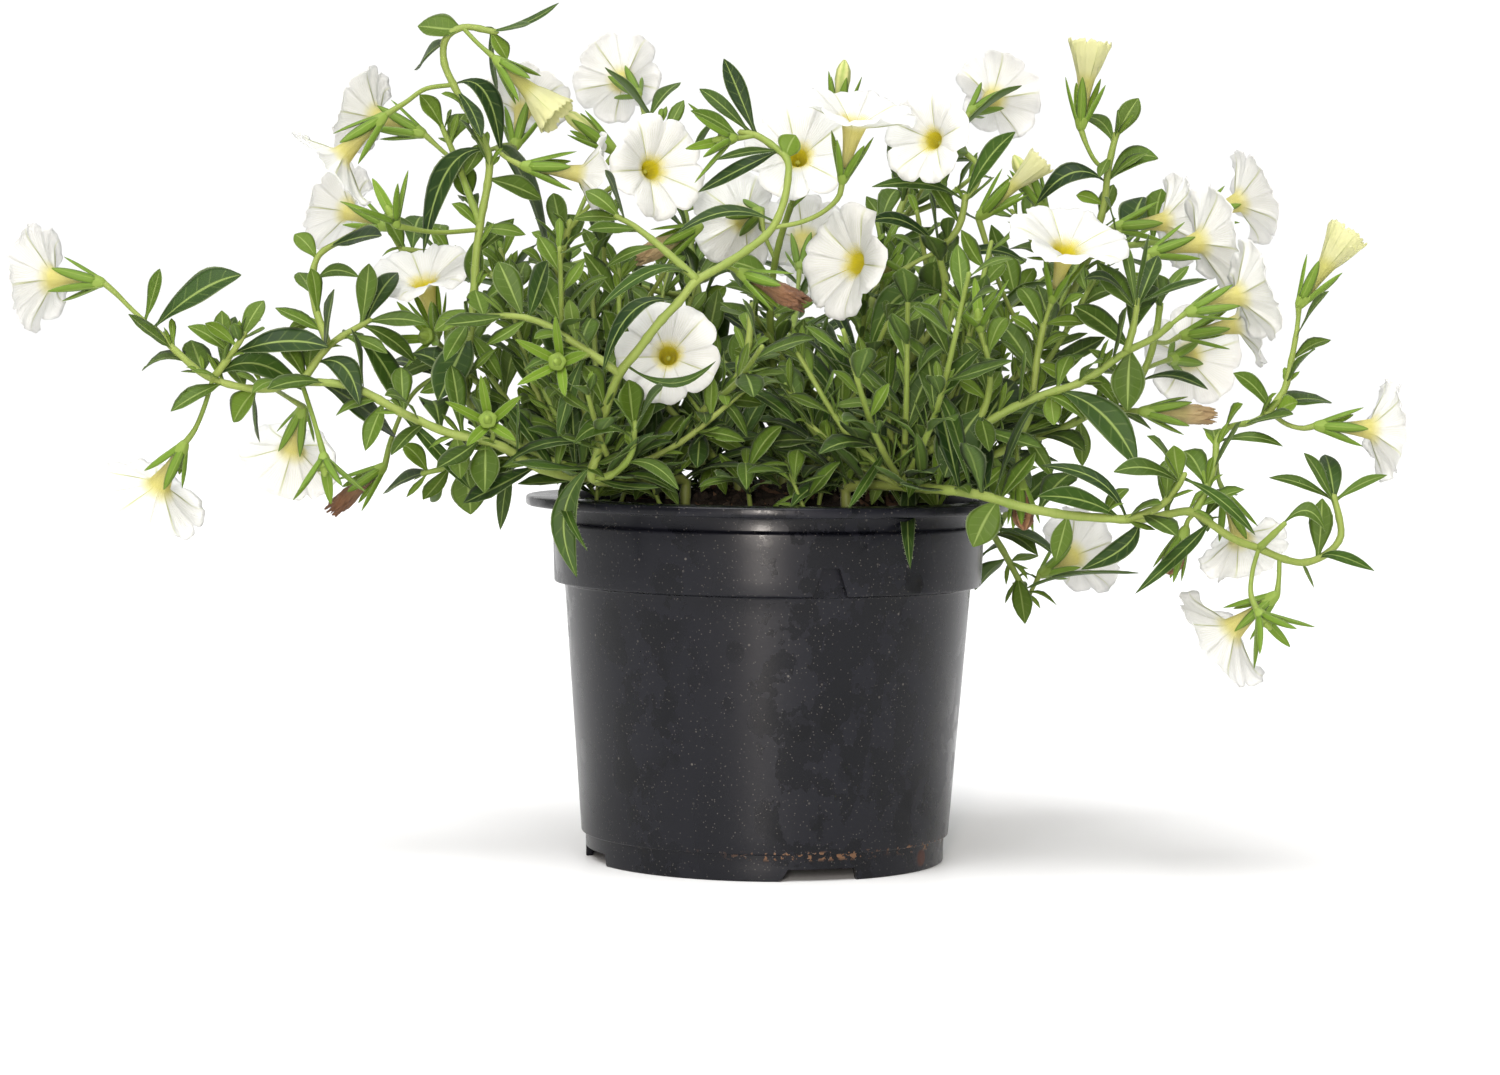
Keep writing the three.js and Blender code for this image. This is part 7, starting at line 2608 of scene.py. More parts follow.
def softened(profile: list[tuple[float, float, float]], steps: int = 5) -> np.ndarray:
    """A profile whose corners are rounded.

    Each corner becomes a quadratic curve from a point its softness before it to one as far
    after it, with the corner as the control point.

    Args:
        profile: radius, height and softness of each corner.
        steps: how many points make a rounded corner.

    Returns:
        Radius and height of each point.
    """
    corners = np.array([(r, z) for r, z, _ in profile])
    rows = []
    for i, (_, _, soft) in enumerate(profile):
        if soft == 0 or i in (0, len(profile) - 1):
            rows.append(corners[i][None])
            continue
        back = corners[i - 1] - corners[i]
        ahead = corners[i + 1] - corners[i]
        a = corners[i] + back / np.linalg.norm(back) * min(soft, np.linalg.norm(back) * 0.45)
        b = corners[i] + ahead / np.linalg.norm(ahead) * min(soft, np.linalg.norm(ahead) * 0.45)
        t = np.linspace(0, 1, steps)[:, None]
        rows.append((1 - t) ** 2 * a + 2 * (1 - t) * t * corners[i] + t**2 * b)
    return np.vstack(rows)


def split_runs(profile: np.ndarray, longest: float) -> np.ndarray:
    """A profile with its long straight runs split evenly, so that no step is over a length.

    Args:
        profile: radius and height pairs, as rows.
        longest: the greatest length of a step.

    Returns:
        The longer profile.
    """
    rows = [profile[:1]]
    for here, ahead in zip(profile, profile[1:]):
        parts = max(1, math.ceil(math.dist(here, ahead) / longest))
        rows.append(here + (ahead - here) * (np.arange(1, parts + 1) / parts)[:, None])
    return np.vstack(rows)


def turned_rings(profile: np.ndarray, columns: int) -> np.ndarray:
    """A profile carried round the z axis: each ring is its radius times a unit circle.

    The rings run so that the skin faces out where the profile goes up on the outside.

    Args:
        profile: radius and height pairs, as rows.
        columns: how many points each ring has.

    Returns:
        The rings, from the first row of the profile to its last.
    """
    angle = round_angles(columns)
    rings = np.empty((len(profile), columns, 3))
    rings[..., 0] = profile[:, :1] * np.cos(angle)
    rings[..., 1] = profile[:, :1] * np.sin(angle)
    rings[..., 2] = profile[:, 1:]
    return rings


class NurseryPot:
    """The moulded plastic pot: a turned wall with recesses, foot notches and drain holes."""

    COLUMNS = 180

    def __init__(self) -> None:
        """Takes its sizes."""
        self.cuts = PotCuts()

    def _profile(self) -> np.ndarray:
        """The pot's section, from the pad under its floor, round its wall, back to the floor."""
        mouth_bottom = POT.height - POT.mouth_depth
        return split_runs(softened([
            (0.05, 0, 0), (POT.pad_radius, 0, 0.4), (POT.pad_radius + 1, POT.floor_underside, 0.6),
            (POT.foot_inner_radius, POT.floor_underside, 0.6), (POT.foot_inner_radius, 0, 0.25),
            (POT.foot_radius, 0, 0.45), (POT.foot_radius + 0.2, POT.wall_bottom - 0.1, 0.25),
            (POT.wall_bottom_radius, POT.wall_bottom, 0.35), (POT.wall_top_radius, POT.wall_top, 0.5),
            (POT.collar_bottom_radius, POT.collar_bottom, 0.45),
            (POT.collar_top_radius, POT.neck_bottom, 0.6),
            (POT.neck_radius, POT.neck_bottom + 0.4, 0.5),
            (POT.neck_radius, POT.height - POT.lip_drop, 0.9),
            (POT.lip_radius, POT.height - POT.lip_drop, 0.9), (POT.lip_radius, POT.height - 0.5, 0.9),
            (POT.lip_radius - 0.5, POT.height, 0.9), (POT.mouth_radius, POT.height, 0.5),
            (POT.mouth_radius, mouth_bottom, 0.6),
            (POT.bore_top_radius, mouth_bottom - POT.mouth_step, 0.8),
            (POT.bore_bottom_radius, POT.floor_top, 1.2), (0.05, POT.floor_top, 0),
        ]), 4.5)

    @staticmethod
    def _cutter(outline: np.ndarray, axis: np.ndarray, depth: float) -> bpy.types.Object:
        """A straight prism to cut with: an outline of points and a copy a depth further on.

        Args:
            outline: the points of the outline.
            axis: the direction of the prism.
            depth: how far the copy lies from it.

        Returns:
            The prism.
        """
        skin = Skin()
        skin.add_loft(np.stack([outline, outline + axis * depth]), np.zeros(3), (0, 0, 0), 0)
        return skin.build("cutter", [])

    def _radial_cutter(
        self, outline: list[tuple[float, float]], inner: float, azimuth: float
    ) -> bpy.types.Object:
        """A prism that lies along a radius, with an outline across and up.

        Args:
            outline: the points of the outline.
            inner: the radius where the prism starts.
            azimuth: the direction of the radius, in degrees.

        Returns:
            The prism.
        """
        angle = math.radians(azimuth)
        out = np.array([math.cos(angle), math.sin(angle), 0.0])
        aside = np.array([-math.sin(angle), math.cos(angle), 0.0])
        points = np.array([out * inner + aside * across + UP * z for across, z in outline])
        return self._cutter(points, out, POT.lip_radius + self.cuts.beyond - inner)

    def _cutters(self) -> list[bpy.types.Object]:
        """All the prisms that are cut from the turned wall.

        Returns:
            The prisms.
        """
        cuts = self.cuts
        low, high = POT.collar_bottom - 1, POT.collar_bottom + cuts.tab_height
        foot, head = cuts.tab_bottom / 2, cuts.tab_top / 2
        tab = [(-foot, low), (foot, low), (head, high), (-head, high)]
        half = cuts.notch_width / 2
        notch = [(-half - cuts.notch_slope, -1.0), (half + 1, -1.0), (half, cuts.notch_height),
                 (-half, cuts.notch_height)]
        made = [self._radial_cutter(tab, cuts.tab_floor, cuts.tab_first + i * 360 / cuts.tab_count)
                for i in range(cuts.tab_count)]
        inner = POT.foot_inner_radius * math.cos(math.radians(cuts.notch_half_angle)) - 2
        made += [self._radial_cutter(notch, inner, cuts.notch_first + i * 360 / cuts.notch_count)
                 for i in range(cuts.notch_count)]
        level = (np.array([1.0, 0, 0]), np.array([0, 1.0, 0]))
        for centre in ring(UP, level, cuts.drain_circle, cuts.drain_count, 0.0):
            outline = ring(centre, level, cuts.drain_radius, cuts.drain_sides, 0.0)
            made.append(self._cutter(outline, UP, cuts.drain_depth))
        return made

    def build(self, finish: bpy.types.Material) -> bpy.types.Object:
        """Turns the wall, cuts it and dresses it.

        Args:
            finish: the pot's plastic.

        Returns:
            The pot.
        """
        skin = Skin()
        profile = self._profile()
        skin.add_loft(turned_rings(profile[1:-1], self.COLUMNS), np.zeros(3), (0, 0, 0), 0,
                      first=np.array([0.0, 0.0, 0.0]), last=np.array([0.0, 0.0, POT.floor_top]))
        wall = skin.build("nursery_pot", [finish])
        for cutter in self._cutters():
            cut = wall.modifiers.new("cut", "BOOLEAN")
            cut.operation, cut.solver, cut.object = "DIFFERENCE", "EXACT", cutter
            with bpy.context.temp_override(object=wall, active_object=wall):
                bpy.ops.object.modifier_apply(modifier=cut.name)
            bpy.data.objects.remove(cutter)
        wall.data.set_sharp_from_angle(angle=math.radians(38))
        return wall


@dataclass(frozen=True)
class CrumbRule:
    """How many crumbs of peat and bark lie on the soil, and how big they are."""

    count: int = 1700
    smallest: float = 0.35
    largest: float = 1.5
    bark_share: float = 0.12
    apart: float = 3.2
    uneven: float = 0.22
    raised: float = 0.25
    bark_stretch: tuple[float, float, float] = (2.3, 1.0, 0.4)
    peat_stretch: tuple[float, float, float] = (1.15, 1.0, 0.7)


@dataclass(frozen=True)
class Lump:
    """One size of the soil's lumps: their width, their height and how they are turned."""

    size: float
    height: float
    turn: float


LUMPS = (Lump(9.0, 0.5, 0.3), Lump(4.3, 0.36, 1.1), Lump(2.1, 0.22, 2.3), Lump(1.2, 0.12, 0.7))


class PottingSoil:
    """The root ball: a mounded, lumpy top with crumbs of peat and bark on it."""

    COLUMNS = 120

    def __init__(self, feet: list[list[float]]) -> None:
        """Takes the feet of the stems, which crumbs keep off."""
        self.feet = np.array(feet, float)
        self.rule = CrumbRule()

    @staticmethod
    def _lumps(x: np.ndarray, y: np.ndarray) -> np.ndarray:
        """Heights of the lumps: a sum of crossed sines of four sizes.

        Args:
            x: distances along x.
            y: distances along y.

        Returns:
            The height at each point.
        """
        total = np.zeros_like(x)
        for lump in LUMPS:
            across = x * math.cos(lump.turn) + y * math.sin(lump.turn)
            along = -x * math.sin(lump.turn) + y * math.cos(lump.turn)
            wave = np.sin(2 * math.pi * across / lump.size + np.sin(along / lump.size))
            total += lump.height * wave * np.cos(2 * math.pi * along / lump.size)
        return total

    def _top(self, x: np.ndarray, y: np.ndarray) -> np.ndarray:
        """Height of the soil's top, with lumps that die out at its edge.

        Args:
            x: distances along x.
            y: distances along y.

        Returns:
            The height at each point.
        """
        radius = np.hypot(x, y)
        crown = SOIL.edge + SOIL.crown * (1 - np.minimum(1, radius / POT.mouth_radius) ** 2)
        return crown + self._lumps(x, y) * soft_step(0, 3, POT.mouth_radius - GAP - radius) - 0.3

    def build(self, finish: bpy.types.Material) -> bpy.types.Object:
        """Builds the soil with its crumbs.

        Args:
            finish: the soil's finish.

        Returns:
            The soil.
        """
        mouth_bottom = POT.height - POT.mouth_depth
        side = split_runs(np.array([
            (0.05, POT.floor_top + GAP), (POT.bore_bottom_radius - GAP, POT.floor_top + GAP),
            (POT.bore_top_radius - GAP, mouth_bottom - POT.mouth_step),
            (POT.mouth_radius - GAP, mouth_bottom + GAP),
            (POT.mouth_radius - GAP, SOIL.edge - 0.3),
        ]), 6.0)
        radii = (POT.mouth_radius - GAP) * np.linspace(1, 0, 45)[1:-1] ** 0.9
        top = turned_rings(np.stack([radii, radii * 0], 1), self.COLUMNS)
        top[..., 2] = self._top(top[..., 0], top[..., 1])
        rings = np.concatenate([turned_rings(side, self.COLUMNS), top])
        skin = Skin()
        skin.add_loft(rings, np.zeros(3), (0.5, 0, 0), 0)
        self._add_crumbs(skin)
        return skin.build("potting_soil", [finish], 55)

    def _add_crumbs(self, skin: Skin) -> None:
        """Strews crumbs over the top: squashed eight-sided stones, each turned its own way.

        Args:
            skin: the mesh that they are added to.
        """
        picks = np.random.default_rng(RULE.seed)
        count = self.rule.count
        radius = (POT.mouth_radius - 1.6) * np.sqrt(picks.random(count))
        angle = picks.random(count) * 2 * math.pi
        x, y = radius * np.cos(angle), radius * np.sin(angle)
        apart = np.hypot(x[:, None] - self.feet[:, 0], y[:, None] - self.feet[:, 1]).min(1)
        x, y = x[apart > self.rule.apart], y[apart > self.rule.apart]
        count = len(x)
        size = self.rule.smallest + (self.rule.largest - self.rule.smallest) * picks.random(count) ** 3
        bark = picks.random(count) < self.rule.bark_share
        stretch = np.where(bark[:, None], self.rule.bark_stretch, self.rule.peat_stretch)
        stretch = stretch * size[:, None]
        turn = picks.standard_normal((count, 3, 3))
        frames = np.linalg.qr(turn)[0] * stretch[:, :, None]
        frames = frames * np.sign(np.linalg.det(frames))[:, None, None]
        shape = np.array([[1, 0, 0], [0, 1, 0], [-1, 0, 0], [0, -1, 0], [0, 0, 1], [0, 0, -1]], float)
        shape = shape + self.rule.uneven * picks.standard_normal(shape.shape)
        faces = np.array([
            [0, 1, 4], [1, 2, 4], [2, 3, 4], [3, 0, 4], [1, 0, 5], [2, 1, 5], [3, 2, 5], [0, 3, 5],
        ])
        centres = np.stack([x, y, self._top(x, y) + self.rule.raised * size], 1)
        look = np.stack([picks.random(count), bark.astype(float), np.zeros(count)], 1)
        skin.add_copies(shape, faces, frames, centres, look, 0)


# --------------------------------------------------------------------------- finishes

Socket = bpy.types.NodeSocket
Colour = tuple[float, float, float]


class Wiring:
    """The node tree of one material, with a short method for each kind of node."""

    def __init__(self, name: str) -> None:
        """Makes the material and empties its tree.

        Args:
            name: the material's name.
        """
        self.material = bpy.data.materials.new(name)
        self.material.use_nodes = True
        self.tree = self.material.node_tree
        self.tree.nodes.clear()

    def node(self, kind: str, **fields: object) -> bpy.types.Node:
        """Adds a node and sets its fields.

        Args:
            kind: the node's type.
            **fields: the node's fields and their values.

        Returns:
            The node.
        """
        made = self.tree.nodes.new(kind)
        for key, value in fields.items():
            setattr(made, key, value)
        return made

    def put(self, socket: Socket, value: object) -> None:
        """Gives a socket a constant, or links it."""
        if isinstance(value, bpy.types.NodeSocket):
            self.tree.links.new(value, socket)
        elif isinstance(value, tuple) and len(value) == 3 and socket.type == "RGBA":
            socket.default_value = (*value, 1.0)
        else:
            socket.default_value = value

    def math(self, operation: str, *values: object, clamp: bool = False) -> Socket:
        """The result of an arithmetic step on numbers or sockets.

        Args:
            operation: the name of the step.
            *values: its inputs.
            clamp: whether the result is held between 0 and 1.

        Returns:
            The result.
        """
        made = self.node("ShaderNodeMath", operation=operation, use_clamp=clamp)
        for socket, value in zip(made.inputs, values):
            self.put(socket, value)
        return made.outputs[0]

    def times(self, *values: object, clamp: bool = False) -> Socket:
        """The product of two numbers or sockets."""
        return self.math("MULTIPLY", *values, clamp=clamp)

    def plus(self, *values: object, clamp: bool = False) -> Socket:
        """The sum of two numbers or sockets."""
        return self.math("ADD", *values, clamp=clamp)

    def minus(self, *values: object, clamp: bool = False) -> Socket:
        """The first number or socket less the second."""
        return self.math("SUBTRACT", *values, clamp=clamp)

    def scaled(self, *values: object, clamp: bool = False) -> Socket:
        """The first number or socket times the second, plus the third."""
        return self.math("MULTIPLY_ADD", *values, clamp=clamp)

    def step(self, value: Socket, low: float, high: float, start: float = 0.0, end: float = 1.0) -> Socket:
        """A smooth step of a value, from start at low to end at high.

        Args:
            value: the value.
            low: where the step starts.
            high: where the step ends.
            start: the result at low.
            end: the result at high.

        Returns:
            The result.
        """
        made = self.node("ShaderNodeMapRange", interpolation_type="SMOOTHSTEP")
        for key, number in (("From Min", low), ("From Max", high), ("To Min", start), ("To Max", end)):
            made.inputs[key].default_value = number
        self.put(made.inputs["Value"], value)
        return made.outputs["Result"]

    def mix(self, share: object, first: object, second: object, blend: str = "MIX") -> Socket:
        """A mix of two colours by a share.

        Args:
            share: how much the second colour counts.
            first: the colour at a share of 0.
            second: the colour at a share of 1.
            blend: how they are mixed.

        Returns:
            The mixed colour.
        """
        made = self.node("ShaderNodeMix", data_type="RGBA", blend_type=blend)
        self.put(made.inputs[0], share)
        self.put(made.inputs[6], first)
        self.put(made.inputs[7], second)
        return made.outputs[2]

    def triple(self, name: str) -> tuple[Socket, Socket, Socket]:
        """The three numbers of a mesh attribute."""
        read = self.node("ShaderNodeAttribute", attribute_type="GEOMETRY", attribute_name=name)
        return self.split(read.outputs["Vector"])

    def split(self, vector: Socket) -> tuple[Socket, Socket, Socket]:
        """The three numbers of a vector.

        Args:
            vector: the vector.

        Returns:
            The three numbers.
        """
        parts = self.node("ShaderNodeSeparateXYZ")
        self.put(parts.inputs[0], vector)
        return parts.outputs[0], parts.outputs[1], parts.outputs[2]

    def join(self, x: object, y: object, z: object) -> Socket:
        """A vector of three numbers.

        Args:
            x: the first number.
            y: the second number.
            z: the third number.

        Returns:
            The vector.
        """
        made = self.node("ShaderNodeCombineXYZ")
        for socket, value in zip(made.inputs, (x, y, z)):
            self.put(socket, value)
        return made.outputs[0]

    def here(self, stretch: Colour = (1.0, 1.0, 1.0)) -> Socket:
        """The place on the object in metres, stretched along each axis.

        Args:
            stretch: the scale along each axis.

        Returns:
            The stretched place.
        """
        coordinates = self.node("ShaderNodeTexCoord")
        mapping = self.node("ShaderNodeMapping")
        mapping.inputs["Scale"].default_value = stretch
        self.put(mapping.inputs["Vector"], coordinates.outputs["Object"])
        return mapping.outputs[0]

    def noise(self, vector: Socket, scale: float, detail: float = 2.0, rough: float = 0.5) -> Socket:
        """A cloudy pattern from 0 to 1.

        Args:
            vector: where the pattern is read.
            scale: how fine the pattern is.
            detail: how many finer layers it has.
            rough: how strong the finer layers are.

        Returns:
            The pattern.
        """
        made = self.node("ShaderNodeTexNoise")
        made.inputs["Scale"].default_value = scale
        made.inputs["Detail"].default_value = detail
        made.inputs["Roughness"].default_value = rough
        self.put(made.inputs["Vector"], vector)
        return made.outputs["Fac"]

    def cells(self, vector: Socket, scale: float, feature: str = "F1") -> Socket:
        """The distance within a pattern of cells.

        Args:
            vector: where the pattern is read.
            scale: how fine the pattern is.
            feature: which distance is taken.

        Returns:
            The distance.
        """
        made = self.node("ShaderNodeTexVoronoi", feature=feature)
        made.inputs["Scale"].default_value = scale
        self.put(made.inputs["Vector"], vector)
        return made.outputs["Distance"]

    def bump(self, height: Socket, strength: float, distance: float) -> Socket:
        """Normals of a relief.

        Args:
            height: the height of the relief.
            strength: how strongly it shows.
            distance: how deep it is, in metres.

        Returns:
            The normals.
        """
        made = self.node("ShaderNodeBump")
        made.inputs["Strength"].default_value = strength
        made.inputs["Distance"].default_value = distance
        self.put(made.inputs["Height"], height)
        return made.outputs[0]

    def surface(self, colour: object, rough: object, normal: Socket | None = None, specular: float = 0.5,
                sheen: float = 0.0, glow: object = None, glow_share: float = 0.0) -> bpy.types.Material:
        """Ends the tree: a principled surface, with light through it where it is thin.

        Args:
            colour: the base colour.
            rough: the roughness.
            normal: the relief's normals.
            specular: the specular level.
            sheen: how much soft sheen its down gives.
            glow: the colour of light that comes through it.
            glow_share: how much of the surface lets light through.

        Returns:
            The material.
        """
        shader = self.node("ShaderNodeBsdfPrincipled")
        self.put(shader.inputs["Base Color"], colour)
        self.put(shader.inputs["Roughness"], rough)
        shader.inputs["Specular IOR Level"].default_value = specular
        shader.inputs["Sheen Weight"].default_value = sheen
        shader.inputs["Sheen Roughness"].default_value = 0.4
        if normal is not None:
            self.put(shader.inputs["Normal"], normal)
        result = shader.outputs[0]
        if glow is not None:
            through = self.node("ShaderNodeBsdfTranslucent")
            self.put(through.inputs["Color"], glow)
            if normal is not None:
                self.put(through.inputs["Normal"], normal)
            blend = self.node("ShaderNodeMixShader")
            blend.inputs[0].default_value = glow_share
            self.put(blend.inputs[1], result)
            self.put(blend.inputs[2], through.outputs[0])
            result = blend.outputs[0]
        out = self.node("ShaderNodeOutputMaterial")
        self.put(out.inputs["Surface"], result)
        return self.material


@dataclass(frozen=True)
class LeafGreen:
    """Leaves and sepals: green above, paler below, with a pale midrib, veins and margin."""

    name: str
    deep: Colour
    fresh: Colour
    young: Colour
    under: Colour
    rib: Colour
    veins: float = 7.0
    margin: Colour = (0.36, 0.46, 0.20)

    def material(self) -> bpy.types.Material:
        """Builds the finish.

        Side veins run where the share along the leaf, less a part of the way across it,
        is near a whole number of steps. The midrib is where the way across is near 0.

        Returns:
            The material.
        """
        w = Wiring(self.name)
        along, across, below = w.triple("place")
        tone, young, _ = w.triple("look")
        out = w.math("ABSOLUTE", across)
        cloud = w.noise(w.here(), 130.0, 3.0)
        patchy = w.scaled(cloud, 0.8, -0.4)
        fresh = w.plus(w.times(tone, 0.75), patchy, clamp=True)
        upper = w.mix(fresh, self.deep, self.fresh)
        upper = w.mix(young, upper, self.young)
        lead = w.minus(w.times(along, self.veins), w.times(out, 0.85))
        away = w.math("ABSOLUTE", w.minus(w.math("FRACT", lead), 0.5))
        vein = w.times(w.step(away, 0.0, 0.10, 1.0, 0.0), w.step(out, 0.92, 0.6))
        rib = w.step(out, 0.04, 0.13, 1.0, 0.0)
        pale = w.math("MAXIMUM", rib, w.times(vein, 0.22))
        upper = w.mix(w.times(pale, 0.85), upper, self.rib)
        upper = w.mix(w.times(w.step(out, 0.86, 1.0), 0.75), upper, self.margin)
        lower = w.mix(w.times(cloud, 0.5), self.under, self.fresh)
        lower = w.mix(w.times(rib, 0.6), lower, self.rib)
        colour = w.mix(below, upper, lower)
        grain = w.noise(w.here(), 2600.0, 2.0)
        height = w.plus(w.times(pale, -0.9), w.times(grain, 0.35))
        rough = w.step(cloud, 0.3, 0.7, 0.5, 0.62)
        glow = w.mix(w.times(pale, 0.6), self.young, self.fresh)
        return w.surface(colour, rough, w.bump(height, 0.6, 0.00025), 0.28, 0.04, glow, 0.24)


@dataclass(frozen=True)
class StemBark:
    """Young stems: pale yellow-green, browner and streaked towards the soil."""

    pale: Colour = (0.25, 0.305, 0.070)
    green: Colour = (0.135, 0.215, 0.028)
    base: Colour = (0.12, 0.13, 0.034)

    def material(self) -> bpy.types.Material:
        """Builds the finish: streaks are a noise stretched upwards.

        Returns:
            The material.
        """
        w = Wiring("stem_bark")
        along, _, order = w.triple("place")
        tone, _, _ = w.triple("look")
        streak = w.noise(w.here((1.0, 1.0, 0.22)), 900.0, 3.0)
        patch = w.noise(w.here(), 70.0, 2.0)
        green = w.scaled(tone, 0.5, w.scaled(patch, 0.9, -0.35), clamp=True)
        colour = w.mix(green, self.pale, self.green)
        woody = w.times(w.step(along, 0.0, 0.3, 1.0, 0.0), w.step(order, 0.0, 0.4, 0.75, 0.0))
        colour = w.mix(woody, colour, self.base)
        colour = w.mix(w.times(w.step(streak, 0.45, 0.75), 0.35), colour, self.green)
        return w.surface(colour, 0.55, w.bump(streak, 0.35, 0.00025), 0.3, 0.06, self.pale, 0.12)


@dataclass(frozen=True)
class PlainTissue:
    """A soft plant tissue of two colours: furled buds, dried flowers or down."""

    name: str
    light: Colour
    dark: Colour
    rough: float
    through: float
    folds: float = 0.0

    def material(self) -> bpy.types.Material:
        """Builds the finish: the dark colour lies in the folds and in clouds.

        Returns:
            The material.
        """
        w = Wiring(self.name)
        _, fold, _ = w.triple("place")
        tone, _, _ = w.triple("look")
        cloud = w.noise(w.here(), 420.0, 3.0)
        dark = w.scaled(fold, -0.5 * self.folds, w.scaled(tone, 0.3, 0.1))
        dark = w.plus(dark, w.scaled(cloud, 1.1, -0.4), clamp=True)
        colour = w.mix(dark, self.light, self.dark)
        return w.surface(colour, self.rough, w.bump(cloud, 0.5, 0.0004), 0.3, 0.1, colour, self.through)


@dataclass(frozen=True)
class PetalSkin:
    """A corolla's tissue: its limb, its throat, its veins and the outside of its tube."""

    name: str
    limb: Colour
    shade: Colour
    throat: Colour
    throat_reach: float
    vein: Colour
    vein_reach: float
    tube: Colour
    stripe: Colour
    through: float
    wilt: float = 0.0
    wilted: Colour = (0.3, 0.17, 0.08)

    def material(self) -> bpy.types.Material:
        """Builds the finish.

        `place` holds the share out from the throat (below 0 in the tube), the place in the
        lobe, and 1 on the inner face or 2 on the stigma. A thin vein runs up the middle of
        each lobe and fades out, and fine lines fan out beside it.

        Returns:
            The material.
        """
        w = Wiring(self.name)
        out, lobe, inside = w.triple("place")
        tone, _, stigma = w.triple("look")
        within = w.step(inside, 0.4, 0.6)
        side = w.math("ABSOLUTE", lobe)
        warp = w.noise(w.here(), 300.0, 2.0)
        bent = w.scaled(warp, 0.10, side)
        fan = w.math("ABSOLUTE", w.minus(w.math("FRACT", w.times(bent, 9.0)), 0.5))
        fine = w.times(w.step(fan, 0.0, 0.16, 1.0, 0.0), w.step(out, 0.95, 0.45))
        middle = w.times(w.step(side, 0.015, 0.065, 1.0, 0.0), w.step(out, self.vein_reach, 0.1))
        cloud = w.noise(w.here(), 160.0, 3.0)
        limb = w.mix(w.scaled(cloud, 0.9, -0.2, clamp=True), self.limb, self.shade)
        limb = w.mix(w.times(fine, 0.24), limb, self.vein)
        limb = w.mix(w.times(middle, 0.85), limb, self.vein)
        rayed = w.scaled(warp, 0.2, w.minus(out, 0.14))
        rayed = w.scaled(fan, 0.42, rayed)
        inner = w.mix(w.step(rayed, self.throat_reach, 0.03), limb, self.throat)
        streak = w.times(w.step(fan, 0.0, 0.2, 1.0, 0.0), w.step(out, 0.26, -0.1))
        inner = w.mix(w.times(streak, 0.8), inner, self.stripe)
        stripe = w.times(w.step(fan, 0.05, 0.3, 1.0, 0.0), 0.55)
        tube = w.mix(stripe, self.tube, self.stripe)
        outer = w.mix(w.step(out, 0.22, -0.12), limb, tube)
        colour = w.mix(within, outer, inner)
        if self.wilt > 0:
            blotch = w.scaled(cloud, 1.5, -0.55)
            edge = w.plus(blotch, w.times(out, 0.4), clamp=True)
            colour = w.mix(w.times(edge, self.wilt), colour, self.wilted)
        colour = w.mix(w.step(stigma, 0.4, 0.6), colour, (0.62, 0.62, 0.12))
        fanned = w.join(w.times(side, 9.0), w.times(out, 3.0), tone)
        wrinkle = w.noise(fanned, 3.0, 3.0)
        height = w.plus(w.times(fine, -0.35), wrinkle)
        height = w.plus(height, w.times(middle, -0.8))
        return w.surface(colour, 0.52, w.bump(height, 0.6, 0.00035), 0.3, 0.08, colour, self.through)


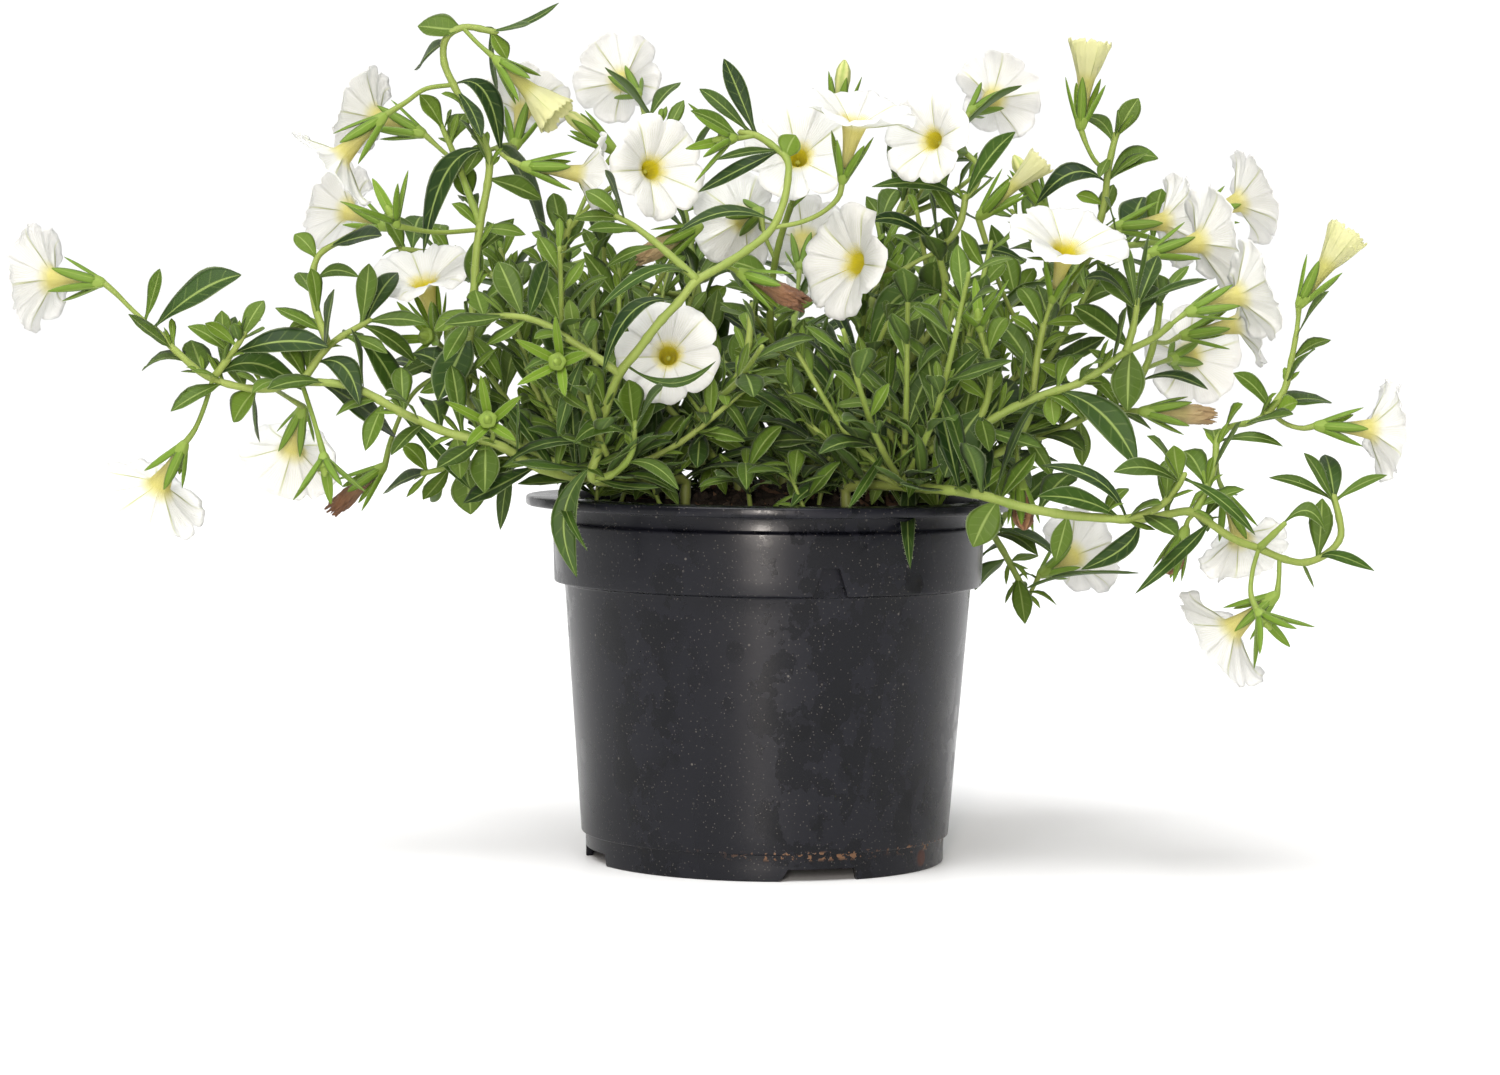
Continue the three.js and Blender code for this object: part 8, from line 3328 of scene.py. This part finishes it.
@dataclass(frozen=True)
class PotPlastic:
    """Black moulded plastic with a dusty film, water marks, specks and a stained foot."""

    bare: Colour = (0.0012, 0.0014, 0.0026)
    film: Colour = (0.0066, 0.0069, 0.0105)
    dust: Colour = (0.26, 0.24, 0.21)
    crumb: Colour = (0.16, 0.085, 0.045)
    stain: Colour = (0.060, 0.022, 0.014)
    stain_angle: float = -31.0

    def material(self) -> bpy.types.Material:
        """Builds the finish.

        The film is a slow cloud, broken by water marks where two clouds are both high, and
        by the rings of small dried drops. Dust is the hearts of small cells. Crumbs stick
        in the corner over the foot, and a rusty stain lies at one place on the foot.

        Returns:
            The material.
        """
        w = Wiring("pot_plastic")
        here = w.here()
        x, y, height = w.split(here)
        cloud = w.noise(w.here((1.0, 1.0, 0.6)), 24.0, 4.0, 0.55)
        spots = w.noise(w.here((1.0, 1.0, 0.8)), 130.0, 4.0, 0.62)
        marks = w.times(w.step(spots, 0.485, 0.515), w.step(cloud, 0.46, 0.54))
        drop = w.cells(w.here((1.0, 1.0, 0.8)), 95.0)
        sparse = w.step(w.noise(here, 30.0, 1.0), 0.50, 0.60)
        drops = w.times(w.step(drop, 0.24, 0.30, 1.0, 0.0), sparse)
        film = w.step(cloud, 0.2, 0.75, 0.35, 1.0)
        film = w.minus(film, w.times(marks, 0.62), clamp=True)
        film = w.minus(film, w.times(drops, 0.4), clamp=True)
        streak = w.noise(w.here((1.0, 1.0, 0.08)), 85.0, 2.0)
        film = w.scaled(w.minus(streak, 0.5), 0.3, film, clamp=True)
        colour = w.mix(film, self.bare, self.film)
        speck = w.step(w.cells(here, 260.0), 0.06, 0.10, 1.0, 0.0)
        thin = w.step(w.noise(here, 60.0, 2.0), 0.46, 0.62)
        fine = w.times(w.step(w.cells(here, 900.0), 0.10, 0.17, 1.0, 0.0), 0.35)
        dust = w.math("MAXIMUM", w.times(w.times(speck, thin), 0.5), fine)
        colour = w.mix(w.times(dust, 0.6), colour, self.dust)
        corner = w.times(w.step(height, 0.0050, 0.0062), w.step(height, 0.0082, 0.0072))
        grit = w.step(w.noise(here, 650.0, 2.0, 0.6), 0.56, 0.60)
        crumbs = w.times(corner, grit)
        crumbs = w.times(crumbs, w.step(w.noise(here, 60.0, 1.0), 0.45, 0.6))
        colour = w.mix(w.times(crumbs, 0.85), colour, self.crumb)
        way = math.radians(self.stain_angle)
        centre = (0.048 * math.cos(way), 0.048 * math.sin(way), 0.0035)
        apart = [w.minus(value, at) for value, at in zip((x, y, height), centre)]
        square = w.plus(w.math("POWER", w.math("ABSOLUTE", apart[0]), 2.0),
                        w.math("POWER", w.math("ABSOLUTE", apart[1]), 2.0))
        square = w.plus(square, w.math("POWER", w.math("ABSOLUTE", apart[2]), 2.0))
        ragged = w.times(w.math("SQRT", square), w.step(spots, 0.2, 0.8, 0.75, 1.5))
        stain = w.step(ragged, 0.0018, 0.0030, 0.85, 0.0)
        colour = w.mix(stain, colour, self.stain)
        rough = w.scaled(film, 0.15, 0.19)
        rough = w.plus(rough, w.times(w.math("MAXIMUM", crumbs, stain), 0.3), clamp=True)
        grain = w.noise(here, 1500.0, 2.0)
        relief = w.plus(w.times(grain, 0.22), w.times(crumbs, 2.2))
        return w.surface(colour, rough, w.bump(relief, 0.35, 0.00018), 0.22)


@dataclass(frozen=True)
class DampPeat:
    """Dark damp peat with browner bark crumbs."""

    peat: Colour = (0.0125, 0.0082, 0.0055)
    dry: Colour = (0.038, 0.025, 0.015)
    bark: Colour = (0.075, 0.043, 0.024)

    def material(self) -> bpy.types.Material:
        """Builds the finish: clouds of two sizes, and bark where a crumb's look says so.

        Returns:
            The material.
        """
        w = Wiring("damp_peat")
        here = w.here()
        tone, bark, _ = w.triple("look")
        cloud = w.noise(here, 240.0, 4.0, 0.7)
        dry = w.scaled(tone, 0.6, w.scaled(cloud, 1.2, -0.7), clamp=True)
        colour = w.mix(bark, w.mix(dry, self.peat, self.dry), self.bark)
        grain = w.noise(here, 1700.0, 3.0, 0.7)
        return w.surface(colour, 0.88, w.bump(grain, 0.9, 0.0006), 0.25)


class Finishes:
    """Every material of the part, built once."""

    def __init__(self) -> None:
        """Builds the materials."""
        self.pot = PotPlastic().material()
        self.soil = DampPeat().material()
        leaf = LeafGreen("leaf_green", (0.0088, 0.0285, 0.0036), (0.050, 0.108, 0.0090),
                         (0.150, 0.245, 0.020), (0.090, 0.150, 0.033), (0.25, 0.34, 0.085))
        sepal = LeafGreen("sepal_green", (0.058, 0.126, 0.010), (0.132, 0.236, 0.018), (0.18, 0.295, 0.024),
                          (0.138, 0.235, 0.026), (0.28, 0.38, 0.075), 3.0)
        bud = PlainTissue("bud_tissue", (0.62, 0.63, 0.26), (0.30, 0.40, 0.09), 0.55, 0.3, 1.0)
        dried = PlainTissue("dried_tissue", (0.30, 0.16, 0.075), (0.085, 0.035, 0.018), 0.85, 0.1, 1.0)
        down = PlainTissue("down", (0.62, 0.70, 0.42), (0.42, 0.52, 0.24), 0.5, 0.4)
        self.stem = [StemBark().material(), leaf.material(), sepal.material(), bud.material(),
                     dried.material(), down.material()]
        white = PetalSkin("petal_white", (0.93, 0.93, 0.92), (0.84, 0.845, 0.83), (0.93, 0.80, 0.035), 0.21,
                          (0.60, 0.64, 0.26), 1.25, (0.84, 0.80, 0.36), (0.44, 0.47, 0.09), 0.55)
        pale = PetalSkin("petal_pale", (0.80, 0.80, 0.50), (0.70, 0.70, 0.34), (0.62, 0.58, 0.14), 0.3,
                         (0.48, 0.56, 0.16), 1.2, (0.74, 0.72, 0.26), (0.42, 0.48, 0.10), 0.5)
        faded = PetalSkin("petal_faded", (0.62, 0.50, 0.27), (0.46, 0.34, 0.16), (0.42, 0.30, 0.10), 0.3,
                          (0.30, 0.20, 0.08), 1.2, (0.52, 0.46, 0.20), (0.26, 0.20, 0.07), 0.25, 0.7)
        brown = PetalSkin("petal_dried", (0.27, 0.135, 0.062), (0.15, 0.065, 0.032),
                          (0.18, 0.09, 0.04), 0.3, (0.10, 0.045, 0.022), 1.2,
                          (0.24, 0.13, 0.06), (0.10, 0.05, 0.025), 0.12, 0.8,
                          (0.07, 0.032, 0.02))
        self.white, self.pale, self.faded, self.brown = (
            skin.material() for skin in (white, pale, faded, brown)
        )

    def petal(self, flower: FlowerPlace) -> tuple[bpy.types.Material, str]:
        """The material and the record's slot of a corolla.

        Args:
            flower: the flower.

        Returns:
            The material and the slot.
        """
        if flower.kind is Kind.OPEN:
            return self.white, "petal"
        if flower.kind is Kind.TRUMPET:
            return self.pale, "petal_pale"
        return (self.faded if "faded" in flower.piece else self.brown), "petal_withered"


# --------------------------------------------------------------- stage, light and view


@dataclass(frozen=True)
class Softbox:
    """An oblong soft light: where it hangs and its sides in metres, its power in watts and colour."""

    name: str
    place: Colour
    width: float
    height: float
    power: float
    colour: Colour = (1.0, 1.0, 1.0)

    def hang(self) -> None:
        """Hangs the light, turned to the plant's middle."""
        light = bpy.data.lights.new(self.name, "AREA")
        light.shape, light.energy = "RECTANGLE", self.power
        light.size, light.size_y = self.width, self.height
        light.color = self.colour
        held = bpy.data.objects.new(self.name, light)
        aim = Vector((0.0, 0.0, 0.13)) - Vector(self.place)
        turn = aim.to_track_quat("-Z", "Y").to_matrix().to_4x4()
        held.matrix_world = Matrix.Translation(self.place) @ turn
        bpy.context.scene.collection.objects.link(held)


@dataclass(frozen=True)
class Studio:
    """The pale floor, the soft white light and the camera."""

    eye: Colour = (-0.0049, -1.0, 0.141)
    down: float = 3.154
    lean: float = 0.7
    lens: float = 89.6
    floor_side: float = 9.0
    floor_white: float = 0.86
    floor_rough: float = 0.5
    floor_shine: float = 0.2
    backdrop: float = 1.05
    front: float = 0.35
    sun_way: Colour = (0.20, 0.46, -1.0)
    sun_power: float = 3.8
    fade: tuple[float, float] = (0.2, 0.85)
    sun_angle: float = 50.0
    boxes: tuple[Softbox, ...] = (
        Softbox("front_light", (-0.12, -1.9, 0.30), 0.15, 0.9, 38.0, (1.0, 0.92, 0.85)),
    )

    def set_up(self) -> None:
        """Lays the floor, hangs the lights and sets the camera."""
        self._floor()
        self._sky()
        self._sun()
        for box in self.boxes:
            box.hang()
        self._camera()
        bpy.context.scene.view_settings.view_transform = "Standard"

    def _floor(self) -> None:
        """Lays a wide pale floor at the height of the pot's foot."""
        half = self.floor_side / 2
        mesh = bpy.data.meshes.new("floor")
        corners = [(-half, -half, 0), (half, -half, 0), (half, half, 0), (-half, half, 0)]
        mesh.from_pydata(corners, [], [(0, 1, 2, 3)])
        floor = bpy.data.objects.new("floor", mesh)
        bpy.context.scene.collection.objects.link(floor)
        white = (self.floor_white, self.floor_white, self.floor_white)
        finish = Wiring("floor").surface(white, self.floor_rough, specular=self.floor_shine)
        mesh.materials.append(finish)

    def _sky(self) -> None:
        """Surrounds everything with white: a bright backdrop behind, and a room that lights it less.

        The room is as white as the backdrop where it is seen straight on, so that every side of
        the plant has the same plain background.
        """
        world = bpy.data.worlds.new("soft_white")
        world.use_nodes = True
        tree = world.node_tree
        way = tree.nodes.new("ShaderNodeTexCoord")
        parts = tree.nodes.new("ShaderNodeSeparateXYZ")
        fade = tree.nodes.new("ShaderNodeMapRange")
        fade.interpolation_type = "SMOOTHSTEP"
        for key, number in (("From Min", self.fade[0]), ("From Max", self.fade[1]), ("To Min", self.front),
                            ("To Max", self.backdrop)):
            fade.inputs[key].default_value = number
        tree.links.new(way.outputs["Generated"], parts.inputs[0])
        tree.links.new(parts.outputs[1], fade.inputs["Value"])
        background = tree.nodes["Background"]
        background.inputs[0].default_value = (1.0, 1.0, 1.0, 1.0)
        seen = tree.nodes.new("ShaderNodeLightPath")
        plain = tree.nodes.new("ShaderNodeMath")
        plain.operation = "MULTIPLY"
        plain.inputs[1].default_value = self.backdrop
        brighter = tree.nodes.new("ShaderNodeMath")
        brighter.operation = "MAXIMUM"
        tree.links.new(seen.outputs["Is Camera Ray"], plain.inputs[0])
        tree.links.new(plain.outputs[0], brighter.inputs[0])
        tree.links.new(fade.outputs["Result"], brighter.inputs[1])
        tree.links.new(brighter.outputs[0], background.inputs[1])
        bpy.context.scene.world = world

    def _sun(self) -> None:
        """Hangs one broad soft light far off, above and to the left in front."""
        light = bpy.data.lights.new("sun", "SUN")
        light.energy, light.angle = self.sun_power, math.radians(self.sun_angle)
        held = bpy.data.objects.new("sun", light)
        held.matrix_world = Vector(self.sun_way).to_track_quat("-Z", "Y").to_matrix().to_4x4()
        bpy.context.scene.collection.objects.link(held)

    def _camera(self) -> None:
        """Sets the camera level behind the eye, tipped down and leaned a little."""
        lens = bpy.data.cameras.new("camera")
        lens.lens, lens.sensor_width = self.lens, 36.0
        camera = bpy.data.objects.new("camera", lens)
        tip = Matrix.Rotation(math.radians(90 - self.down), 4, "X")
        roll = Matrix.Rotation(math.radians(self.lean), 4, "Z")
        camera.matrix_world = Matrix.Translation(self.eye) @ tip @ roll
        bpy.context.scene.collection.objects.link(camera)
        bpy.context.scene.camera = camera


def main() -> None:
    """Grows the plant, builds each piece in order and sets up the studio."""
    logging.basicConfig(level=logging.INFO, format="%(message)s")
    growth = Growth()
    Thicket(growth)
    finishes = Finishes()
    seat(NurseryPot().build(finishes.pot), "pot_plastic", "pot")
    seat(PottingSoil([plant.plan.foot for plant in growth.plants]).build(finishes.soil), "soil", "soil")
    draws = Draws(RULE.seed + 1)
    for plant in growth.plants:
        stem = LeafyStem(plant, draws)
        seat(stem.skin.build("leafy_" + plant.name, finishes.stem), "foliage", plant.name)
        for flower in plant.flowers:
            if flower.piece is not None:
                finish, slot = finishes.petal(flower)
                corolla = Corolla(flower, draws).skin.build("corolla_" + flower.piece, [finish])
                seat(corolla, slot, flower.piece)
    Studio().set_up()
    faces = [len(piece.data.loop_triangles) for piece in bpy.data.objects if piece.type == "MESH"]
    log.info("%d triangles, at most %d a piece", sum(faces), max(faces))


if __name__ == "__main__":
    main()
